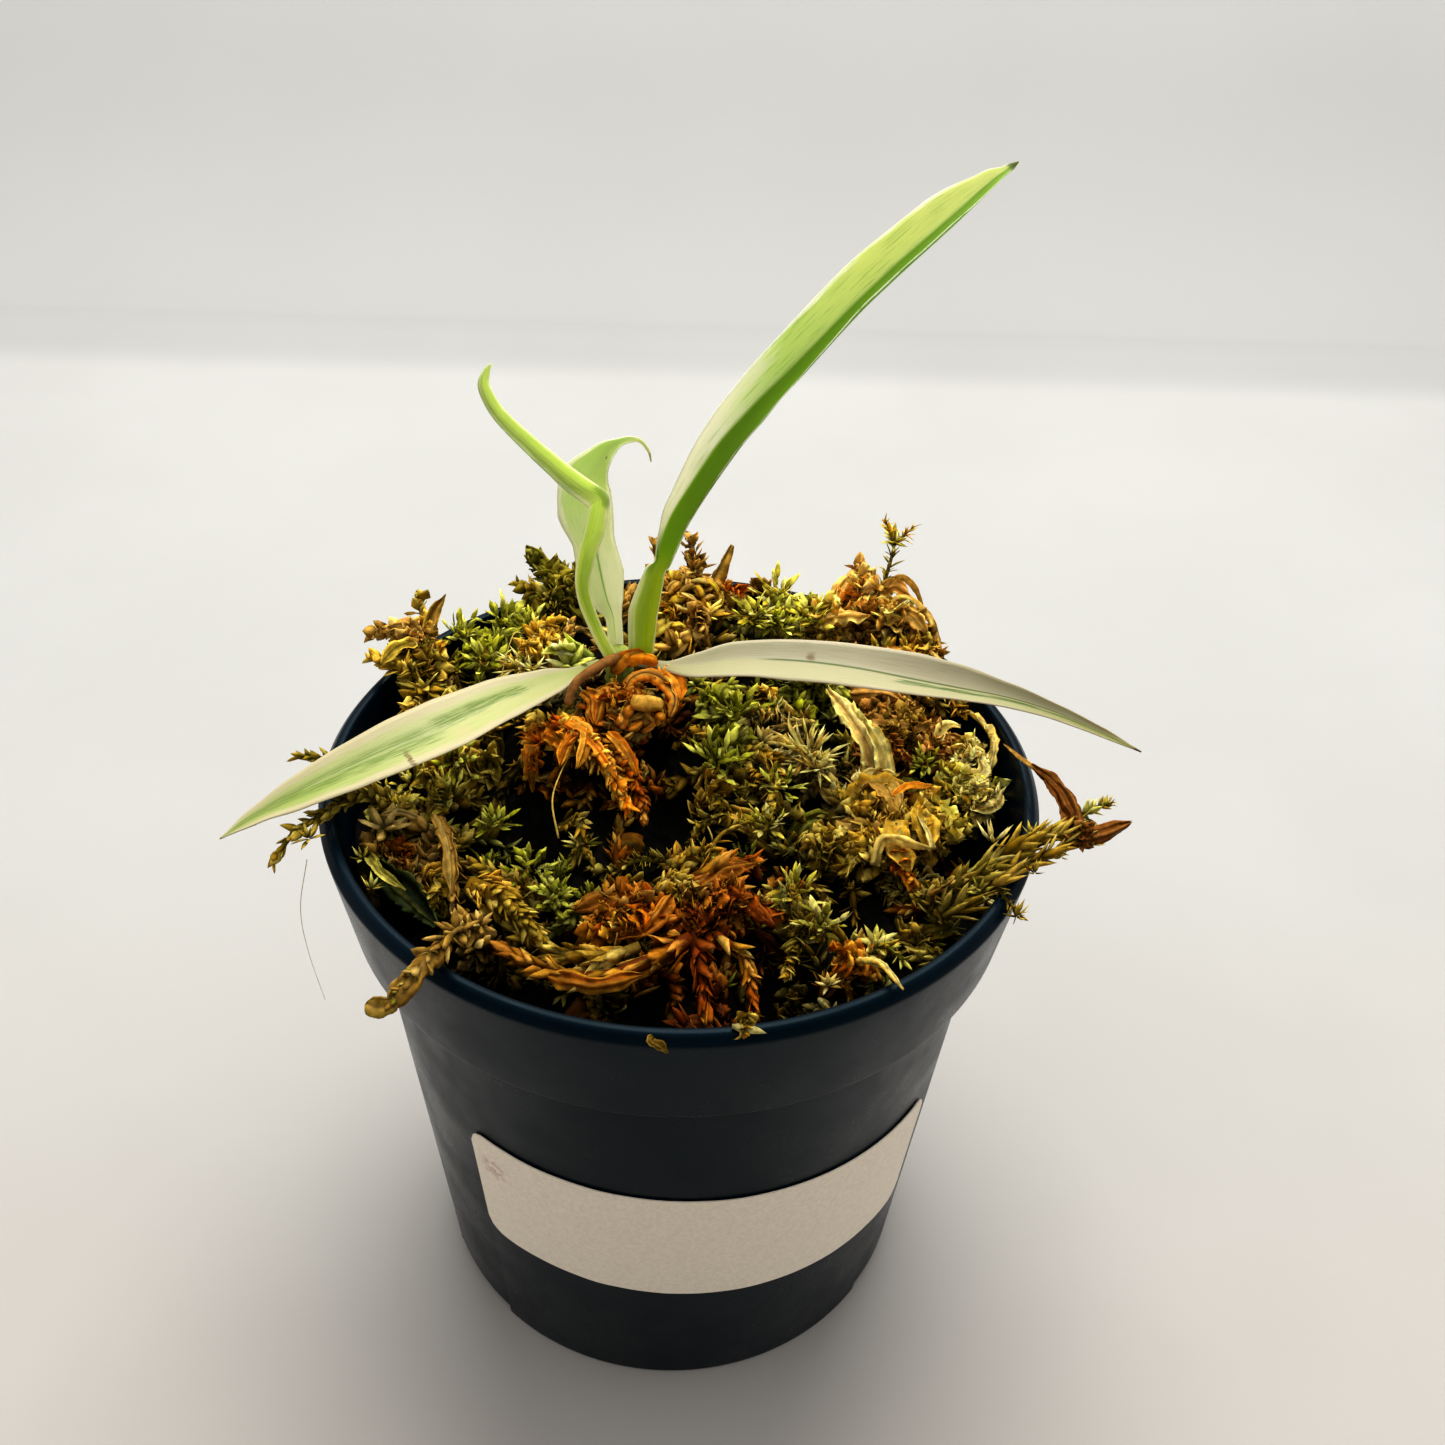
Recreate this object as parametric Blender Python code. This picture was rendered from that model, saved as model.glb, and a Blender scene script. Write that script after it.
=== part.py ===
"""A young variegated tortum philodendron in a small nursery pot of live and dry sphagnum moss.

Every length below is in millimetres and is turned into metres where a mesh is made. The origin is the
middle of the pot's underside and +Z is up. The side with the label faces -Y.
"""

import math
import random
from functools import partial

import bmesh
import bpy
from mathutils import Vector, noise
from mathutils.bvhtree import BVHTree

MM = 0.001
UP = Vector((0, 0, 1))
SEED = 11
GOLDEN_DEG = 137.5

# Pot: a round nursery pot, 4 inches over its lip
RIM_R = 50.8
POT_H = 92.8
LIP_W = 2.5
LIP_DROP = 0.9
COLLAR_H = 17.7
COLLAR_LOW_R = 47.9
STEP_H = 0.8
WALL_TOP_R = 45.0
BASE_R = 38.05
WALL_T = 1.2
FLOOR_T = 1.2
FOOT_H = 2.3
FOOT_COUNT = 3
FOOT_MID_DEG = 5.0
NOTCH_DEG = 25.0
PAD_R = 22.0
RING_R = 27.0
DRAIN_COUNT = 6
DRAIN_R = 2.6
DRAIN_MID_R = 31.0
POT_SEGMENTS = 40

# Label: a 3 by 1 inch sticker, stuck on slightly askew
LABEL_ARC_DEG = (-41.5, 60.0)
LABEL_MID_Z = 38.4
LABEL_H = 25.4
LABEL_SKEW = 4.2
LABEL_T = 0.35
LABEL_CORNER = 3.0
LABEL_STEPS = 24

# Moss bed
GAP = 0.35
BED_RINGS = 9
BED_SEGMENTS = 28
BED_R = 46.2
BED_CLEAR = 0.4
BED_SIDE = 0.7
BED_EDGE_Z = 82.0
MOUND_H = 13.0
MOUND_AT = (-6.0, 13.0)
MOUND_SPREAD = (20.0, 19.0)
BACK_RISE = 5.0
BED_LUMP = 1.6
PITS = (
    (-5, -7, 8, 6.0),
    (-27, -8, 6, 5.0),
    (-34, -33, 5, 2.5),
    (-14, -16, 5, 4.0),
    (14, -15, 5, 3.0),
    (-12, 15, 6, 2.0),
)
TUFT_COUNT = 100
TUFT_REACH = 43.0
TUFT_SUNK = 1.2
TUFT_LENGTH = (4.4, 7.4)
TUFT_W = 2.6
TUFT_T = 1.6

# Clumps: the plug that holds each in the bed, the whorls of leaves on a strand, and the share of the faces
# that is kept where strands cross
PLUG_DEPTH = 5.0
PLUG_R = 1.8
WHORL_STEP = 3.2
WHORL_OUT = 0.35
WHORL_FORWARD = 0.4
TIP_REACH = 0.6
KNOT_CORE = 0.55
KNOT_SIDES = 5
KEPT_FACES = 0.8

# Leaves and crown
LEAF_T = 0.75
STEM_AT = (-9.6, 17.2)
STEM_R = 2.2
STEM_Z = (84.0, 100.6)

# Blades: each station is a place on the midrib (x, y, z), the half-widths left and right, and how far
# each half is folded up from flat, in degrees. "face" is the way that the upper side looks.
BLADES = {
    "leaf_tall": {
        "face": (0, -0.79, 0.61),
        "thick": (1.5, LEAF_T),
        "stations": (
            ((-6.3, 16.9, 100.9), 1.5, 1.5, 30, 30),
            ((-5.8, 17.3, 107.7), 1.7, 1.9, 25, 15),
            ((-4.6, 17.8, 114.6), 0.9, 1.8, 50, 10),
            ((-3.8, 18.0, 119.6), 1.9, 3.0, 66, 10),
            ((-1.8, 18.4, 124.4), 2.8, 3.9, 70, 12),
            ((3.8, 19.2, 133.6), 3.9, 4.3, 58, 20),
            ((8.2, 19.8, 139.1), 4.2, 4.3, 43, 34),
            ((13.1, 20.4, 144.5), 4.3, 4.3, 25, 52),
            ((22.4, 21.7, 154.9), 4.3, 4.2, 15, 62),
            ((31.5, 23.0, 163.8), 3.6, 3.5, 10, 60),
            ((36.8, 23.8, 168.9), 1.6, 1.8, 10, 50),
            ((39.9, 24.3, 171.2), 0.35, 0.35, 5, 5),
        ),
    },
    "leaf_curl": {
        "face": (0.1, -0.85, 0.5),
        "thick": (1.1, 0.9),
        "stations": (
            ((-10.6, 14.4, 101.2), 1.0, 1.0, 20, 20),
            ((-12.7, 14.4, 106.1), 1.2, 1.1, 35, 35),
            ((-14.6, 14.4, 112.3), 1.3, 1.2, 45, 30),
            ((-14.5, 14.4, 117.4), 1.1, 1.5, 45, 25),
            ((-12.9, 14.4, 122.8), 1.3, 1.6, 30, 30),
            ((-12.5, 14.2, 127.0), 1.5, 1.6, 10, 40),
            ((-15.4, 14.1, 130.3), 1.5, 1.5, 20, 40),
            ((-20.4, 13.4, 135.4), 1.1, 1.1, 40, 30),
            ((-24.6, 12.9, 140.3), 0.9, 0.8, 40, 20),
            ((-26.3, 12.4, 144.4), 0.7, 0.6, 30, 10),
            ((-25.8, 12.0, 147.7), 0.3, 0.3, 5, 5),
        ),
    },
    "leaf_back": {
        "face": (0.05, -0.8, 0.6),
        "thick": (1.3, LEAF_T),
        "stations": (
            ((-10.2, 20.35, 98.0), 1.2, 1.2, 20, 20),
            ((-10.6, 20.3, 104.2), 1.2, 1.3, 20, 20),
            ((-11.5, 20.4, 108.0), 1.2, 1.8, 20, 15),
            ((-12.4, 20.6, 112.6), 2.3, 3.2, 22, 15),
            ((-13.2, 21.0, 117.3), 3.1, 3.4, 22, 15),
            ((-13.8, 21.4, 121.8), 4.0, 3.4, 18, 15),
            ((-13.8, 21.9, 126.2), 3.6, 3.6, 15, 20),
            ((-12.0, 22.3, 129.8), 2.0, 2.6, 20, 30),
            ((-9.4, 22.4, 131.7), 1.0, 1.2, 20, 30),
            ((-7.0, 22.0, 132.2), 0.6, 0.7, 10, 10),
            ((-5.4, 21.5, 130.4), 0.3, 0.3, 5, 5),
        ),
    },
    "leaf_left": {
        "face": (-0.1, -0.35, 0.93),
        "thick": (1.2, LEAF_T),
        "stations": (
            ((-12.4, 14.8, 99.8), 0.8, 0.8, 10, 10),
            ((-15.6, 10.2, 101.3), 1.1, 1.1, 10, 10),
            ((-19.2, 6.8, 101.8), 2.6, 2.6, 10, 10),
            ((-25.4, 1.6, 102.3), 4.1, 4.0, 12, 8),
            ((-31.6, -3.7, 102.2), 4.8, 4.7, 12, 8),
            ((-37.8, -7.7, 101.6), 4.8, 4.4, 12, 8),
            ((-44.0, -11.1, 100.4), 4.2, 3.6, 10, 8),
            ((-50.2, -14.4, 98.8), 3.1, 2.5, 10, 10),
            ((-55.7, -17.1, 97.0), 1.7, 1.1, 10, 10),
            ((-59.9, -19.9, 95.2), 0.35, 0.35, 5, 5),
        ),
    },
    "leaf_right": {
        "face": (0.0, -0.35, 0.93),
        "thick": (1.2, LEAF_T),
        "stations": (
            ((-6.9, 15.6, 99.7), 0.8, 0.8, 10, 10),
            ((-2.6, 12.6, 101.1), 0.9, 0.9, 10, 10),
            ((2.0, 11.2, 102.5), 2.0, 2.5, 12, 12),
            ((7.7, 10.9, 103.8), 2.9, 3.3, 12, 10),
            ((15.5, 9.6, 104.8), 3.3, 3.8, 12, 8),
            ((23.8, 8.1, 104.9), 3.7, 3.6, 12, 8),
            ((32.7, 6.6, 104.1), 4.0, 2.9, 20, 10),
            ((39.0, 6.2, 103.1), 3.5, 2.3, 25, 10),
            ((46.0, 6.0, 101.8), 2.2, 1.9, 35, 10),
            ((52.9, 5.3, 100.0), 1.3, 1.5, 45, 10),
            ((59.5, 3.2, 98.2), 0.8, 0.9, 40, 10),
            ((65.1, 0.9, 96.6), 0.35, 0.35, 5, 5),
        ),
    },
}

# Moss clumps. Each grows from a root (x, y) in the bed. Its strands are (radius, leaf length, points), its
# stars (x, y, z, radius, leaf count) and its knots (x, y, z, radius). Colours are the base colours.
CLUMPS = {
    "moss_orange_roll": {
        "colour": (0.62, 0.26, 0.05),
        "root": (-9, 6),
        "strands": (
            (1.7, 2.8, ((-8, 5, 97.6), (-12.4, 2.4, 97.6), (-13.2, 5.4, 98.6), (-10, 8.4, 99.6),
                        (-5, 8, 99.6), (-2.2, 4.6, 98.6), (-5, 1.8, 97.8))),
            (1.9, 3.4, ((-10, 4, 97.5), (-17, 1, 97.2), (-11, -3, 96.6), (-7.5, -7, 95.2), (-7, -11.5, 93))),
            (1.3, 3.6, ((-10, 4, 97.5), (-17, 1.6, 97), (-21, 3.2, 96.8))),
        ),
        "stars": ((-20, 0.6, 97, 4.4, 9),),
        "knots": ((-9, 5, 97.2, 4.6),),
    },
    "moss_rust_front": {
        "colour": (0.48, 0.17, 0.04),
        "root": (0, -26),
        "strands": (
            (1.7, 3.2, ((0, -26, 87), (-6, -23, 89.6), (-12, -24, 88.6))),
            (1.8, 3.4, ((0, -26, 87), (5, -20, 90), (9.5, -17.5, 90.8))),
            (1.7, 3.2, ((0, -26, 87), (7, -24.5, 89.4), (11.5, -27.5, 88.4))),
            (1.4, 2.6, ((1, -27, 87), (3, -33, 88), (3.5, -39, 87.4))),
            (1.3, 2.6, ((3, -27, 87), (7, -32, 88.2), (8.6, -38, 87.6))),
            (1.9, 3.0, ((0, -27, 87), (-1, -33, 87.8), (-8, -36.6, 87.6), (-16, -35.6, 87.4),
                        (-22, -32.4, 87.2))),
        ),
        "stars": ((-8, -26, 89.6, 4.2, 9), (6, -22, 90.2, 4.2, 9)),
        "knots": ((0, -25, 87.6, 4.2), (1, -21.6, 90.4, 2.5)),
    },
    "moss_green_centre": {
        "colour": (0.26, 0.36, 0.06),
        "root": (7, 4),
        "strands": (
            (1.2, 2.4, ((7, 4, 94), (7.6, 8.4, 96.6))),
            (1.1, 2.4, ((7, 4, 93), (12.6, 1.6, 93.6), (14, -3.4, 92.8))),
            (1.0, 2.4, ((8, 3, 92), (12.4, -4.6, 92), (11.6, -10, 91.2))),
        ),
        "stars": ((7.6, 8.4, 97.2, 4.6, 12), (5, -1, 95.6, 4.8, 12), (14, -3.6, 93.2, 3.4, 9),
                  (11.6, -10.2, 91.8, 3.4, 9)),
        "knots": ((7, 4, 93.4, 3.4),),
    },
    "moss_straw_head": {
        "colour": (0.62, 0.5, 0.2),
        "root": (19, 2.4),
        "strands": (
            (0.9, 3.6, ((19, 2.4, 90), (18.4, 2, 93.4))),
            (0.5, 0, ((18.6, 2.4, 92.4), (15, 3.4, 95.2), (12.6, 5.6, 95.4))),
            (0.5, 0, ((18.6, 2.4, 92.4), (15.6, 6, 95.4), (15.4, 8.4, 96.6))),
        ),
        "stars": ((18.4, 2, 94.2, 5.2, 13),),
        "knots": ((19, 2.4, 90.6, 2.6),),
    },
    "moss_green_right": {
        "colour": (0.27, 0.4, 0.07),
        "root": (20.5, 23),
        "strands": ((1.1, 2.4, ((20.5, 23, 90.6), (22, 21.4, 93))),),
        "stars": ((22, 21.6, 93.8, 3.9, 11), (16.4, 24, 94.4, 3.4, 9)),
        "knots": ((19.6, 23, 91.6, 3.2),),
    },
    "moss_yellow_green_back": {
        "colour": (0.42, 0.42, 0.11),
        "root": (14.5, 35),
        "strands": (
            (1.1, 2.4, ((14.5, 35, 92.6), (10.6, 34, 96))),
            (1.1, 2.4, ((14.5, 35, 92.6), (14.6, 38.4, 96.6))),
            (1.1, 2.4, ((14.5, 35, 92.6), (19.6, 34, 95.6))),
        ),
        "stars": ((10.6, 33.6, 96.8, 4.0, 10), (14.6, 39, 97.4, 4.4, 11), (20, 34, 96.4, 4.0, 10)),
        "knots": ((14.5, 35, 93.2, 3.4),),
    },
    "moss_tan_back": {
        "colour": (0.46, 0.33, 0.13),
        "root": (0.5, 37),
        "strands": (
            (1.8, 3.4, ((0.5, 37, 94), (-3.4, 39, 99.4), (-4.6, 42, 103))),
            (1.9, 3.4, ((0.5, 37, 94), (1.4, 40.4, 100), (0.6, 43.6, 104.4))),
            (1.5, 2.2, ((0.5, 37, 94), (5, 39.4, 99.6), (7.2, 41.6, 104.2))),
            (1.6, 3.4, ((0.5, 37, 94), (-2.4, 32.4, 98), (-3.2, 28.6, 99.4))),
            (1.5, 3.2, ((0.5, 37, 94), (2, 32.6, 97.8), (2.4, 27.4, 98.2))),
        ),
        "stars": ((1, 39.4, 101.4, 4.6, 9), (3.4, 31.6, 98.4, 4.0, 9)),
        "knots": ((0.5, 37, 94.8, 4.6),),
    },
    "moss_tuft_back": {
        "colour": (0.17, 0.18, 0.05),
        "root": (-19, 37.4),
        "strands": (
            (1.5, 3.6, ((-19, 37.4, 92.6), (-20.4, 40.6, 97.6), (-24, 44.4, 101.4))),
            (1.4, 3.4, ((-19, 37.4, 92.6), (-18, 41, 97.6), (-17.4, 44, 101.2))),
            (1.4, 3.2, ((-19, 37.4, 92.6), (-22.4, 38, 96.2), (-26.6, 40, 97))),
        ),
        "stars": ((-20.4, 41, 98.2, 4.4, 10),),
        "knots": ((-19, 37.4, 93.4, 4.0),),
    },
    "moss_ochre": {
        "colour": (0.5, 0.34, 0.1),
        "root": (-20.6, 26.6),
        "strands": (
            (1.2, 3.0, ((-20.6, 26.6, 94), (-22.6, 28.4, 97), (-19.6, 30.6, 98.4))),
            (1.2, 3.0, ((-20.6, 26.6, 94), (-24, 25, 96.6), (-21, 22.6, 98))),
            (1.1, 2.8, ((-20.6, 26.6, 94), (-17.6, 27, 97.4), (-16.8, 30, 98.2))),
        ),
        "stars": ((-20.8, 26.6, 97.2, 3.8, 10),),
        "knots": ((-20.6, 26.6, 94.6, 3.2),),
    },
    "moss_green_back_left": {
        "colour": (0.28, 0.42, 0.08),
        "root": (-31, 29),
        "strands": (
            (1.1, 2.4, ((-31, 29, 89.6), (-29, 32.6, 94))),
            (1.1, 2.4, ((-31, 29, 89.6), (-34.6, 31, 92.8))),
            (1.1, 2.4, ((-31, 29, 89.6), (-30.6, 24.6, 93))),
        ),
        "stars": ((-28.6, 33, 94.8, 4.4, 11), (-34.8, 31, 93.6, 4.0, 10), (-30.6, 24.2, 93.8, 4.0, 11)),
        "knots": ((-31, 29, 90.2, 3.6),),
    },
    "moss_brown_back_left": {
        "colour": (0.34, 0.23, 0.1),
        "root": (-37.4, 20.6),
        "strands": (
            (1.6, 2.6, ((-37.4, 20.6, 89), (-39.8, 24.6, 95.4), (-44.6, 29.6, 97.8), (-49.0, 30.6, 96.8))),
            (1.6, 2.8, ((-37.4, 20.6, 89), (-38.6, 27, 95.8), (-41, 32.6, 98.6), (-41.6, 35.2, 102))),
            (1.4, 2.8, ((-37.4, 20.6, 89), (-39.6, 15, 92.4), (-40.4, 10.4, 92))),
            (1.2, 2.6, ((-37.4, 20.6, 89), (-42, 20.6, 95.6), (-47.6, 23, 96.8))),
        ),
        "stars": ((-40.2, 28.4, 97.6, 4.2, 10), (-38.4, 20.4, 93.2, 4.0, 10)),
        "knots": ((-37.4, 20.6, 89.4, 3.2),),
    },
    "moss_brown_back_right": {
        "colour": (0.42, 0.24, 0.08),
        "root": (29, 34),
        "strands": (
            (1.6, 3.0, ((29, 34, 90.6), (27, 39, 95.6), (22, 42.6, 97.8))),
            (1.6, 3.0, ((29, 34, 90.6), (28.6, 36, 96), (29.4, 40, 98.6), (28, 43.6, 100))),
            (1.3, 2.6, ((29, 34, 90.6), (30.4, 34.6, 96), (35, 36, 97), (38.6, 33, 96.4))),
            (0.7, 0, ((30, 37, 95), (33.4, 40.4, 99.4), (36.4, 40.6, 98.4), (38.4, 38.4, 94.8))),
            (1.2, 2.6, ((29.6, 36, 93), (32, 41, 99.6), (32.8, 41.6, 104.8), (32.6, 42, 106.6))),
            (0.7, 1.8, ((32.7, 41.8, 105), (31, 42.4, 109.4))),
            (0.7, 1.8, ((32.7, 41.8, 105), (35.8, 42.2, 108.2))),
        ),
        "stars": ((28, 41, 98, 4.2, 9), (32.8, 41.8, 106, 2.9, 8)),
        "knots": ((28.6, 33.6, 91.4, 3.2),),
    },
    "moss_slope_right": {
        "colour": (0.36, 0.25, 0.08),
        "root": (35.4, 23),
        "strands": (
            (1.5, 3.0, ((35.4, 23, 88), (32, 27, 92), (27.6, 28.6, 92.6))),
            (1.4, 3.0, ((35.4, 23, 88), (35.6, 26, 92.6), (34.4, 28.6, 94.6))),
            (1.2, 2.6, ((35.4, 23, 88), (39.2, 20.6, 91.6), (42, 16, 91.4))),
        ),
        "stars": ((30.6, 27.6, 93.2, 3.8, 10), (36, 23.4, 92.2, 3.8, 10)),
        "knots": ((35.4, 23, 88.8, 3.2),),
    },
    "moss_red_right": {
        "colour": (0.34, 0.15, 0.06),
        "root": (33, 12.5),
        "strands": (
            (1.5, 2.6, ((33, 12.5, 87), (29.6, 17.6, 90.8), (27.4, 20.4, 90.8))),
            (1.5, 2.6, ((33, 12.5, 87), (34.6, 17.4, 90.6), (31.6, 21.4, 91.4))),
            (1.5, 2.6, ((33, 12.5, 87), (38.4, 14, 89.8), (38.6, 9, 89))),
            (1.3, 2.4, ((33, 12.5, 87), (30.8, 10, 90.4), (32.6, 6.4, 90.4))),
        ),
        "stars": ((33.4, 14, 90.6, 4.4, 10),),
        "knots": ((33, 12.5, 88, 3.6),),
    },
    "moss_pale_curls": {
        "colour": (0.52, 0.45, 0.26),
        "root": (42.4, 4),
        "strands": (
            (1.2, 2.0, ((42.4, 4, 86.6), (44.6, 7.6, 89.6), (42.8, 10, 90.6), (41, 7.4, 90.8),
                        (43.4, 5.8, 91.2))),
            (1.3, 2.2, ((42.4, 4, 86.6), (45.4, 1, 89.6), (43, -3, 90), (39, -2, 89.6))),
            (0.9, 1.6, ((42.4, 4, 86.6), (45, 6, 90.6), (45, 9.4, 91.8), (43.6, 11.8, 92.6))),
        ),
        "stars": ((44.4, 1, 89.6, 3.0, 8),),
        "knots": ((42.4, 4, 87.2, 2.8),),
    },
    "moss_ribbon": {
        "colour": (0.45, 0.38, 0.24),
        "root": (27, 2),
        "strands": (
            (1.6, 2.2, ((27, 2, 87), (26, 6, 92.6), (24.4, 11, 94.2), (22, 16.4, 94.2))),
            (1.3, 2.2, ((27, 2, 87), (28.2, -0.4, 91.2), (29.2, -3, 91.6))),
        ),
        "stars": (),
        "knots": ((27, 2, 88, 2.4),),
    },
    "moss_yellow_right": {
        "colour": (0.5, 0.36, 0.1),
        "root": (31.4, -9),
        "strands": (
            (1.5, 3.0, ((31.4, -9, 86.6), (27, -6, 89.8), (22.6, -2.6, 90.4))),
            (1.5, 3.0, ((31.4, -9, 86.6), (33.4, -4.6, 89.4), (35.6, -1, 89.4))),
            (1.5, 3.0, ((31.4, -9, 86.6), (36, -9.6, 89.4), (40, -7, 89))),
            (1.4, 3.0, ((31.4, -9, 86.6), (26.4, -12, 89.6), (23, -16, 89))),
            (1.1, 2.8, ((31.4, -9, 86.6), (30, -14, 89.8), (31, -18.6, 89.2))),
            (0.8, 0, ((30.6, -9, 88), (26.8, -15.4, 91.6), (29.6, -14.6, 93.2), (33.8, -16, 92.2),
                      (34.2, -9.4, 92))),
        ),
        "stars": ((30.6, -8, 90.4, 4.6, 11), (25.4, -9.6, 90, 3.8, 9)),
        "knots": ((31.4, -9, 87.4, 3.8),),
    },
    "moss_green_front_right": {
        "colour": (0.33, 0.38, 0.09),
        "root": (16.6, -26),
        "strands": (
            (1.1, 2.4, ((16.6, -26, 85.6), (15.4, -21.6, 89))),
            (1.1, 2.4, ((16.6, -26, 85.6), (17.6, -28, 88.4))),
            (1.0, 2.2, ((16.6, -26, 85.6), (15, -31, 87.6), (14, -34.6, 87.8))),
        ),
        "stars": ((15.2, -21.4, 89.8, 3.8, 10), (18.6, -27.6, 89.6, 3.6, 10), (13.8, -34.8, 88.4, 3.2, 9)),
        "knots": ((16.4, -25.6, 86.4, 3.0),),
    },
    "moss_front_right": {
        "colour": (0.58, 0.4, 0.16),
        "root": (23.6, -31),
        "strands": (
            (1.3, 2.6, ((23.6, -31, 85.6), (21.6, -32.4, 88.6), (19.8, -33.6, 88.6))),
            (0.9, 1.4, ((23.6, -31, 85.6), (23.6, -34.4, 90), (25.2, -38.6, 93.6), (27.2, -43.4, 94.5))),
            (0.8, 2.2, ((23.6, -31, 85.6), (26.6, -30.4, 88.4), (28.6, -34, 89.6))),
        ),
        "stars": ((25.4, -29.6, 88.4, 3.4, 10),),
        "knots": ((23.6, -31, 86.2, 2.6),),
    },
    "moss_sprig_right": {
        "colour": (0.33, 0.28, 0.09),
        "root": (34, -21.4),
        "strands": (
            (1.7, 3.2, ((34, -21.4, 86), (38, -20.4, 93.4), (43.4, -18.2, 96.4), (49, -13.6, 97),
                        (54, -11.4, 97.6))),
            (1.2, 2.8, ((53, -11.8, 97.4), (56.4, -11.6, 98.2), (58.6, -10.4, 99))),
            (1.2, 1.8, ((52.6, -12, 97.2), (57, -13.6, 96.8), (61.4, -14.2, 97.4))),
            (0.9, 0, ((53.4, -11.6, 97.4), (53.4, -8, 99.4), (51.4, -3.4, 98), (50, 1.2, 96))),
            (1.1, 3.0, ((42, -18.8, 96), (43.6, -23.6, 95.6), (44, -27.4, 94.8))),
            (1.1, 2.8, ((34.6, -21.2, 88), (33.6, -25, 91.4), (34.2, -28.6, 91.8))),
        ),
        "stars": ((58, -10.6, 98.8, 3.2, 9), (38.8, -19.4, 95.6, 3.8, 9)),
        "knots": ((34.4, -21.2, 88, 2.4),),
    },
    "moss_sprig_left": {
        "colour": (0.33, 0.28, 0.1),
        "root": (-38.4, -6.6),
        "strands": (
            (1.3, 2.6, ((-38.4, -6.6, 87), (-42.4, -10.6, 95.4), (-46.8, -15, 95.8),
                        (-50.6, -18.4, 95.2), (-53.2, -21.6, 92.6))),
            (1.2, 2.8, ((-41, -8.6, 93), (-46, -9.4, 95.6), (-51.6, -11, 95.6), (-56, -13.6, 93.8))),
            (1.2, 2.4, ((-41, -8.6, 93), (-46.4, -5, 96), (-52.6, -3.6, 96.2))),
        ),
        "stars": ((-48.6, -19.4, 95.8, 2.6, 9),),
        "knots": ((-38.4, -6.6, 88, 3.0),),
    },
    "moss_sprig_front_left": {
        "colour": (0.42, 0.34, 0.17),
        "root": (-25.6, -29.6),
        "strands": (
            (1.8, 0, ((-25.6, -29.6, 85.4), (-27, -34, 91.4), (-28.8, -38.6, 95.4), (-31, -43.2, 95.8),
                      (-33.2, -46.6, 93.4))),
            (1.4, 0, ((-33, -46.2, 93.6), (-35.2, -47.2, 93.2), (-37, -46.6, 93.6))),
        ),
        "stars": ((-27.8, -35.8, 94.8, 5.2, 11),),
        "knots": ((-25.6, -29.6, 86, 2.6),),
    },
    "moss_left_mix": {
        "colour": (0.46, 0.39, 0.24),
        "root": (-36.4, -17.6),
        "strands": (
            (1.5, 2.8, ((-36.4, -17.6, 85.6), (-33.6, -14, 90.4), (-36, -11.4, 91.6))),
            (1.5, 3.0, ((-36.4, -17.6, 85.6), (-32.4, -20.6, 89.2), (-32.6, -25, 88.4))),
            (1.1, 2.6, ((-36.4, -17.6, 85.6), (-40.4, -16.6, 89.6), (-42.4, -14.2, 90.4))),
        ),
        "stars": ((-41, -16.6, 90.6, 3.6, 10), (-35, -12.6, 91.6, 2.8, 8)),
        "knots": ((-36.4, -17.6, 86.4, 3.0),),
    },
    "moss_olive_front_left": {
        "colour": (0.4, 0.31, 0.08),
        "root": (-21.4, -21.4),
        "strands": (
            (2.2, 3.4, ((-21.4, -21.4, 86), (-25.6, -19.6, 89.4), (-29, -17, 89.4))),
            (2.1, 3.4, ((-21.4, -21.4, 86), (-18.4, -24.6, 89.2), (-14.6, -28, 88.6))),
        ),
        "stars": ((-21, -17.4, 89.8, 3.8, 11), (-18.4, -21, 89.8, 3.6, 10)),
        "knots": ((-21.4, -21.4, 87, 3.4),),
    },
    "moss_olive_left": {
        "colour": (0.3, 0.3, 0.07),
        "root": (-31.6, 2.6),
        "strands": (
            (1.4, 3.0, ((-31.6, 2.6, 88.6), (-35, -2, 92), (-33.6, -6, 92.4))),
            (1.4, 3.0, ((-31.6, 2.6, 88.6), (-36.4, 5.4, 92), (-40, 4.4, 91.4))),
            (1.3, 3.0, ((-31.6, 2.6, 88.6), (-27.4, 0, 92.8), (-27, -3.6, 92.8))),
            (1.3, 3.0, ((-31.6, 2.6, 88.6), (-31, 9, 92.8), (-33, 13, 93))),
        ),
        "stars": ((-32.4, 1, 92.6, 4.4, 11), (-31.6, 11, 93.4, 4.0, 10)),
        "knots": ((-31.6, 2.6, 89.4, 3.8),),
    },
}


def clear_scene():
    for old in list(bpy.data.objects):
        bpy.data.objects.remove(old, do_unlink=True)


def material(name, colour, roughness, metallic=0.0):
    made = bpy.data.materials.new(name)
    made.use_nodes = True
    shader = made.node_tree.nodes["Principled BSDF"]
    shader.inputs["Base Color"].default_value = (*colour, 1.0)
    shader.inputs["Roughness"].default_value = roughness
    shader.inputs["Metallic"].default_value = metallic
    return made


def mesh_object(name, points, faces):
    """An object with an outward-facing mesh, from points in millimetres."""
    mesh = bpy.data.meshes.new(name)
    mesh.from_pydata([tuple(Vector(p) * MM) for p in points], [], faces)
    shape = bmesh.new()
    shape.from_mesh(mesh)
    bmesh.ops.recalc_face_normals(shape, faces=shape.faces)
    shape.to_mesh(mesh)
    shape.free()
    made = bpy.data.objects.new(name, mesh)
    bpy.context.scene.collection.objects.link(made)
    return made


def finish(piece, colour, roughness):
    piece.data.materials.clear()
    piece.data.materials.append(material(piece.name, colour, roughness))
    piece.data.shade_smooth()
    piece.data.set_sharp_from_angle(angle=math.radians(35))
    return piece


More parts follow.
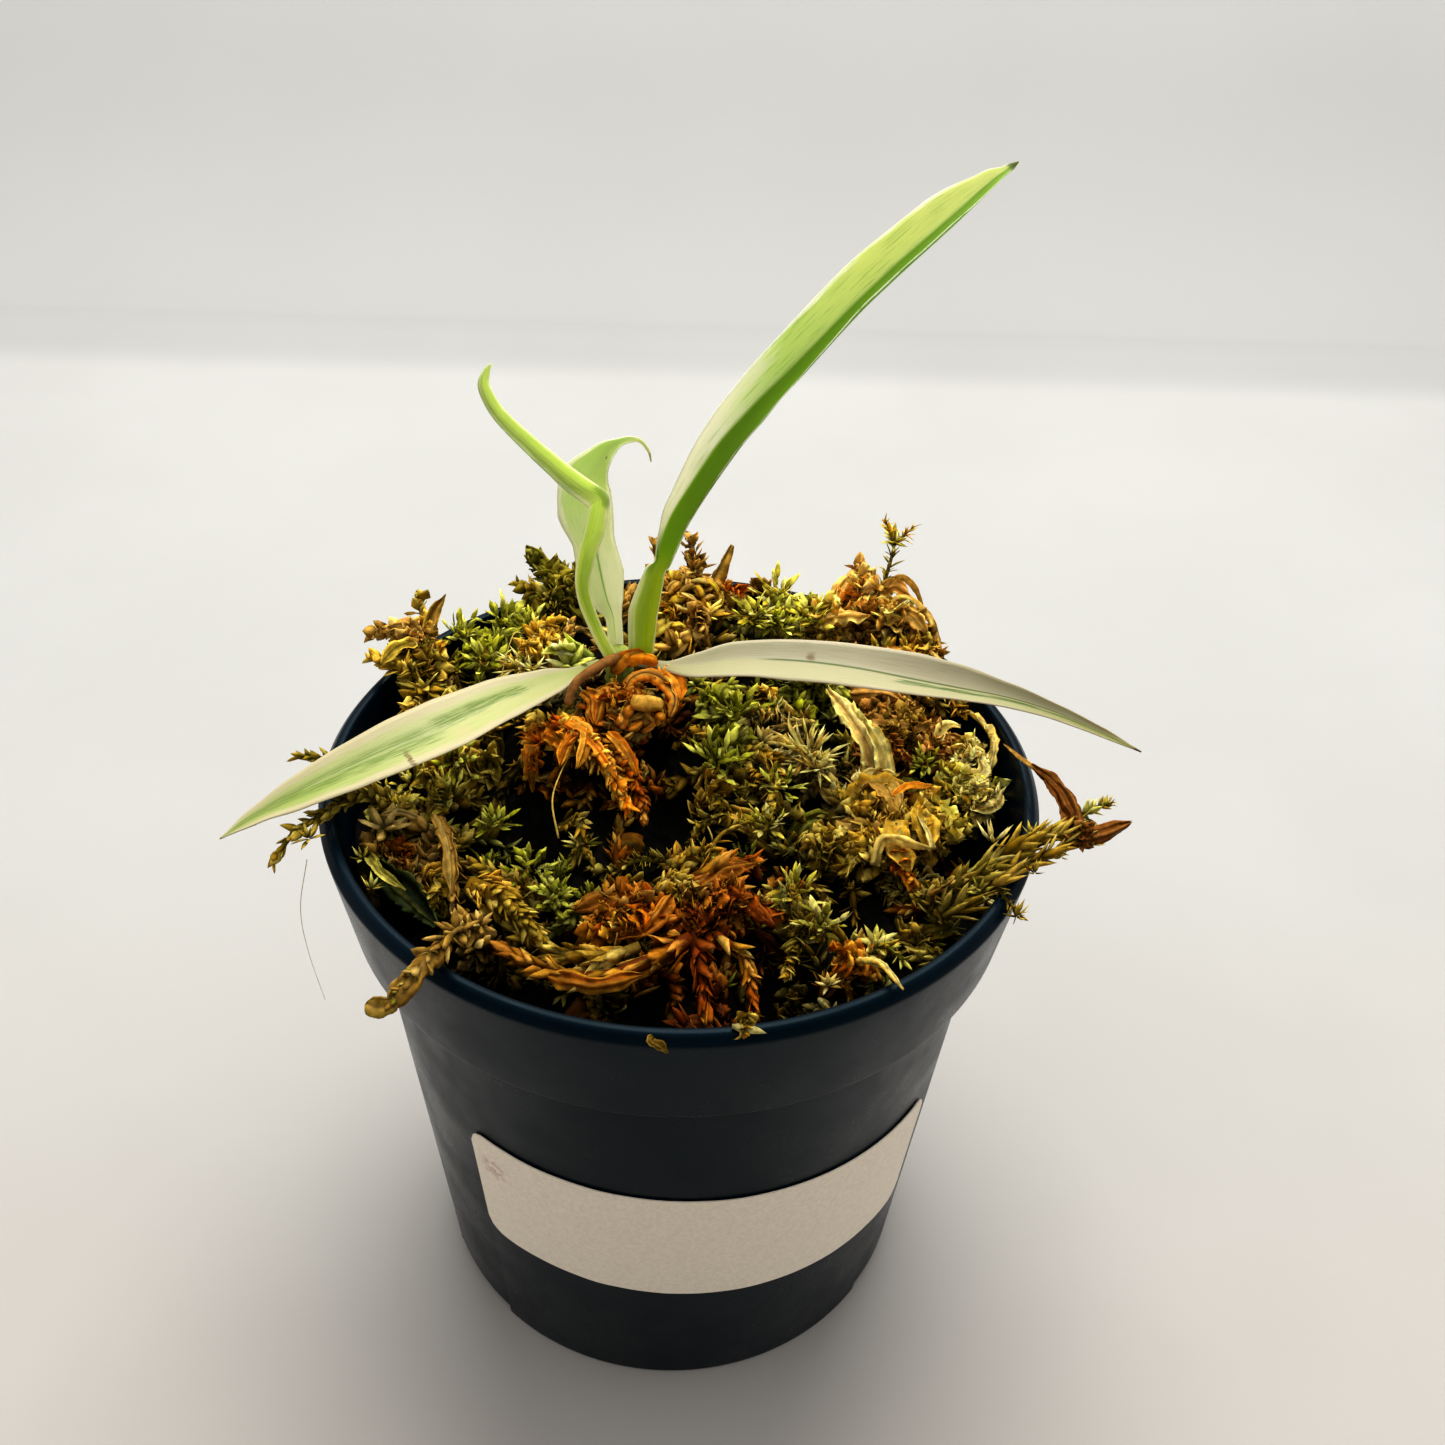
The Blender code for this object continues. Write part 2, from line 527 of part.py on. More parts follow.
def on_circle(radius, degrees, z):
    """A point round the pot's axis. 0 degrees faces the label side, and 90 is to its right."""
    angle = math.radians(degrees)
    return Vector((radius * math.sin(angle), -radius * math.cos(angle), z))


def boolean(target, operation, others, solver):
    """Joins or cuts the target with a collection of meshes, applied, and removes the collection's objects."""
    group = bpy.data.collections.new("helpers")
    bpy.context.scene.collection.children.link(group)
    for other in others:
        for owner in list(other.users_collection):
            owner.objects.unlink(other)
        group.objects.link(other)
    modifier = target.modifiers.new(operation.lower(), "BOOLEAN")
    modifier.operation = operation
    modifier.operand_type = "COLLECTION"
    modifier.collection = group
    modifier.solver = solver
    bpy.context.view_layer.update()
    graph = bpy.context.evaluated_depsgraph_get()
    result = bpy.data.meshes.new_from_object(target.evaluated_get(graph))
    target.modifiers.clear()
    target.data = result
    for other in others:
        bpy.data.objects.remove(other, do_unlink=True)
    bpy.data.collections.remove(group)


def keep_largest_body(piece):
    """Drops the loose scraps that a union leaves. A body is what hangs together by its edges."""
    shape = bmesh.new()
    shape.from_mesh(piece.data)
    left = set(shape.faces)
    bodies = []
    while left:
        front = [left.pop()]
        body = list(front)
        while front:
            for edge in front.pop().edges:
                for other in edge.link_faces:
                    if other in left:
                        left.remove(other)
                        front.append(other)
                        body.append(other)
        bodies.append(body)
    bodies.sort(key=len)
    for body in bodies[:-1]:
        bmesh.ops.delete(shape, geom=body, context="FACES")
    bmesh.ops.triangulate(shape, faces=shape.faces)
    shape.to_mesh(piece.data)
    shape.free()


def thin_out(piece, share):
    """Collapses the short edges that a union leaves where strands cross, down to a share of the faces."""
    modifier = piece.modifiers.new("thin", "DECIMATE")
    modifier.ratio = share
    bpy.context.view_layer.update()
    graph = bpy.context.evaluated_depsgraph_get()
    result = bpy.data.meshes.new_from_object(piece.evaluated_get(graph))
    piece.modifiers.clear()
    piece.data = result


def smooth_path(points, steps):
    """Points along a Catmull-Rom curve through the given ones, with a number of steps on each span."""
    knots = [Vector(p) for p in points]
    ends = [knots[0] * 2 - knots[1], *knots, knots[-1] * 2 - knots[-2]]
    path = []
    for a, b, c, d in zip(ends, ends[1:], ends[2:], ends[3:]):
        for step in range(steps):
            t = step / steps
            bend = 2 * a - 5 * b + 4 * c - d
            path.append(0.5 * (2 * b + (c - a) * t + bend * t**2 + (3 * b - a - 3 * c + d) * t**3))
    return [*path, knots[-1]]


def even_path(points, spacing, knot, depth):
    """The smooth path from where it leaves the knot's core, with its points about one spacing apart."""
    fine = smooth_path(points, 8)
    while len(fine) > 3 and (fine[1] - knot).length < depth:
        fine.pop(0)
    reach = [0.0]
    for a, b in zip(fine, fine[1:]):
        reach.append(reach[-1] + (b - a).length)
    count = max(2, round(reach[-1] / spacing))
    path = []
    index = 0
    for step in range(count):
        target = reach[-1] * step / count
        while reach[index + 1] < target:
            index += 1
        share = (target - reach[index]) / (reach[index + 1] - reach[index])
        path.append(fine[index].lerp(fine[index + 1], share))
    return [*path, fine[-1]]


def pot_profile():
    """The wall's outline in (radius, z), from the underside's middle out, up, over the lip and back in."""
    inner_top = RIM_R - LIP_W
    collar_z = POT_H - COLLAR_H
    step_z = collar_z - STEP_H
    return [
        (0.0, 0.0),
        (PAD_R, 0.0),
        (RING_R, FOOT_H),
        (BASE_R - 2.6, FOOT_H),
        (BASE_R - 1.9, 0.0),
        (BASE_R, 0.0),
        (WALL_TOP_R, step_z),
        (COLLAR_LOW_R, collar_z),
        (RIM_R - 0.2, POT_H - LIP_DROP - 0.4),
        (RIM_R - 0.5, POT_H - LIP_DROP),
        (RIM_R - 1.2, POT_H),
        (inner_top + 0.3, POT_H),
        (inner_top, POT_H - 0.4),
        (COLLAR_LOW_R - WALL_T, collar_z + WALL_T),
        (WALL_TOP_R - WALL_T, step_z + WALL_T),
        (BASE_R - WALL_T + 0.2, FOOT_H + FLOOR_T),
        (RING_R, FOOT_H + FLOOR_T),
        (PAD_R, FLOOR_T),
        (0.0, FLOOR_T),
    ]


def turned(name, profile, segments):
    """A solid turned round the Z axis, whose profile starts and ends on the axis."""
    points = []
    rings = []
    for radius, z in profile:
        if radius == 0.0:
            rings.append([len(points)])
            points.append(Vector((0, 0, z)))
            continue
        rings.append(list(range(len(points), len(points) + segments)))
        points += [on_circle(radius, 360 * k / segments, z) for k in range(segments)]
    faces = []
    for low, high in zip(rings, rings[1:]):
        for k in range(segments):
            after = (k + 1) % segments
            if len(low) == 1:
                faces.append((low[0], high[k], high[after]))
            elif len(high) == 1:
                faces.append((low[k], low[after], high[0]))
            else:
                faces.append((low[k], low[after], high[after], high[k]))
    return mesh_object(name, points, faces)


def sector(name, radii, degrees, heights, steps):
    """A closed block between two radii, two angles and two heights."""
    points = []
    for step in range(steps + 1):
        angle = degrees[0] + (degrees[1] - degrees[0]) * step / steps
        for radius in radii:
            for z in heights:
                points.append(on_circle(radius, angle, z))
    faces = [(0, 1, 3, 2), tuple(4 * steps + k for k in (0, 2, 3, 1))]
    for step in range(steps):
        a = 4 * step
        b = a + 4
        for i, j in ((0, 1), (1, 3), (3, 2), (2, 0)):
            faces.append((a + i, a + j, b + j, b + i))
    return mesh_object(name, points, faces)


def make_pot():
    pot = turned("pot", pot_profile(), POT_SEGMENTS)
    period = 360 / FOOT_COUNT
    cutters = []
    for k in range(FOOT_COUNT):
        middle = FOOT_MID_DEG + period * (k + 0.5)
        span = (middle - NOTCH_DEG / 2, middle + NOTCH_DEG / 2)
        cutters.append(sector(f"notch_{k}", (BASE_R - 3, BASE_R + 3), span, (-2, FOOT_H + 0.1), 6))
    for k in range(DRAIN_COUNT):
        spot = on_circle(DRAIN_MID_R, 360 * (k + 0.5) / DRAIN_COUNT, 0)
        ends = [spot + UP * (FOOT_H - 1), spot + UP * (FOOT_H + FLOOR_T + 1)]
        cutters.append(mesh_object(f"drain_{k}", *tube(ends, (DRAIN_R, DRAIN_R), 6)))
    boolean(pot, "DIFFERENCE", cutters, "EXACT")
    return finish(pot, (0.02, 0.028, 0.038), 0.42)


def wall_radius(z):
    """The outer wall's radius under the collar."""
    return BASE_R + (WALL_TOP_R - BASE_R) * z / (POT_H - COLLAR_H - STEP_H)


def make_label():
    """A bent sheet with rounded corners, just off the wall."""
    low, high = LABEL_ARC_DEG
    corner_deg = math.degrees(LABEL_CORNER / wall_radius(LABEL_MID_Z))
    angles = [low + corner_deg * k / 3 for k in range(3)]
    inner_steps = LABEL_STEPS - 6
    straight = high - low - 2 * corner_deg
    angles += [low + corner_deg + straight * k / inner_steps for k in range(inner_steps + 1)]
    angles += [high - corner_deg * k / 3 for k in (2, 1, 0)]
    points = []
    for angle in angles:
        inset = min(angle - low, high - angle, corner_deg) / corner_deg
        cut = LABEL_CORNER * (1 - math.sqrt(max(0.0, 1 - (1 - inset) ** 2)))
        middle = LABEL_MID_Z - LABEL_SKEW * ((angle - low) / (high - low) - 0.5)
        for side in (-1, 1):
            z = middle + side * (LABEL_H / 2 - cut * 0.95)
            for off in (0.2, 0.2 + LABEL_T):
                points.append(on_circle(wall_radius(z) + off, angle, z))
    faces = [(0, 1, 3, 2)]
    last = 4 * (len(angles) - 1)
    faces.append((last, last + 2, last + 3, last + 1))
    for k in range(len(angles) - 1):
        a = 4 * k
        b = a + 4
        for i, j in ((0, 1), (1, 3), (3, 2), (2, 0)):
            faces.append((a + i, a + j, b + j, b + i))
    return finish(mesh_object("label", points, faces), (0.8, 0.78, 0.74), 0.6)


def tube(points, radii, sides, grow=0.0):
    """A capped tube through the points, with a radius at each. Returns points and faces."""
    verts = []
    side = None
    for k, point in enumerate(points):
        along = (points[min(k + 1, len(points) - 1)] - points[max(k - 1, 0)]).normalized()
        if side is None:
            side = along.orthogonal().normalized()
        side = (side - along * side.dot(along)).normalized()
        across = along.cross(side)
        shift = along * (grow if k == len(points) - 1 else -grow if k == 0 else 0)
        for i in range(sides):
            turn = 2 * math.pi * i / sides
            out = side * math.cos(turn) + across * math.sin(turn)
            verts.append(point + shift + out * (radii[k] + grow))
    faces = [tuple(range(sides)), tuple(range(len(verts) - sides, len(verts)))]
    for k in range(len(points) - 1):
        for i in range(sides):
            after = (i + 1) % sides
            faces.append((k * sides + i, k * sides + after, (k + 1) * sides + after, (k + 1) * sides + i))
    return verts, faces


def spike(root, tip, width, thick, facing, grow=0.0):
    """A pointed moss leaf: a flat three-sided cone from its root to its tip."""
    along = (tip - root).normalized()
    side = along.cross(facing)
    side = side.normalized() if side.length > 1e-6 else along.orthogonal().normalized()
    out = side.cross(along)
    tip = tip + along * grow
    half = width / 2 + grow
    verts = [
        root + side * half - out * (thick / 2 + grow),
        root - side * half - out * (thick / 2 + grow),
        root + out * (thick / 2 + grow),
        tip,
    ]
    return verts, [(0, 1, 2), (0, 1, 3), (1, 2, 3), (2, 0, 3)]


def lump(centre, radius, sides, grow=0.0):
    """A low closed knot: a stretched double cone with a belt."""
    reach = radius + grow
    verts = [centre - UP * reach]
    for level, share in ((-0.45, 0.85), (0.45, 0.85)):
        for i in range(sides):
            turn = 360 * (i + (0.5 if level > 0 else 0)) / sides
            verts.append(centre + on_circle(reach * share, turn, level * reach))
    verts.append(centre + UP * reach)
    faces = []
    for i in range(sides):
        after = (i + 1) % sides
        faces.append((0, 1 + after, 1 + i))
        faces.append((1 + i, 1 + after, 1 + sides + i))
        faces.append((1 + after, 1 + sides + after, 1 + sides + i))
        faces.append((1 + sides + i, 1 + sides + after, len(verts) - 1))
    return verts, faces


def bed_height(x, y):
    """The bed's surface: a mound under the crown, a rise at the back, pits where the photo is black."""
    spread_x, spread_y = MOUND_SPREAD
    mound = math.exp(-0.5 * (((x - MOUND_AT[0]) / spread_x) ** 2 + ((y - MOUND_AT[1]) / spread_y) ** 2))
    back = min(max((y - 18) / 24, 0), 1)
    height = BED_EDGE_Z + (MOUND_H - 1.0) * mound + BACK_RISE * back * back * (3 - 2 * back)
    for pit_x, pit_y, pit_r, depth in PITS:
        height -= depth * math.exp(-(((x - pit_x) ** 2 + (y - pit_y) ** 2) / pit_r**2))
    height += BED_LUMP * noise.noise(Vector((x * 0.16, y * 0.16, 2.7)))
    height += 0.5 * BED_LUMP * noise.noise(Vector((x * 0.4, y * 0.4, 9.1)))
    return height


def inner_wall_radius(z):
    """The pot's inner radius at a height, from its profile."""
    inner = pot_profile()[12:16]
    for (r_high, z_high), (r_low, z_low) in zip(inner, inner[1:]):
        if z >= z_low:
            share = (z - z_low) / (z_high - z_low)
            return r_low + (r_high - r_low) * min(share, 1.0)
    return inner[-1][0]


def bed_mesh():
    """The filling: a lumpy top, sides just off the wall and an underside that follows the floor."""
    floor_z = FOOT_H + FLOOR_T + BED_CLEAR
    ledge_z = POT_H - COLLAR_H + WALL_T + BED_CLEAR
    floor = [
        (COLLAR_LOW_R - WALL_T - BED_SIDE, ledge_z),
        (WALL_TOP_R - WALL_T - BED_SIDE, ledge_z - STEP_H),
        (inner_wall_radius(floor_z) - BED_SIDE, floor_z),
        (RING_R - 0.5, floor_z),
        (PAD_R - 1.5, FLOOR_T + BED_CLEAR),
    ]
    points = [Vector((0, 0, bed_height(0, 0)))]
    rings = []
    for ring in range(1, BED_RINGS + 1):
        radius = BED_R * ring / BED_RINGS
        rings.append(list(range(len(points), len(points) + BED_SEGMENTS)))
        for k in range(BED_SEGMENTS):
            spot = on_circle(radius, 360 * (k + 0.5 * (ring % 2)) / BED_SEGMENTS, 0)
            points.append(Vector((spot.x, spot.y, bed_height(spot.x, spot.y))))
    for radius, z in floor:
        rings.append(list(range(len(points), len(points) + BED_SEGMENTS)))
        points += [on_circle(radius, 360 * (k + 0.5) / BED_SEGMENTS, z) for k in range(BED_SEGMENTS)]
    points.append(Vector((0, 0, FLOOR_T + BED_CLEAR)))
    faces = []
    for k in range(BED_SEGMENTS):
        after = (k + 1) % BED_SEGMENTS
        faces.append((0, rings[0][k], rings[0][after]))
        faces.append((rings[-1][k], rings[-1][after], len(points) - 1))
        for a, b in zip(rings, rings[1:]):
            faces.append((a[k], a[after], b[after]))
            faces.append((a[k], b[after], b[k]))
    return points, faces


class Obstacles:
    """The pieces already placed, which a new element keeps clear of."""

    def __init__(self):
        self.trees = []

    def add(self, piece):
        points = [vert.co / MM for vert in piece.data.vertices]
        self.trees.append(tree_of(points, [face.vertices for face in piece.data.polygons]))

    def hit(self, points, faces):
        tree = tree_of(points, faces)
        return any(tree.overlap(other) for other in self.trees)


def tree_of(points, faces):
    return BVHTree.FromPolygons([tuple(p) for p in points], [tuple(f) for f in faces])


def scaly_strand(path, radii, leaf, turn, grow=0.0):
    """A strand of lapped, pointed moss leaves in one closed skin: three leaves to a whorl."""
    if not leaf:
        return tube(path, radii, 5, grow)
    verts = []
    side = None
    last = len(path) - 1
    for k, point in enumerate(path):
        along = (path[min(k + 1, last)] - path[max(k - 1, 0)]).normalized()
        side = along.orthogonal() if side is None else side - along * side.dot(along)
        side = side.normalized()
        across = along.cross(side)
        angles = [turn + math.pi * (k + 2 * i) / 3 for i in range(3)]
        outs = [side * math.cos(angle) + across * math.sin(angle) for angle in angles]
        if k == 0:
            verts += [point - along * grow + out * (radii[k] + grow) for out in outs]
            continue
        forward = along * (leaf * WHORL_FORWARD + grow)
        verts += [point + forward + out * (radii[k] + leaf * WHORL_OUT + grow) for out in outs]
        verts += [point + along * 0.25 + out * (radii[k] * 0.8 + grow) for out in outs]
    verts.append(path[-1] + (path[-1] - path[-2]).normalized() * (leaf * TIP_REACH + grow))
    tip = len(verts) - 1
    faces = [(0, 1, 2)]
    for ring in range(0, tip - 3, 3):
        for i in range(3):
            after = (i + 1) % 3
            faces.append((ring + i, ring + after, ring + 3 + i))
            faces.append((ring + after, ring + 3 + after, ring + 3 + i))
    faces += [(tip - 3 + i, tip - 3 + (i + 1) % 3, tip) for i in range(3)]
    return verts, faces


def star(centre, radius, count, turn, grow=0.0):
    """A rosette of pointed leaves in one closed skin: a low dome whose facets are drawn out to points."""
    sides = round(0.4 * count)
    core = radius * 0.42 + grow
    rows = ((-0.75, 0.5), (-0.1, 1.0), (0.6, 0.75))
    verts = [centre + UP * core]
    for row, (rise, share) in enumerate(rows):
        for i in range(sides):
            angle = turn + 360 * (i + 0.5 * row) / sides
            verts.append(centre + on_circle(core * share, angle, rise * core))
    low, belt, high = (range(1 + sides * row, 1 + sides * (row + 1)) for row in range(3))
    faces = [tuple(low)]
    spiked = []
    for i in range(sides):
        after = (i + 1) % sides
        faces.append((low[i], low[after], belt[i]))
        faces.append((low[after], belt[after], belt[i]))
        spiked.append((belt[i], belt[after], high[i]))
        faces.append((belt[after], high[after], high[i]))
        spiked.append((high[i], high[after], 0))
    for k, face in enumerate(spiked):
        middle = (verts[face[0]] + verts[face[1]] + verts[face[2]]) / 3
        out = (middle - centre).normalized()
        verts.append(centre + out * (radius * (1.0 - 0.2 * (k % 2)) + grow))
        point = len(verts) - 1
        faces += [(face[0], face[1], point), (face[1], face[2], point), (face[2], face[0], point)]
    return verts, faces


def make_clump(name, spec, obstacles, bed_tree, rng):
    """One clump, joined: a plug in the bed, knots, strands and stars. It returns the bed's seats for it too.

    What would cross another piece is left out. What dips into the bed gets a seat there.
    """
    x, y = spec["root"]
    foot = bed_height(x, y) - PLUG_DEPTH
    knot_z = spec["knots"][0][2]
    plug_ends = [Vector((x, y, foot)), Vector((x, y, knot_z))]
    makers = []
    for knot_x, knot_y, z, radius in spec["knots"]:
        makers.append(partial(lump, Vector((knot_x, knot_y, z)), radius, KNOT_SIDES))
    knot = Vector(spec["knots"][0][:3])
    depth = KNOT_CORE * spec["knots"][0][3]
    for radius, leaf, points in spec["strands"]:
        path = even_path(points, WHORL_STEP, knot, depth)
        radii = [radius * (1 - 0.4 * k / (len(path) - 1)) for k in range(len(path))]
        makers.append(partial(scaly_strand, path, radii, leaf, rng.uniform(0, math.tau)))
    for star_x, star_y, z, radius, count in spec["stars"]:
        makers.append(partial(star, Vector((star_x, star_y, z)), radius, count, rng.uniform(0, 360)))
    base = mesh_object(name, *tube(plug_ends, (PLUG_R, PLUG_R), KNOT_SIDES))
    helpers = []
    seats = [tube([plug_ends[0], plug_ends[1] + 2 * UP], (PLUG_R, PLUG_R), KNOT_SIDES, GAP)]
    for make in makers:
        seat = make(GAP)
        if obstacles.hit(*seat):
            continue
        helpers.append(mesh_object(f"{name}_{len(helpers)}", *make(0.0)))
        if tree_of(*seat).overlap(bed_tree):
            seats.append(seat)
    boolean(base, "UNION", helpers, "MANIFOLD")
    keep_largest_body(base)
    thin_out(base, KEPT_FACES)
    keep_largest_body(base)
    return finish(base, spec["colour"], 0.75), seats


def make_bed(seats, obstacles, rng):
    """The bed with short olive tips fused to it, and a seat for the stem and for each clump."""
    bed = mesh_object("moss_bed", *bed_mesh())
    helpers = []
    for k in range(TUFT_COUNT):
        spot = on_circle(TUFT_REACH * math.sqrt((k + 0.5) / TUFT_COUNT), GOLDEN_DEG * k, 0)
        base = Vector((spot.x, spot.y, bed_height(spot.x, spot.y) - TUFT_SUNK))
        lean = Vector((rng.uniform(-1, 1), rng.uniform(-1, 1), rng.uniform(0.5, 1.2))).normalized()
        tip = base + lean * rng.uniform(*TUFT_LENGTH)
        facing = lean.cross(UP).normalized()
        if not obstacles.hit(*spike(base, tip, TUFT_W, TUFT_T, facing, GAP)):
            helpers.append(mesh_object(f"tuft_{k}", *spike(base, tip, TUFT_W, TUFT_T, facing)))
    boolean(bed, "UNION", helpers, "MANIFOLD")
    boolean(bed, "DIFFERENCE", [mesh_object(f"seat_{k}", *seat) for k, seat in enumerate(seats)], "MANIFOLD")
    keep_largest_body(bed)
    return finish(bed, (0.09, 0.08, 0.03), 0.9)


def make_stem():
    """The short ringed stem that the leaves grow from."""
    x, y = STEM_AT
    low, high = STEM_Z
    points = []
    radii = []
    for k in range(9):
        points.append(Vector((x, y, low + (high - low) * k / 8)))
        radii.append(STEM_R * (1.0 if k % 2 else 0.86) * (0.6 if k == 8 else 1.0))
    return finish(mesh_object("stem", *tube(points, radii, 8)), (0.42, 0.5, 0.2), 0.5)


def make_root():
    """One brown aerial root, from the stem over the orange roll."""
    route = (
        (-8.2, 14.2, 100.2),
        (-8.6, 12.6, 102.8),
        (-11.6, 9.0, 103.6),
        (-15.4, 5.4, 102.8),
        (-18.0, 2.6, 100.2),
    )
    path = smooth_path(route, 4)
    radii = [0.95 - 0.35 * k / (len(path) - 1) for k in range(len(path))]
    return finish(mesh_object("aerial_root", *tube(path, radii, 6)), (0.16, 0.08, 0.03), 0.6)


def make_bud():
    """The new shoot: a pointed sheath, folded shut, beside the crown."""
    route = ((-13.8, 17.6, 98.6), (-15.6, 17.0, 100.6), (-17.8, 15.4, 102.2), (-19.4, 13.6, 103.0))
    path = smooth_path(route, 3)
    radii = [0.9 + 0.9 * math.sin(math.pi * min(1, 0.15 + k / len(path))) for k in range(len(path))]
    radii[-1] = 0.3
    return finish(mesh_object("new_shoot", *tube(path, radii, 7)), (0.6, 0.68, 0.35), 0.45)


def blade_points(stations, face, thick, steps):
    """Five points across the top and five across the bottom at each step along a blade."""
    face = Vector(face).normalized()
    path = smooth_path([s[0] for s in stations], steps)
    rows = []
    count = len(path)
    for k, point in enumerate(path):
        place = k / steps
        index = min(int(place), len(stations) - 2)
        share = place - index
        now, after = stations[index], stations[index + 1]
        left, right, lift_left, lift_right = (now[i] * (1 - share) + after[i] * share for i in (1, 2, 3, 4))
        along = (path[min(k + 1, count - 1)] - path[max(k - 1, 0)]).normalized()
        side = along.cross(face).normalized()
        up = side.cross(along).normalized()
        half_t = 0.5 * (thick[1] + (thick[0] - thick[1]) * max(0.0, 1 - place / 3))
        fold_left, fold_right = math.radians(lift_left), math.radians(lift_right)
        out_left = -side * math.cos(fold_left) + up * math.sin(fold_left)
        out_right = side * math.cos(fold_right) + up * math.sin(fold_right)
        normal_left = side * math.sin(fold_left) + up * math.cos(fold_left)
        normal_right = -side * math.sin(fold_right) + up * math.cos(fold_right)
        normal_mid = (normal_left + normal_right).normalized()
        mid_t = half_t / max(0.5, normal_mid.dot(normal_left))
        rows.append(
            (
                point + out_left * left + normal_left * half_t * 0.8,
                point + normal_mid * mid_t,
                point + out_right * right + normal_right * half_t * 0.8,
                point + out_right * right - normal_right * half_t * 0.8,
                point - normal_mid * mid_t,
                point + out_left * left - normal_left * half_t * 0.8,
            )
        )
    return rows


def make_blade(name, spec, colour):
    rows = blade_points(spec["stations"], spec["face"], spec["thick"], 2)
    points = [p for row in rows for p in row]
    faces = []
    for k in range(len(rows) - 1):
        a = 6 * k
        b = a + 6
        for i, j in ((0, 1), (2, 1), (2, 3), (3, 4), (5, 4), (5, 0)):
            faces.append((a + i, a + j, b + i))
            faces.append((a + j, b + j, b + i))
    last = 6 * (len(rows) - 1)
    for start in (0, last):
        faces += [(start + 0, start + 1, start + 5), (start + 1, start + 4, start + 5)]
        faces += [(start + 1, start + 2, start + 4), (start + 2, start + 3, start + 4)]
    return finish(mesh_object(name, points, faces), colour, 0.4)


LEAF_COLOURS = {
    "leaf_tall": (0.55, 0.72, 0.3),
    "leaf_curl": (0.38, 0.62, 0.1),
    "leaf_back": (0.72, 0.78, 0.55),
    "leaf_left": (0.68, 0.74, 0.48),
    "leaf_right": (0.78, 0.79, 0.66),
}


def main():
    clear_scene()
    obstacles = Obstacles()
    for piece in (make_pot(), make_label(), make_stem(), make_root(), make_bud()):
        obstacles.add(piece)
    for name, spec in BLADES.items():
        obstacles.add(make_blade(name, spec, LEAF_COLOURS[name]))
    bed_tree = tree_of(*bed_mesh())
    seats = [tube([Vector((*STEM_AT, STEM_Z[0])), Vector((*STEM_AT, 110))], (STEM_R, STEM_R), 8, GAP)]
    for index, (name, spec) in enumerate(CLUMPS.items()):
        piece, more_seats = make_clump(name, spec, obstacles, bed_tree, random.Random(SEED + index))
        seats += more_seats
        obstacles.add(piece)
    make_bed(seats, obstacles, random.Random(SEED))


main()
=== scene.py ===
import math
from collections import namedtuple

import bmesh
import bpy
import numpy as np
from mathutils import Matrix, Vector, noise


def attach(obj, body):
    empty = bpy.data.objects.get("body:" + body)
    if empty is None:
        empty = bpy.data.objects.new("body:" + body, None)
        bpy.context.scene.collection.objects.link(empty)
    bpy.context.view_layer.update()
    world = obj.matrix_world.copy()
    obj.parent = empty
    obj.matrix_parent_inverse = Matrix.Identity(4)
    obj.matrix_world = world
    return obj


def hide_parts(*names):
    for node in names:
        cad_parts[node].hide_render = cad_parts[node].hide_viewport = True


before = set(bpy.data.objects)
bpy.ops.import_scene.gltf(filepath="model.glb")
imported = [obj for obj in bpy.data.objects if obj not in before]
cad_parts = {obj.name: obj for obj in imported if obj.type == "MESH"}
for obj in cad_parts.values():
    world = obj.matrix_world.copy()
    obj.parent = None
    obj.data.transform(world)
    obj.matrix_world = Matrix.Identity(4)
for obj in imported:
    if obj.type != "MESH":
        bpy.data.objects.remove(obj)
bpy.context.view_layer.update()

# Looks for a young variegated tortum philodendron in its pot of live and dry sphagnum moss. Shapes are
# worked out in millimetres, in the CAD's own frame, and turned into metres where a mesh is made. Colours
# given as whole numbers are 8-bit screen colours.

MM = 0.001
SEED = 5
FILL_SEED = 700
THREAD_SEED = 800
CRUMB_SEED = 801
STEM_SEED = 900
ROOT_SEED = 901
SHOOT_SEED = 902
GOLDEN = math.radians(137.5)

# Camera: the photograph's, in millimetres and in pixels of its 1445 pixel frame
CAMERA_AT = (0.0, -175.77, 236.70)
CAMERA_LOOK = (0.0248, 0.7910, -0.6113)
CAMERA_UP = (-0.0228, 0.6118, 0.7907)
CAMERA_CLIP = (0.01, 10.0)
FOCAL_PX = 1600.0
FRAME_PX = 1445.0
SENSOR_MM = 36.0

# Studio: a sheet of paper on the table that folds up behind the pot, with linear colours from its front
# to its back and up the fold that are painted light, a room brighter one way, and one lamp in metres and
# watts
FOLD_Y = 336.0
FOLD_RISE_DEG = 62.0
FOLD_BEND = 22.0
FOLD_STEPS = 8
FOLD_REACH = 900.0
SHEET_REACH = 1600.0
SHEET_FLOOR_PAINTED_LIGHT = ((0.354, 0.32, 0.291), (0.352, 0.35, 0.34))
SHEET_WALL_PAINTED_LIGHT = ((0.565, 0.56, 0.55), (0.49, 0.488, 0.475))
ROOM_COLOUR = (1.0, 0.994, 0.974)
ROOM_BRIGHT = (0.0, 0.75, 0.66)
ROOM_STRENGTH = (0.34, 1.42)
LAMP_AT = (0.03, 0.42, 0.95)
LAMP_AIM = (0, -0.02, 0.05)
LAMP_SIZE = 0.8
LAMP_POWER = 17.0
LAMP_COLOUR = (1.0, 0.988, 0.96)
CONTRAST = 0.86

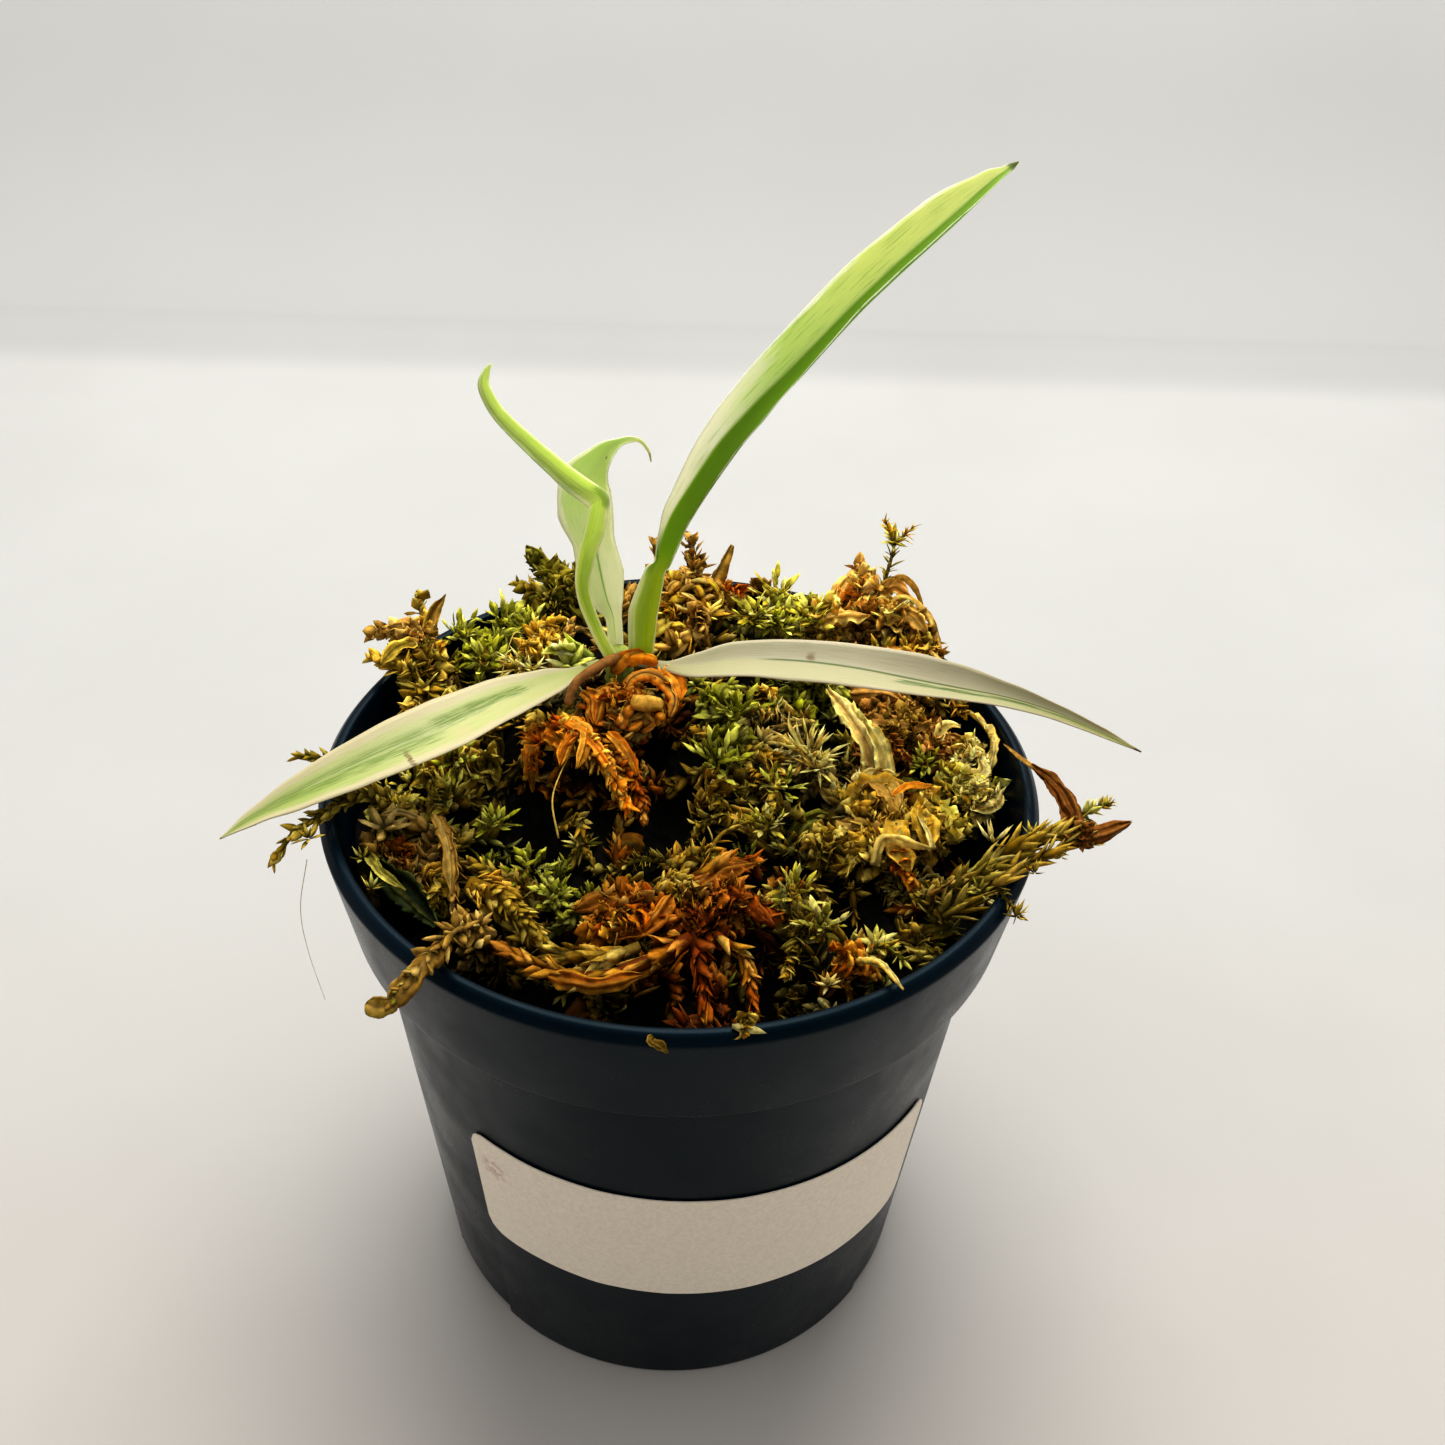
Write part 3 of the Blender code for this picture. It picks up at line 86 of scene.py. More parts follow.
# Pot: the CAD's sizes, turned finer. The lip's insets are those of its side, its shoulder and its top, its
# edge is the rounding at its inner side, and the foot's widths are at its top and at the table.
RIM_R = 50.8
POT_H = 92.8
LIP_W = 2.5
LIP_DROP = 0.9
LIP_INSETS = (0.2, 0.5, 1.2)
LIP_EDGE = (0.3, 0.4)
COLLAR_H = 17.7
COLLAR_LOW_R = 47.9
STEP_H = 0.8
WALL_TOP_R = 45.0
BASE_R = 38.05
WALL_T = 1.2
FLOOR_T = 1.2
FOOT_H = 2.3
FOOT_WIDTHS = (2.6, 1.9)
FOOT_COUNT = 3
FOOT_MID_DEG = 5.0
NOTCH_DEG = 25.0
NOTCH_DEPTH = 3
NOTCH_STEPS = 14
PAD_R = 22.0
RING_R = 27.0
DRAIN_COUNT = 6
DRAIN_R = 2.6
DRAIN_MID_R = 31.0
DRAIN_SIDES = 24
POT_SEGMENTS = 192
POT_ROUNDING = 0.7
CORNER_STEPS = 4
SHARP_DEG = 40
POT_COLOURS = ((0, 10, 19), (3, 15, 25))
POT_DUST = (60, 68, 76)
POT_GLOSS = (0.5, 0.8, 0.95)

# Label: thinner than in the CAD, with a rub at an angle and a height
LABEL_ARC_DEG = (-41.5, 60.0)
LABEL_MID_Z = 38.4
LABEL_H = 25.4
LABEL_SKEW = 4.2
LABEL_T = 0.2
LABEL_GAP = 0.2
LABEL_LIFT = 0.12
LABEL_CORNER = 3.0
LABEL_STEPS = 120
LABEL_ROWS = 12
LABEL_COLOURS = ((228, 217, 200), (240, 230, 214))
RUB_AT = (-36.5, 46.4)
RUB_COLOUR = (176, 120, 104)

# Moss bed: a mound, a rise at the back, and pits, each (x, y, radius, depth)
BED_R = 46.4
BED_EDGE_Z = 82.0
MOUND_H = 12.0
MOUND_AT = (-6.0, 13.0)
MOUND_SPREAD = (20.0, 19.0)
BACK_RISE = 5.0
BACK_Y = (18, 42)
BED_LUMP = 1.6
BED_ROUGH = 0.7
BED_RINGS = 46
BED_SEGMENTS = 150
BED_GAP = 0.4
# The damp bed's own dark colour, made near black as painted shade down in the gaps
BED_COLOURS_WITH_SHADE = ((3, 3, 2), (14, 12, 7))
PITS = (
    (-4.9, 4, 4, 4), (-4, -8, 5.5, 5), (-20, -6, 5, 4), (-28, 3, 4, 3), (-21, -13, 4.5, 5),
    (0, -4, 3.5, 3.5), (-24, -34, 5, 5), (-32, -29, 5, 4.5), (-38, -20, 4, 3.5), (-14, -40, 5, 5),
    (-4, -40, 4, 4.5), (12, -33, 4, 5), (12, -39, 5, 5), (16, 0.6, 3, 4), (23, -22, 3.5, 3.5),
    (42, -8, 4, 4), (-12, 15, 5, 2),
)

# How moss darkens near the bed, as painted shade, and lightens from front to back, as painted light
PAINTED_SHADE_DEEPEST = 0.05
PAINTED_SHADE_CLEAR = 4.2
# Painted light: moss is lighter towards the back, where the light comes from, and darker at the front
PAINTED_LIGHT_FRONT_TO_BACK = (0.72, 1.25)
PAINTED_LIGHT_Y = (-38, 24)

# Stem, aerial root and new shoot
STEM_AT = (-9.6, 17.2)
STEM_R = 2.2
STEM_Z = (84.0, 100.6)
STEM_STEPS = 30
STEM_SIDES = 20
STEM_COLOUR = (150, 160, 80)
ROOT_ROUTE = (
    (-9.2, 14, 100.2), (-9.8, 12.6, 102.4), (-12.4, 9.2, 103.2), (-15.2, 6.4, 102.4), (-16.4, 4.2, 100),
)
ROOT_R = (0.8, 0.6)
ROOT_SIDES = 14
ROOT_COLOUR = (128, 88, 44)
SHOOT_ROUTE = ((-13.8, 17.6, 98.6), (-15.6, 17, 100.6), (-17.8, 15.4, 102.2), (-19, 14, 102.8))
SHOOT_STAR = (-16.8, 14.4, 100.6, 4.6)
# Painted light: the shoot's tint is brightened for the light that shines through it
SHOOT_PAINTED_LIGHT = 1.4

# Threads (colour, radius, points) and the dry crumbs: a scrap of strand, one leaf and a curled strip
THREADS = (
    ("cream", 0.05, ((-49, -20, 92), (-50, -23, 86), (-49, -26, 81), (-46.6, -30, 76))),
    ("cream", 0.09, ((-24.6, 22, 100), (-25.4, 19, 101.4), (-26.6, 15, 98), (-27, 12.6, 95))),
    ("straw", 0.16, ((-16.6, -12.6, 90), (-17.6, -9, 93.6), (-16.6, -5, 95.6), (-15.4, -2, 96.4))),
)
CRUMB_STRAND = ("ruffled", "yellow", 0.7, 1.6, ((8.2, -46.6, 92.6), (8.4, -48.4, 93.8), (8, -50, 93.3)))
CRUMB_LEAF_AT = (6.6, -48.6, 93.3)
CRUMB_LEAF_LENGTH = 4.2
CRUMB_STRIP = (
    "brown", 1.3, ((-2.6, -50.2, 93), (-2.8, -51.2, 93.4), (-1.6, -51.4, 92.6), (-0.8, -51.2, 91.4)),
)

# The tangle between the clumps: how many of each kind, the turn at which its spiral starts, and how deep
# in a pit it may lie, from 0 to 1. A clump is far when its distance squared passes FILL_FAR.
FILL = {"strand": (230, 0.0, 0.45), "head": (60, 1.1, 0.3), "strip": (70, 2.3, 0.45)}
FILL_REACH = 45.0
FILL_LENGTH = (6, 11)
FILL_LIFT = (0.6, 3.4)
FILL_BANK = 3.6
FILL_FAR = 30
FILL_SHADE = 0.85

# Moss colours: the dark, the usual and the light shade, and the colour each runs into along a strand.
# Then how leaves are toned, and how finely strands, stems and strips are built.
PALETTES = {
    "orange": ((190, 76, 0), (246, 136, 6), (255, 198, 64), "yellow"),
    "rust": ((112, 42, 0), (194, 92, 4), (238, 154, 44), "yellow"),
    "red": ((92, 28, 0), (152, 64, 8), (206, 114, 40), "rust"),
    "green": ((92, 90, 6), (172, 174, 34), (230, 230, 116), "yellow_green"),
    "yellow_green": ((136, 128, 26), (208, 204, 76), (248, 244, 164), "yellow"),
    "olive": ((92, 76, 10), (168, 146, 44), (220, 202, 102), "yellow"),
    "yellow": ((156, 110, 8), (226, 176, 56), (250, 224, 128), "olive"),
    "straw": ((190, 142, 44), (238, 206, 112), (252, 236, 166), "cream"),
    "tan": ((126, 90, 26), (202, 160, 76), (242, 212, 138), "brown"),
    "brown": ((84, 56, 10), (156, 112, 42), (206, 164, 88), "olive"),
    "grey": ((150, 122, 62), (216, 190, 122), (246, 230, 174), "tan"),
    "cream": ((176, 148, 70), (230, 212, 134), (250, 240, 184), "straw"),
    "dusk": ((42, 36, 4), (86, 76, 16), (132, 118, 38), "olive"),
    "deep": ((46, 46, 4), (98, 96, 20), (152, 148, 52), "olive"),
    "bark": ((68, 32, 0), (132, 72, 16), (190, 124, 52), "sienna"),
    "sienna": ((112, 62, 10), (190, 122, 44), (238, 184, 98), "tan"),
    "shoot": ((164, 188, 40), (214, 228, 112), (244, 248, 172), "cream"),
    "decayed": ((6, 14, 6), (22, 42, 22), (70, 92, 50), "dusk"),
}
LEAF_GAIN = 1.15
LEAF_TONE = (0.95, 0.93, 0.74)
# Painted shade: moss leaves are darker at their roots, and lighter towards their tips
PAINTED_SHADE_ROOT_TO_TIP = (0.4, 1.2)
LEAF_TIP = 0.30
LEAF_TIP_TONE = (0.95, 0.88, 0.62)
CURVE_STEPS = 16
STRAND_STEP = 0.7
STRAND_SIDES = 5
STRAND_TIP = 0.45
STEM_STEP = 0.35
STEM_CUTS = 12
STRIP_COLUMNS = 13
STRIP_FACE = (0.1, -0.35, 0.93)

# How leaves sit on a strand: their shape, how many to a millimetre, their angle to the strand, width and
# thickness as shares of their length, how far they bend (out is positive), how cupped and how ruffled
# they are, and the bare core as a share of the strand's radius
Style = namedtuple("Style", "leaf per_mm lift wide thick bend cup ruffle core", defaults=(0.42,))
STYLES = {
    "scaly": Style("scale", 4.2, 26, 0.7, 0.07, 0.06, -0.24, 0.06),
    "ruffled": Style("scale", 3.4, 40, 0.82, 0.05, 0.12, -0.14, 0.15),
    "rolled": Style("scale", 3.6, 12, 0.42, 0.07, 0.02, -0.34, 0.06, 0.72),
    "lapped": Style("scale", 3.6, 24, 0.58, 0.2, -0.02, -0.16, 0.03),
    "cone": Style("scale", 9, 24, 0.66, 0.16, -0.04, -0.2, 0.03, 0.72),
    "fat": Style("scale", 1.6, 44, 0.38, 0.2, -0.06, -0.05, 0.02),
    "spiky": Style("scale", 3.6, 46, 0.32, 0.07, 0.14, -0.1, 0.04),
    "head": Style("scale", 4, 30, 0.4, 0.08, 0.1, 0.18, 0.05),
    "needles": Style("needle", 4, 30, 0.17, 0.09, 0.1, 0.05, 0),
    "bract": Style("scale", 1.6, 20, 0.46, 0.07, -0.02, -0.2, 0.03),
    "bracts": Style("scale", 0, 0, 0.44, 0.09, -0.12, -0.16, 0.03),
    "rosette": Style("scale", 0, 0, 0.34, 0.08, -0.06, 0.14, 0.05),
    "hand": Style("needle", 0, 0, 0.26, 0.12, 0.14, 0.05, 0),
    "sheath": Style("scale", 4.6, 8, 0.26, 0.07, 0.02, -0.22, 0.03),
}

# Ways to thin a bare stem from its root (place, share of its radius), and the heads: branches, leaves on
# each, and how low the lowest points
STEM_TAPERS = {
    "smooth": ((0, 0.7, 1), (1, 0.8, 0.22)),
    "bean": ((0, 0.12, 0.5, 0.88, 1), (0.3, 0.8, 1, 0.8, 0.2)),
    "knob": ((0, 0.3, 0.8, 0.93, 1), (0.6, 0.95, 1, 0.85, 0.4)),
}
STARS = {
    "burst": (11, 3, -0.05),
    "rosette": (13, 1, 0.0),
    "fat": (9, 1, 0.0),
    "hand": (7, 1, 0.35),
    "bracts": (8, 1, 0.1),
}

CLUMPS = {}
ROOT = "root"


def clump(name, slot, strands, ribbons=(), lumps=(), tufts=(), stars=(), knots=(), root=None):
    """Notes a clump down. A strand's point that says ROOT is the clump's root."""
    placed = []
    for style, colour, radius, leaf, route, *shade in strands:
        route = tuple(root if point == ROOT else point for point in route)
        placed.append((style, colour, radius, leaf, route, *shade))
    CLUMPS["moss_" + name] = {"slot": "moss_" + slot, "strands": placed, "ribbons": ribbons, "lumps": lumps,
                              "tufts": tufts, "stars": stars, "knots": knots}


# Moss clumps, after the CAD's. What stands in brackets may be left off, and a knot takes the colour of
# the clump's first strand.
#   strand: style, colour, radius, leaf length, points (, shade)
#   ribbon: colour, width, points (, frill, arch, shade)
#   lump: colours, centre, radii, count, size (, shade)
#   tuft: colour, x, y, z, radius, shade (, leaf length)
#   star: kind, colour, x, y, z, radius (, shade)
#   knot: x, y, z, radius
clump("orange_roll", "orange",
    strands=(
        ("bean", "tan", 1.3, 0, ((-7.2, 5, 100.4), (-5.2, 3.9, 100.9), (-2.8, 4.6, 100.3)), 1.3),
        ("bean", "rust", 0.9, 0, ((-8.6, 7, 100.4), (-7.4, 9.4, 101.2), (-5, 10.4, 101.3),
            (-2.6, 9.2, 100.6), (-1.2, 6.4, 99.8), (-1.8, 3.6, 98.8))),
        ("bean", "orange", 1.1, 0, ((-8.4, 12.4, 101.6), (-6.4, 12.8, 102.4), (-3.8, 12.6, 101.6))),
        ("bean", "rust", 0.9, 0, ((-10.4, 10.8, 101), (-8.2, 12.8, 102.6), (-5.8, 13.4, 103))),
        ("cone", "orange", 1.9, 2.2, ((-15, 1, 97), (-12.4, -1.8, 97), (-9.4, -5.6, 95.4),
            (-7.2, -9.4, 93)), 1.2),
        ("cone", "rust", 1.5, 2, ((-12, 1, 96.8), (-8.8, -2.8, 96.4), (-6, -6.8, 94.2), (-5, -10.4, 92.2)),
            0.7),
        ("ruffled", "orange", 1.3, 2.4, ((-12, 1.6, 97.5), (-16, 1.6, 97.8), (-20.6, 2.2, 97.2))),
    ),
    ribbons=(
        ("orange", 2.2, ((-13.8, -0.4, 98.6), (-11.4, -3.4, 98.2), (-8.8, -7, 96)), 1, 0.3, 1.15),
        ("orange", 2, ((-10.4, 0.4, 98.4), (-7.8, -2.8, 97.8), (-6, -6, 96)), 1, 0.3, 0.8),
        ("orange", 2, ((-15, 0.8, 98.4), (-16.2, -2.6, 97.6), (-16.8, -5, 96.4)), 0.8, 0.4),
        ("orange", 2, ((-13.4, 0.4, 98.6), (-13.6, -2.8, 98.2), (-14.4, -5.8, 96.8)), 0.8, 0.4, 0.9),
        ("orange", 3, ((-19.4, 1.4, 97.2), (-17.4, -0.6, 97.8), (-15.4, -2.4, 97.2)), 1, 0.3, 1.15),
        ("orange", 2.6, ((-16.6, 2.6, 98.4), (-14.2, 0.4, 99), (-12.2, -1.4, 98.4)), 0.8, 0.4),
        ("rust", 3.2, ((-14.2, 8.6, 99.2), (-12.6, 5.2, 100), (-12.4, 1.6, 98.8)), 0.8, 0.4),
        ("orange", 2.8, ((-3, 12.2, 101), (-1.2, 9.4, 101), (-0.4, 6.4, 99.6)), 1, 0.2),
    ),
    lumps=((("rust", "orange", "rust", "tan"), (-8.6, 6.6, 97), (6.6, 5.4, 3.8), 44, 0.62),),
    tufts=(("rust", -8.6, 6.6, 97.4, 4.6, 0.9, 2), ("orange", -16.4, 1.4, 96.8, 2.8, 1, 2)),
    stars=(
        ("rosette", "orange", -20, 0.6, 97, 3.6), ("rosette", "orange", -3.4, 10.4, 101, 2.6),
        ("rosette", "orange", -16, 0.6, 98, 2.8),
    ),
    knots=((-9, 5, 96.2, 3.4),))
clump("rust_front", "rust", root=(0, -26, 87),
    strands=(
        ("ruffled", "rust", 1.5, 3, (ROOT, (-6, -23, 89.6), (-12, -24, 88.6))),
        ("rolled", "rust", 1.3, 3.4, ((1.6, -20.6, 90), (5, -18.6, 91), (9.4, -16.6, 90.4))),
        ("ruffled", "orange", 1.2, 2.6, ((-3, -27, 89.6), (-7.4, -29.6, 90), (-12, -29, 89))),
        ("ruffled", "rust", 1.2, 2.4, ((1, -22.4, 90.4), (4.6, -25.4, 90.8), (9, -23.4, 90.2))),
        ("ruffled", "red", 1.5, 3, (ROOT, (6, -23.5, 89.8), (11.5, -25.5, 88.6))),
        ("rolled", "red", 1.4, 4, ((2, -29, 88.4), (3, -34, 88.2), (3.5, -39.6, 86.8))),
        ("rolled", "rust", 0.9, 3.4, ((5, -29, 88.6), (8.4, -33, 88.6), (9.6, -39, 87))),
        ("rolled", "rust", 1.7, 4.4, ((1.4, -29.6, 88.2), (-3, -33.6, 88.6), (-9, -36.2, 88.2),
            (-16, -35.4, 88), (-22, -32, 87.4))),
        ("rolled", "yellow", 1.1, 4, ((-5, -31.4, 88.6), (-9, -33.4, 88.8), (-15, -32.4, 88.2),
            (-21, -28.6, 88))),
        ("cone", "yellow", 1.5, 1.6, ((-2.8, -22.8, 89.6), (-1, -21.4, 90.8), (2, -22, 90.6)), 0.9),
    ),
    ribbons=(
        ("rust", 3, ((2, -23, 90), (6, -19.4, 91.2), (10.4, -17.4, 90.4)), 0.9, 0.3, 0.75),
        ("red", 3, ((3, -26, 89.6), (8, -24.4, 90.4), (12.6, -27.6, 88.8)), 0.9, 0.3, 0.85),
        ("rust", 3, ((-5, -27.6, 89.4), (-9.4, -25, 90.2), (-13.6, -25.6, 89)), 1, 0.2, 0.75),
        ("orange", 2.6, ((-16, -36.6, 88.4), (-10, -38, 88.6), (-4, -36, 88.4)), 0.4, 0.5, 0.62),
        ("rust", 2.4, ((-1, -24, 90.4), (-3.4, -28.6, 90), (-8, -30.6, 89)), 0.8, 0.3),
    ),
    lumps=((("rust", "red", "orange"), (1, -25.4, 86.4), (8.4, 5.4, 3.6), 36, 0.5),),
    tufts=(
        ("rust", -6.4, -25, 87.8, 3.8, 0.7, 2.2), ("rust", 6, -23.4, 88.6, 3.6, 0.7, 2.2),
        ("yellow", 0.2, -22.4, 89.4, 2, 0.9, 1.8), ("red", 3, -27, 88.2, 3.2, 0.7, 2),
        ("orange", -9.4, -27.6, 88.4, 2.6, 0.7, 1.8),
    ),
    stars=(
        ("rosette", "rust", -8, -26, 89.6, 3.6), ("rosette", "rust", 6.6, -21.4, 90.4, 3.4),
        ("rosette", "orange", -3, -26.6, 89.8, 2.8),
    ),
    knots=((0, -25, 86.6, 3.4),))
clump("green_centre", "green",
    strands=(
        ("scaly", "green", 1.2, 2.4, ((7, 4, 94), (7.6, 8.4, 96.6))),
        ("scaly", "olive", 1.1, 2.4, ((7, 4, 93), (12.6, 1.6, 93.6), (14, -3.4, 92.8))),
        ("scaly", "olive", 1, 2.4, ((8, 3, 92), (12.4, -4.6, 92), (11.6, -10, 91.2))),
        ("ruffled", "olive", 1.2, 2.4, ((3.4, 1, 91), (5, -4.6, 92), (5.6, -9.6, 91.4))),
        ("spiky", "yellow", 0.9, 2.2, ((3.4, -15, 89), (5.8, -12, 91), (9.4, -10, 91.4))),
        ("ruffled", "olive", 1, 2.2, ((-1.6, -17, 88.6), (2.6, -15.6, 90), (6.6, -16.4, 90))),
    ),
    stars=(
        ("burst", "green", 7.6, 8.4, 97.2, 4.6), ("burst", "green", 5, -1, 95.6, 4.8),
        ("burst", "green", 14, -3.6, 93.2, 3.4), ("burst", "yellow_green", 11.6, -10.2, 91.8, 3.4),
    ),
    knots=((7, 4, 93.4, 3),))
clump("straw_head", "straw", root=(18.6, 2.4, 92.4),
    strands=(
        ("spiky", "straw", 0.9, 3, ((19, 2.4, 90), (18.4, 2, 93.4))),
        ("smooth", "straw", 0.4, 0, (ROOT, (15, 3.4, 95.2), (12.6, 5.6, 95.4)), 1.3),
        ("smooth", "straw", 0.4, 0, (ROOT, (15.6, 6, 95.4), (15.4, 8.4, 96.6)), 1.3),
    ),
    # The heads' shades above 1 are painted light, brightening them where the leaves above shade them.
    stars=(
        ("burst", "straw", 18.4, 2, 94.2, 4.4, 1.4), ("rosette", "straw", 19.4, 0.8, 93.2, 3.6, 1.3),
        ("burst", "cream", 17.8, 3, 93.6, 4, 1.2),
    ),
    knots=((19, 2.4, 90.6, 2.2),))
clump("green_right", "green",
    strands=(("scaly", "green", 1.1, 2.4, ((20.5, 23, 90.6), (22, 21.4, 93))),),
    stars=(("burst", "green", 22, 21.6, 93.8, 3.9), ("burst", "green", 16.4, 24, 94.4, 3.4)),
    knots=((19.6, 23, 91.6, 2.8),))
clump("yellow_green_back", "yellow_green", root=(14.5, 35, 92.6),
    strands=(
        ("scaly", "yellow_green", 1.1, 2.4, (ROOT, (10.6, 34, 96))),
        ("scaly", "yellow_green", 1.1, 2.4, (ROOT, (14.6, 38.4, 96.6))),
        ("scaly", "yellow_green", 1.1, 2.4, (ROOT, (19.6, 34, 95.6))),
    ),
    stars=(
        ("burst", "yellow_green", 10.6, 33.6, 96.8, 4, 1.2),
        ("burst", "yellow_green", 14.6, 39, 97.4, 4.4, 1.2),
        ("burst", "yellow_green", 20, 34, 96.4, 4, 1.2), ("burst", "green", 15, 32.6, 96.4, 3.4, 1.3),
    ),
    knots=((14.5, 35, 93.2, 3),))
clump("tan_back", "tan", root=(0.5, 37, 94),
    strands=(
        ("scaly", "tan", 1.8, 3.2, (ROOT, (-3.4, 39, 99.4), (-4.6, 42, 103))),
        ("ruffled", "tan", 1.9, 3.2, (ROOT, (1.4, 40.4, 100), (0.6, 43.6, 104.4))),
        ("smooth", "brown", 1.3, 0, (ROOT, (5, 39.4, 99.6), (7.2, 41.6, 104.2))),
        ("scaly", "yellow", 1.6, 3.2, (ROOT, (-2.4, 32.4, 98), (-3.2, 28.6, 99.4))),
        ("scaly", "tan", 1.5, 3, (ROOT, (2, 32.6, 97.8), (2.4, 27.4, 98.2))),
        ("scaly", "rust", 1.3, 2.6, ((1.5, 37, 95), (6, 37, 99), (9, 35.6, 99.4))),
    ),
    lumps=(
        (("tan", "brown", "yellow", "tan"), (1, 36.4, 96.4), (6, 5.4, 5.4), 44, 0.65, 1.2),
        (("tan", "yellow"), (-3, 27.6, 95.6), (4.4, 3.4, 3), 12, 0.9, 1.2),
    ),
    stars=(
        ("rosette", "tan", 1, 39.4, 101.4, 3.6), ("rosette", "yellow", 3.4, 31.6, 98.4, 3.6),
        ("rosette", "tan", -1.6, 36, 99.6, 4),
    ),
    knots=((0.5, 37, 94.8, 4.2),))
clump("tuft_back", "dark", root=(-19, 37.4, 92.6),
    strands=(
        ("ruffled", "deep", 1.7, 3.4, (ROOT, (-20.4, 40.2, 97), (-24, 43, 99.4))),
        ("ruffled", "deep", 1.6, 3.2, (ROOT, (-18, 40.4, 97), (-17.4, 42.6, 99.2))),
        ("scaly", "olive", 1.4, 3, (ROOT, (-22.4, 38, 96.2), (-26.6, 40, 97)), 0.8),
    ),
    ribbons=(("deep", 2.8, ((-21, 39.6, 97.4), (-23.6, 42.4, 100), (-25.6, 43.6, 102)), 1.2, 0.3),),
    tufts=(("deep", -19.6, 38.6, 95.4, 4, 1, 2.6),),
    stars=(("rosette", "deep", -20.4, 41, 98.2, 4.2),),
    knots=((-19, 37.4, 93.4, 3.6),))
clump("ochre", "tan", root=(-21, 25, 94),
    strands=(
        ("lapped", "yellow", 1.2, 2.4, (ROOT, (-23, 26.4, 97), (-20, 28, 98.2))),
        ("lapped", "yellow", 1.2, 2.4, (ROOT, (-24.4, 23.4, 96.6), (-21.6, 21, 98))),
        ("lapped", "tan", 1.1, 2.4, (ROOT, (-18.4, 25, 97.4), (-17.4, 27.6, 98.2))),
    ),
    lumps=((("yellow", "tan", "yellow"), (-21, 24.4, 95.2), (3.8, 3.4, 2.8), 26, 0.5, 1.1),),
    stars=(
        ("rosette", "yellow", -21.2, 24.6, 97.4, 3.2), ("burst", "cream", -24.6, 19.4, 96, 3.6, 1.3),
        ("hand", "cream", -22.8, 18.6, 96.2, 3.4, 1.3),
    ),
    knots=((-21, 25, 94.6, 2.8),))
clump("green_back_left", "green", root=(-31, 29, 89.6),
    strands=(
        ("scaly", "green", 1.1, 2.4, (ROOT, (-29, 32.6, 94))),
        ("scaly", "green", 1.1, 2.4, (ROOT, (-34.6, 31, 92.8))),
        ("scaly", "olive", 1.1, 2.4, (ROOT, (-30.6, 24.6, 93))),
    ),
    stars=(
        ("burst", "green", -28.6, 33, 94.8, 4.4), ("burst", "green", -34.8, 31, 93.6, 4),
        ("burst", "green", -30.6, 24.2, 93.8, 4), ("burst", "green", -24.6, 32.6, 94.6, 3.4),
    ),
    knots=((-31, 29, 90.2, 3.2),))
clump("brown_back_left", "brown", root=(-37.4, 20.6, 89),
    strands=(
        ("ruffled", "tan", 1.5, 2.6, (ROOT, (-39.8, 22.8, 94.6), (-43.8, 26.4, 96.6), (-47.8, 27.4, 95.6))),
        ("ruffled", "olive", 1.5, 2.6, (ROOT, (-38.6, 25.4, 95), (-40.6, 30, 97.4), (-41.2, 32.2, 100))),
        ("scaly", "olive", 1.4, 2.8, (ROOT, (-39.6, 15, 92.4), (-41, 10.4, 92))),
        ("scaly", "olive", 1.2, 2.6, (ROOT, (-42, 19, 95), (-47, 20.4, 95.8))),
    ),
    ribbons=(
        ("tan", 2.6, ((-40, 24.6, 96.4), (-43, 26, 98.2), (-46.2, 26, 97.2)), 1.2),
        ("brown", 2.4, ((-39, 25.4, 97), (-38.2, 28.4, 99.2), (-36.8, 30.4, 101)), 1.2),
        ("olive", 2.4, ((-40.6, 23, 97), (-42.8, 20.8, 97.8), (-45, 18, 96.4)), 1.2),
    ),
    tufts=(("olive", -39.4, 21.4, 92.6, 4, 0.85, 2.6), ("tan", -42, 25.6, 95.2, 2.8, 0.9, 2.2)),
    stars=(("rosette", "tan", -40.4, 26.4, 96.8, 3.8), ("rosette", "olive", -38.8, 17.4, 93.4, 3.8)),
    knots=((-37.4, 20.6, 89.4, 2.8),))
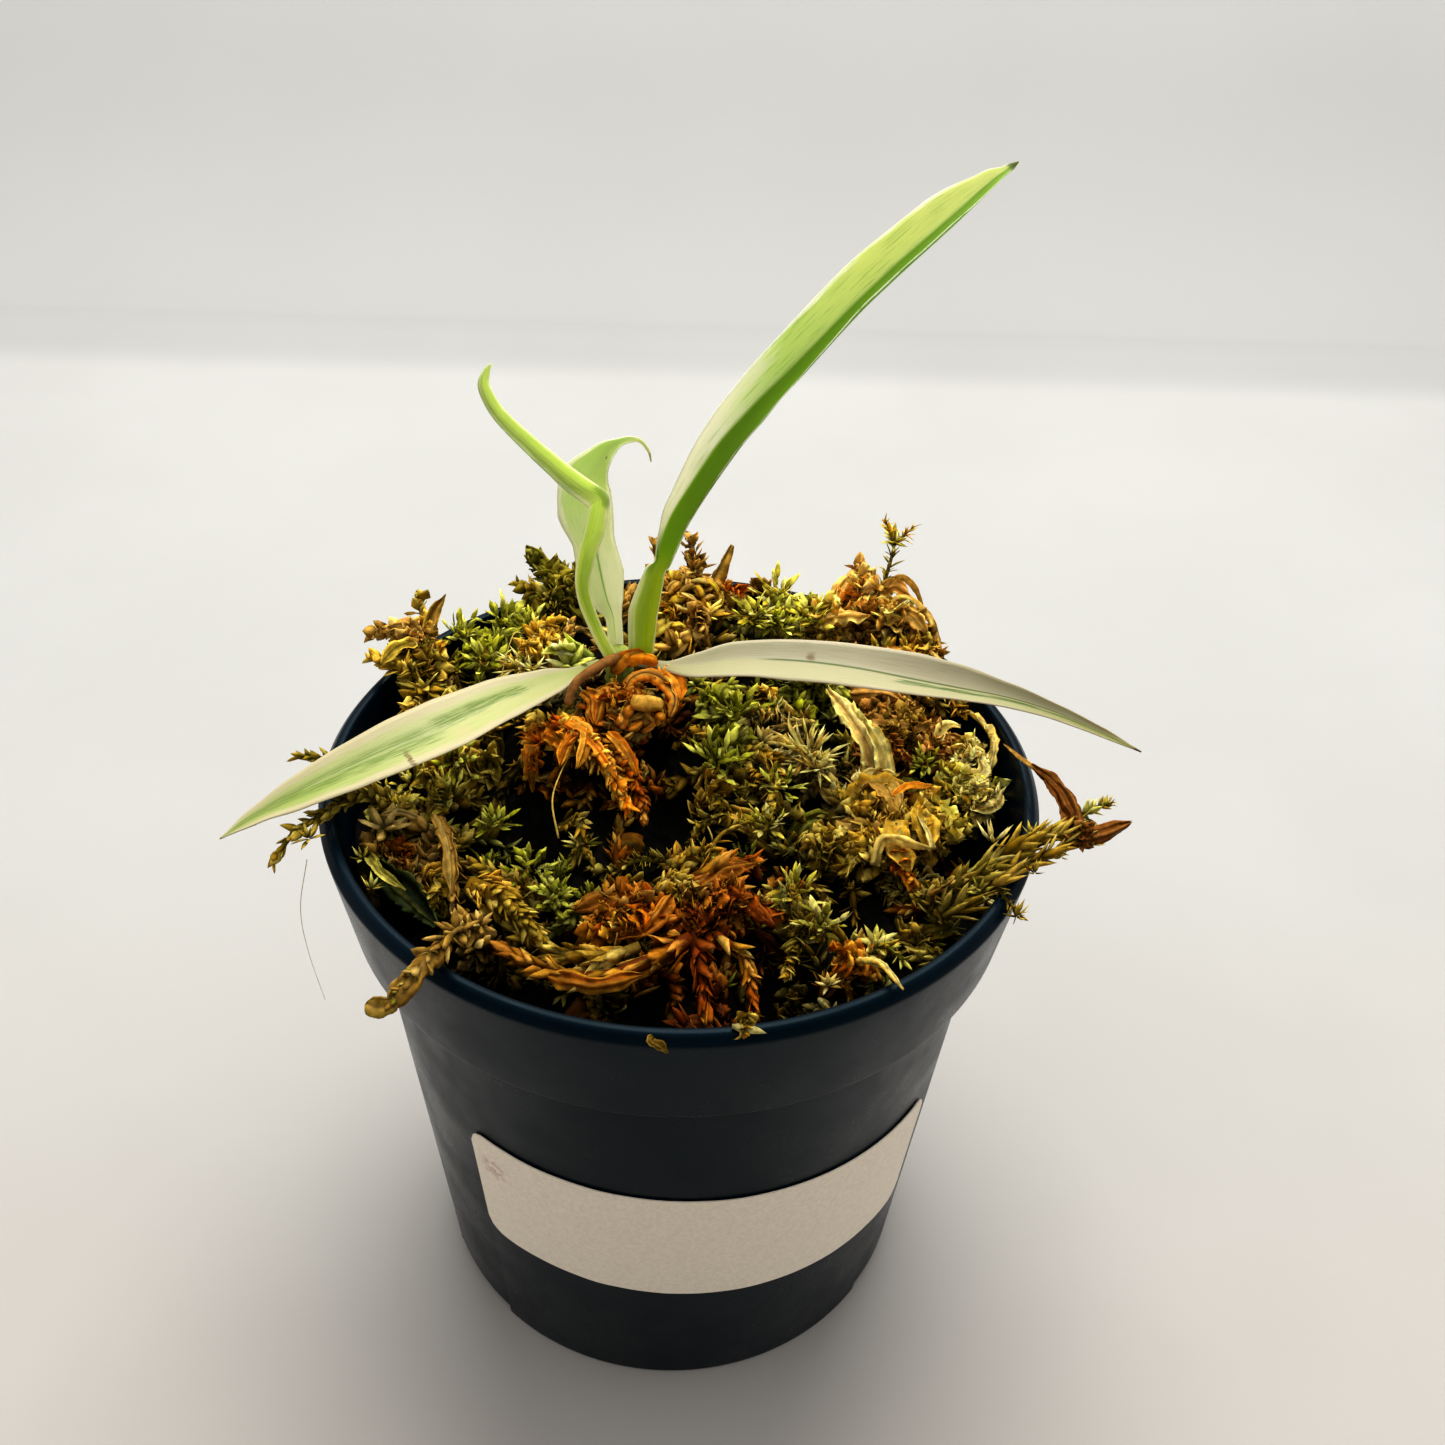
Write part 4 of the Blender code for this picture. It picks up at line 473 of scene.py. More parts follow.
clump("brown_back_right", "brown", root=(29, 34, 90.6),
    strands=(
        ("ruffled", "sienna", 1.6, 3, (ROOT, (28.6, 36, 96), (29.4, 40, 98.2), (28, 43, 99.4))),
        ("ruffled", "tan", 1.3, 2.6, (ROOT, (30.4, 34.6, 96), (35, 35, 96.6), (38.6, 32, 95.8))),
        ("smooth", "tan", 0.7, 0, ((30, 37, 95), (33.4, 40.4, 99.4), (36.4, 40.2, 98.4), (38.4, 38, 94.8)),
            1.2),
        ("smooth", "tan", 0.6, 0, ((30, 36, 95), (34.4, 37, 98.4), (38.4, 33.6, 97), (40.4, 29, 93.4)),
            1.2),
        ("spiky", "olive", 1.1, 2.4, ((29.6, 36, 93), (32, 41, 99.6), (32.8, 41.6, 104.8),
            (32.6, 42, 106.6))),
        ("spiky", "yellow", 0.6, 1.6, ((32.7, 41.8, 105), (31, 42.4, 109.4)), 1.2),
        ("spiky", "yellow", 0.6, 1.6, ((32.7, 41.8, 105), (35.8, 42.2, 108.2)), 1.2),
    ),
    ribbons=(
        ("tan", 3, ((23, 38, 95.4), (26, 41, 98.4), (29.4, 42.4, 99.6)), 1, 0.3, 1.3),
        ("sienna", 3, ((30, 38, 97.2), (33, 39.4, 98.8), (36, 37.4, 97.8)), 1, 0.3, 1.3),
        ("tan", 3.4, ((21, 34, 95), (25, 33.4, 97), (29, 33, 97)), 1.2, 0.3, 1.3),
        ("tan", 3, ((31, 33, 96), (35, 33.6, 97.4), (38, 30.4, 96)), 1.2, 0.3, 1.2),
    ),
    tufts=(
        ("tan", 23.4, 36.4, 94, 3.6, 1.9, 2.8), ("sienna", 28.4, 38.4, 96.4, 3.4, 1.7, 2.4),
        ("tan", 33.4, 35, 95, 3.6, 1.8, 2.8), ("brown", 37.6, 29.6, 92.6, 3, 1.7, 2.4),
    ),
    stars=(
        ("rosette", "sienna", 28, 40.4, 98, 3.8), ("rosette", "yellow_green", 32.8, 41.8, 106, 2.7),
        ("rosette", "brown", 33, 36, 97, 3.6),
    ),
    knots=((28.6, 33.6, 91.4, 2.8),))
clump("slope_right", "brown", root=(35.4, 23, 88),
    strands=(
        ("scaly", "sienna", 1.5, 3, (ROOT, (32, 27, 92), (27.6, 28.6, 92.6))),
        ("smooth", "sienna", 0.6, 0, ((30, 31, 92), (34.6, 27, 94.6), (39.4, 20.6, 93.4),
            (41.6, 15.4, 91.6))),
        ("smooth", "tan", 0.5, 0, ((34, 31, 93), (38.6, 27, 94.4), (41.4, 21, 92.6)), 1.2),
        ("scaly", "olive", 1.4, 3, (ROOT, (35.6, 26, 92.6), (34.4, 28.6, 94.6))),
        ("scaly", "yellow", 1.2, 2.6, (ROOT, (39.2, 20.6, 91.6), (42, 16, 91.4))),
    ),
    stars=(("burst", "olive", 30.6, 27.6, 93.2, 3.8), ("rosette", "brown", 36, 23.4, 92.2, 3.8)),
    knots=((35.4, 23, 88.8, 2.8),))
clump("red_right", "red", root=(33, 12.5, 87),
    strands=(
        ("ruffled", "brown", 1.5, 2.6, (ROOT, (29.6, 17.6, 90.8), (27.4, 20.4, 90.8))),
        ("ruffled", "brown", 1.3, 2, (ROOT, (34.6, 17.4, 90.6), (31.6, 21.4, 91.4))),
        ("ruffled", "sienna", 1.5, 2.6, (ROOT, (38.4, 14, 89.8), (38.6, 9, 89))),
        ("scaly", "bark", 1.3, 2.4, (ROOT, (30.8, 10, 90.4), (32.6, 6.4, 90.4))),
    ),
    ribbons=(
        ("sienna", 4, ((25.6, 20, 91.6), (29.4, 19, 93), (33, 17.6, 92.4)), 0.6, 0.5),
        ("sienna", 3.4, ((27, 14.6, 91), (30.6, 12.4, 92), (34.6, 12.6, 91.4), (38, 13.6, 90.6)), 0.8, 0.3,
            0.8),
        ("brown", 3, ((28, 13.4, 91), (31.6, 16.4, 92), (35, 18.6, 91)), 1.2),
        ("brown", 2.8, ((29.4, 9.6, 91.2), (33.4, 11.6, 92), (37, 12.6, 91)), 1.4),
    ),
    lumps=((("brown", "sienna", "brown", "bark"), (32.6, 12.4, 88), (5.4, 5.4, 3), 54, 0.45, 0.8),),
    tufts=(
        ("brown", 33, 12.5, 89.2, 4.6, 0.95, 2.2), ("sienna", 29.6, 16, 89.6, 3.6, 0.85, 2.2),
        ("sienna", 36.4, 9, 88.8, 3, 0.75, 2),
    ),
    stars=(("burst", "green", 35.4, 5.8, 90, 2.6),),
    knots=((33, 12.5, 88, 3.2),))
clump("pale_curls", "straw", root=(42.4, 4, 86.6),
    strands=(
        ("ruffled", "cream", 1, 1.8, (ROOT, (44.6, 7.6, 89.6), (42.8, 10, 90.6), (41, 7.4, 90.8),
            (43.4, 5.8, 91.2))),
        ("ruffled", "yellow_green", 1.3, 2, (ROOT, (45.4, 1, 89.6), (43, -3, 90), (39, -2, 89.6))),
    ),
    ribbons=(
        ("cream", 1.8, ((44.6, 4, 89.6), (46, 8, 91.2), (45.4, 12.4, 91.8), (42.4, 16.6, 92)), 1.6),
        ("cream", 2.6, ((41.6, 5.4, 90), (40, 3.6, 91), (41.4, 1.8, 91), (43.4, 2.6, 91.2),
            (43.2, 5, 91.4)), 0.8),
        ("yellow_green", 4.2, ((37, 3, 89.6), (40, -1, 90.6), (44, -1.6, 91)), 1.4),
        ("cream", 4, ((41, -2.4, 90), (43.6, -3.4, 91), (45.6, -1.4, 91)), 1.6),
        ("cream", 2.6, ((37.4, 10.6, 90), (39.4, 13, 91.4), (41.4, 12.4, 91.8)), 1.4),
    ),
    tufts=(
        ("cream", 42.2, -1.4, 89, 2.8, 1, 2), ("yellow_green", 40, 1.6, 88.8, 3.2, 1, 2.2),
        ("cream", 42.2, 6.6, 89, 2.4, 0.95, 1.8),
    ),
    stars=(("hand", "cream", 45, -2, 90.4, 2.6),),
    knots=((42.4, 4, 87.2, 2.4),))
clump("ribbon", "tan",
    strands=(("ruffled", "tan", 1.2, 2, ((27, 2, 87), (28.2, -0.4, 91.2), (29.2, -3, 91.6))),),
    ribbons=(
        ("grey", 3.6, ((28.6, 0.6, 88), (27.4, 4.6, 92.8), (24.6, 10.6, 94.8), (21.6, 17, 94.6)), 1.3, 0,
            1.4),
        ("cream", 2.6, ((29.4, 0, 91), (28.4, 4.4, 94), (26.2, 8.6, 95.4)), 1.6, 0, 1.2),
    ),
    knots=((27, 2, 88, 2.2),))
clump("yellow_right", "straw", root=(31.4, -9, 86.6),
    strands=(
        ("ruffled", "yellow", 1.5, 3, (ROOT, (27, -6, 89.8), (22.6, -2.6, 90.4))),
        ("ruffled", "yellow", 1.5, 3, (ROOT, (33.4, -4.6, 89.4), (35.6, -1, 89.4))),
        ("ruffled", "olive", 1.5, 3, (ROOT, (36, -9.6, 89.4), (40, -7, 89))),
        ("scaly", "yellow", 1.4, 3, (ROOT, (26.4, -12, 89.6), (23, -16, 89))),
        ("scaly", "orange", 1.1, 2.8, (ROOT, (30, -14, 89.8), (31, -18.6, 89.2))),
        ("smooth", "straw", 0.7, 0, ((26.2, -17.4, 90.6), (27.2, -14.6, 92.4), (29.2, -14.2, 92.6),
            (31.4, -15, 92.4), (34.2, -15.6, 92.2)), 0.95),
        ("smooth", "straw", 0.36, 0, ((34.2, -15.6, 92.2), (33.6, -12.4, 92.6), (32.6, -8.4, 92.2)), 0.95),
    ),
    ribbons=(
        ("yellow", 4.6, ((24, -4, 90), (28, -3, 92.2), (32, -1.6, 91.6)), 1.3, 0.3, 1.1),
        ("tan", 4.6, ((25.4, 0.6, 90.6), (28.6, -3.4, 92.4), (30.4, -8.4, 91.8)), 1.3, 0.3, 1.1),
        ("yellow", 4.2, ((34, -4.4, 90.4), (33.6, -9, 91.8), (34, -14, 90.2)), 1.4, 0.2, 1.1),
        ("yellow", 4.4, ((29, -8, 91), (29.4, -13, 91.8), (31, -18, 90)), 1.4, 0.2, 1.15),
        ("orange", 1.8, ((29.6, -4.8, 92), (32, -2.8, 92.6), (35.4, -2.4, 92)), 0.6, 0.3),
        ("yellow_green", 3.6, ((36, -1, 89.6), (37.6, -5.6, 90.6), (38, -11, 89.6)), 1.5),
        ("cream", 2.4, ((24.4, -1, 91.4), (27.4, 0.6, 92.4), (31, 0, 92)), 1.6),
        ("tan", 3.2, ((22, -7, 89.6), (25.6, -9.6, 90.4), (27.4, -14, 89.6)), 1.4),
    ),
    tufts=(
        ("yellow", 28, -6, 88.6, 4.2, 0.95, 2.6), ("yellow", 34.6, -8, 88.2, 3.6, 0.85, 2.6),
        ("yellow", 26, -12.4, 88.2, 3.4, 0.85, 2.4), ("olive", 20, -12, 88.4, 3, 0.9, 2.2),
    ),
    stars=(("rosette", "yellow", 30.6, -8, 90.4, 3.6), ("hand", "cream", 25, -1.6, 92, 3, 1)),
    knots=((31.4, -9, 87.4, 3.4),))
clump("green_front_right", "green", root=(16.6, -26, 85.6),
    strands=(
        ("scaly", "olive", 1.1, 2.4, (ROOT, (15.4, -21.6, 89))),
        ("scaly", "olive", 1.1, 2.4, (ROOT, (17.6, -28, 88.4))),
        ("scaly", "olive", 1, 2.2, (ROOT, (15, -31, 87.6), (14, -34.6, 87.8))),
    ),
    stars=(
        ("burst", "yellow_green", 15.2, -21.4, 89.8, 3.8),
        ("burst", "yellow_green", 18.6, -27.6, 89.6, 3.6), ("rosette", "cream", 19, -37, 88.6, 2),
    ),
    knots=((16.4, -25.6, 86.4, 2.6),))
clump("front_right", "tan", root=(23.6, -31, 85.6),
    strands=(
        ("ruffled", "orange", 1.3, 2.6, (ROOT, (21.6, -32.4, 88.6), (19.8, -33.6, 88.6))),
        ("smooth", "straw", 0.6, 0, (ROOT, (23.6, -34.4, 90), (25.2, -38.6, 93.6), (27.2, -43.4, 94.5)),
            1.4),
        ("spiky", "yellow_green", 0.8, 2.2, (ROOT, (26.6, -30.4, 88.4), (28.6, -34, 89.6))),
    ),
    stars=(("rosette", "yellow_green", 25.4, -29.6, 88.4, 3.4),),
    knots=((23.6, -31, 86.2, 2.2),))
clump("sprig_right", "olive",
    strands=(
        ("sheath", "olive", 1.9, 4.4, ((34, -23, 86), (38, -22.4, 92.8), (43.4, -20.6, 95.2),
            (49, -17.2, 95.8), (54, -15.4, 96)), 0.85),
        ("sheath", "yellow_green", 1.4, 3.8, ((37, -22.4, 92), (43.4, -19.6, 95.8), (49.4, -16, 96.6),
            (54, -14.6, 96.4)), 0.85),
        ("sheath", "olive", 1.6, 3.8, ((35, -25, 88.6), (40.6, -23.8, 93.2), (46.4, -20.8, 95),
            (51.6, -17.8, 95.6), (54.6, -16.4, 95.8)), 0.9),
        ("sheath", "brown", 1.3, 3.4, ((33, -21, 88), (36.4, -22.4, 92.4), (41, -21.8, 94.6))),
        ("spiky", "yellow_green", 1.1, 2.2, ((53.4, -14, 96.6), (55.4, -12.4, 97), (57.8, -11.6, 97.6))),
        ("spiky", "olive", 0.7, 1.8, ((41.4, -23.6, 93.4), (42.4, -26, 93), (44, -28.4, 92.2))),
        ("smooth", "sienna", 0.4, 0, ((49.2, -4, 97), (47.4, -0.4, 96.4), (46, 3.6, 95.4)), 1.2),
    ),
    ribbons=(
        ("bark", 2.4, ((52.4, -17.2, 95.8), (55.2, -16.6, 96), (57.8, -15.4, 96), (60.6, -13.8, 96.2)), 0.4,
            0.4, 0.85),
        ("bark", 2.6, ((53.2, -16.6, 95.8), (52.8, -11.8, 97.2), (51.2, -7.2, 97.4), (48.8, -3.2, 97)), 0.4,
            0.5, 0.85),
        ("bark", 1.8, ((52, -15, 96), (51.6, -10.6, 97), (50, -6.6, 97.2)), 0.6, 0.3, 0.8),
    ),
    tufts=(("bark", 53.2, -16.2, 95.6, 1.5, 0.85, 2),),
    stars=(
        ("hand", "cream", 41.6, -17.4, 96.4, 3.8, 1), ("hand", "yellow_green", 39.4, -24.4, 93.2, 2.8),
        ("hand", "olive", 43.8, -27.6, 92.4, 2.8, 1.2), ("hand", "olive", 46.6, -22, 94.8, 2.4, 1.2),
        ("hand", "yellow_green", 50.4, -19.4, 95.2, 2.2), ("hand", "olive", 54.8, -17.2, 95.6, 2),
        ("hand", "yellow_green", 57.4, -11.8, 97.6, 2.2), ("hand", "yellow_green", 46.6, -16.8, 96.8, 2.2),
    ),
    knots=((34.4, -21.6, 88, 2),))
clump("sprig_left", "olive", root=(-41, -8.6, 93),
    strands=(
        ("lapped", "olive", 1.7, 2.4, ((-38.4, -6.6, 87), (-42.4, -10.6, 95.4), (-46.8, -15, 95.8),
            (-50.6, -18.4, 95.2), (-53.2, -21.6, 92.6))),
        ("lapped", "yellow", 1.6, 2.4, (ROOT, (-46, -9.4, 95.6), (-51.6, -11, 95.6), (-56, -13.6, 93.8))),
        ("lapped", "olive", 1.3, 2.2, (ROOT, (-46.4, -5, 96), (-52.6, -3.6, 96.2))),
    ),
    stars=(("rosette", "olive", -48.6, -19.4, 95.8, 2.4),),
    knots=((-38.4, -6.6, 88, 2.6),))
clump("sprig_front_left", "tan",
    strands=(
        ("lapped", "tan", 1.3, 2, ((-28.2, -37.4, 94.6), (-30.2, -41.4, 95.4), (-32.2, -44.8, 94.8),
            (-33.6, -46.8, 93.8))),
        ("lapped", "dusk", 1.2, 1.6, ((-30.6, -42, 95.5), (-32.2, -44.8, 94.9), (-33.4, -46.4, 94)), 1.4),
        ("knob", "tan", 1.15, 0, ((-28.2, -37.4, 94.4), (-30.2, -41.4, 95.2), (-32.2, -44.8, 94.6),
            (-33.6, -46.8, 93.6))),
        ("bean", "brown", 1.1, 0, ((-33, -46.4, 93.6), (-35, -47, 93.4), (-36.6, -46.6, 93.8))),
        ("fat", "tan", 1.4, 3.4, ((-25.6, -29.6, 86), (-26.2, -33, 93.2), (-27.8, -36.6, 95.4),
            (-29, -39.4, 95.8)), 1.1),
    ),
    stars=(("fat", "tan", -27.4, -35, 95, 3.2, 1.1), ("fat", "tan", -24.6, -33.6, 94.6, 2.4)),
    knots=((-25.6, -29.6, 86, 2),))
clump("left_mix", "tan", root=(-36.4, -17.6, 85.6),
    strands=(
        ("scaly", "tan", 1.5, 2.8, (ROOT, (-33.6, -14, 90.4), (-36, -11.4, 91.6))),
        ("scaly", "yellow", 1.5, 3, (ROOT, (-32.4, -20.6, 89.2), (-32.6, -25, 88.4))),
        ("ruffled", "tan", 1.1, 2.6, (ROOT, (-40.4, -16.6, 89.6), (-42.4, -14.2, 90.4))),
        ("rolled", "tan", 1.1, 3, ((-32.6, -11.8, 92.2), (-31.4, -15.6, 92.2), (-30, -20, 91),
            (-29.4, -24.4, 89.8))),
    ),
    ribbons=(
        ("grey", 1.2, ((-35.6, -12.2, 92.8), (-38, -12.2, 93.8), (-40.4, -13, 93.8)), 0.3, 0.6),
        ("tan", 2.2, ((-33.4, -11.6, 92.6), (-31.6, -15.4, 93.2), (-30.2, -20, 91.8), (-29.6, -24.6, 90.2)),
            0.4, 0.6),
        ("decayed", 4.6, ((-40.6, -18, 89.4), (-37.6, -22.6, 90.8), (-33.6, -26.4, 90), (-31, -28.4, 88.6)),
            1.8),
        ("yellow_green", 1.4, ((-41.4, -17.4, 90.6), (-39.4, -21.6, 92), (-35.4, -25, 91.6)), 1.6),
    ),
    tufts=(("yellow_green", -39, -8.6, 89.6, 3.2, 0.9, 2.4), ("rust", -38.4, -16, 88, 2.4, 0.8, 2)),
    stars=(
        ("hand", "yellow_green", -42.4, -18.4, 91.4, 2.4), ("hand", "yellow_green", -40, -23.4, 90.8, 2.4),
        ("fat", "grey", -39.6, -14, 93.6, 4.4, 1.1),
    ),
    knots=((-36.4, -17.6, 86.4, 2.6),))
clump("olive_front_left", "olive",
    strands=(
        ("cone", "yellow", 2.5, 2.2, ((-27, -22.4, 89.6), (-24, -25, 91), (-20.6, -28.2, 90.8),
            (-17.6, -31, 89.6)), 1.15),
        ("lapped", "yellow", 1.3, 2, ((-21.4, -21.4, 88.6), (-24.6, -19.6, 89.8), (-28.4, -17.4, 89.8))),
    ),
    stars=(("burst", "green", -20, -18.4, 90.2, 3.6), ("burst", "green", -16.4, -23.4, 90, 3)),
    knots=((-21.4, -21.4, 87, 3),))
clump("olive_left", "olive", root=(-31.6, 2.6, 88.6),
    strands=(
        ("scaly", "olive", 1.4, 3, (ROOT, (-35, -2, 92), (-33.6, -6, 92.4))),
        ("scaly", "olive", 1.4, 3, (ROOT, (-36.4, 5.4, 92), (-40, 4.4, 91.4))),
        ("ruffled", "olive", 1.3, 3, (ROOT, (-27.4, 0, 92.8), (-27, -3.6, 92.8))),
        ("scaly", "olive", 1.3, 3, (ROOT, (-31, 9, 92.8), (-33, 13, 93))),
    ),
    stars=(
        ("burst", "green", -32.4, 1, 92.6, 4.2), ("burst", "olive", -31.6, 11, 93.4, 4),
        ("burst", "yellow_green", -32.4, -5.8, 91.8, 3.8), ("burst", "green", -25.4, -10.4, 90.8, 3),
        ("burst", "yellow_green", -37.6, -2.8, 91.8, 3.4),
    ),
    knots=((-31.6, 2.6, 89.4, 3.4),))

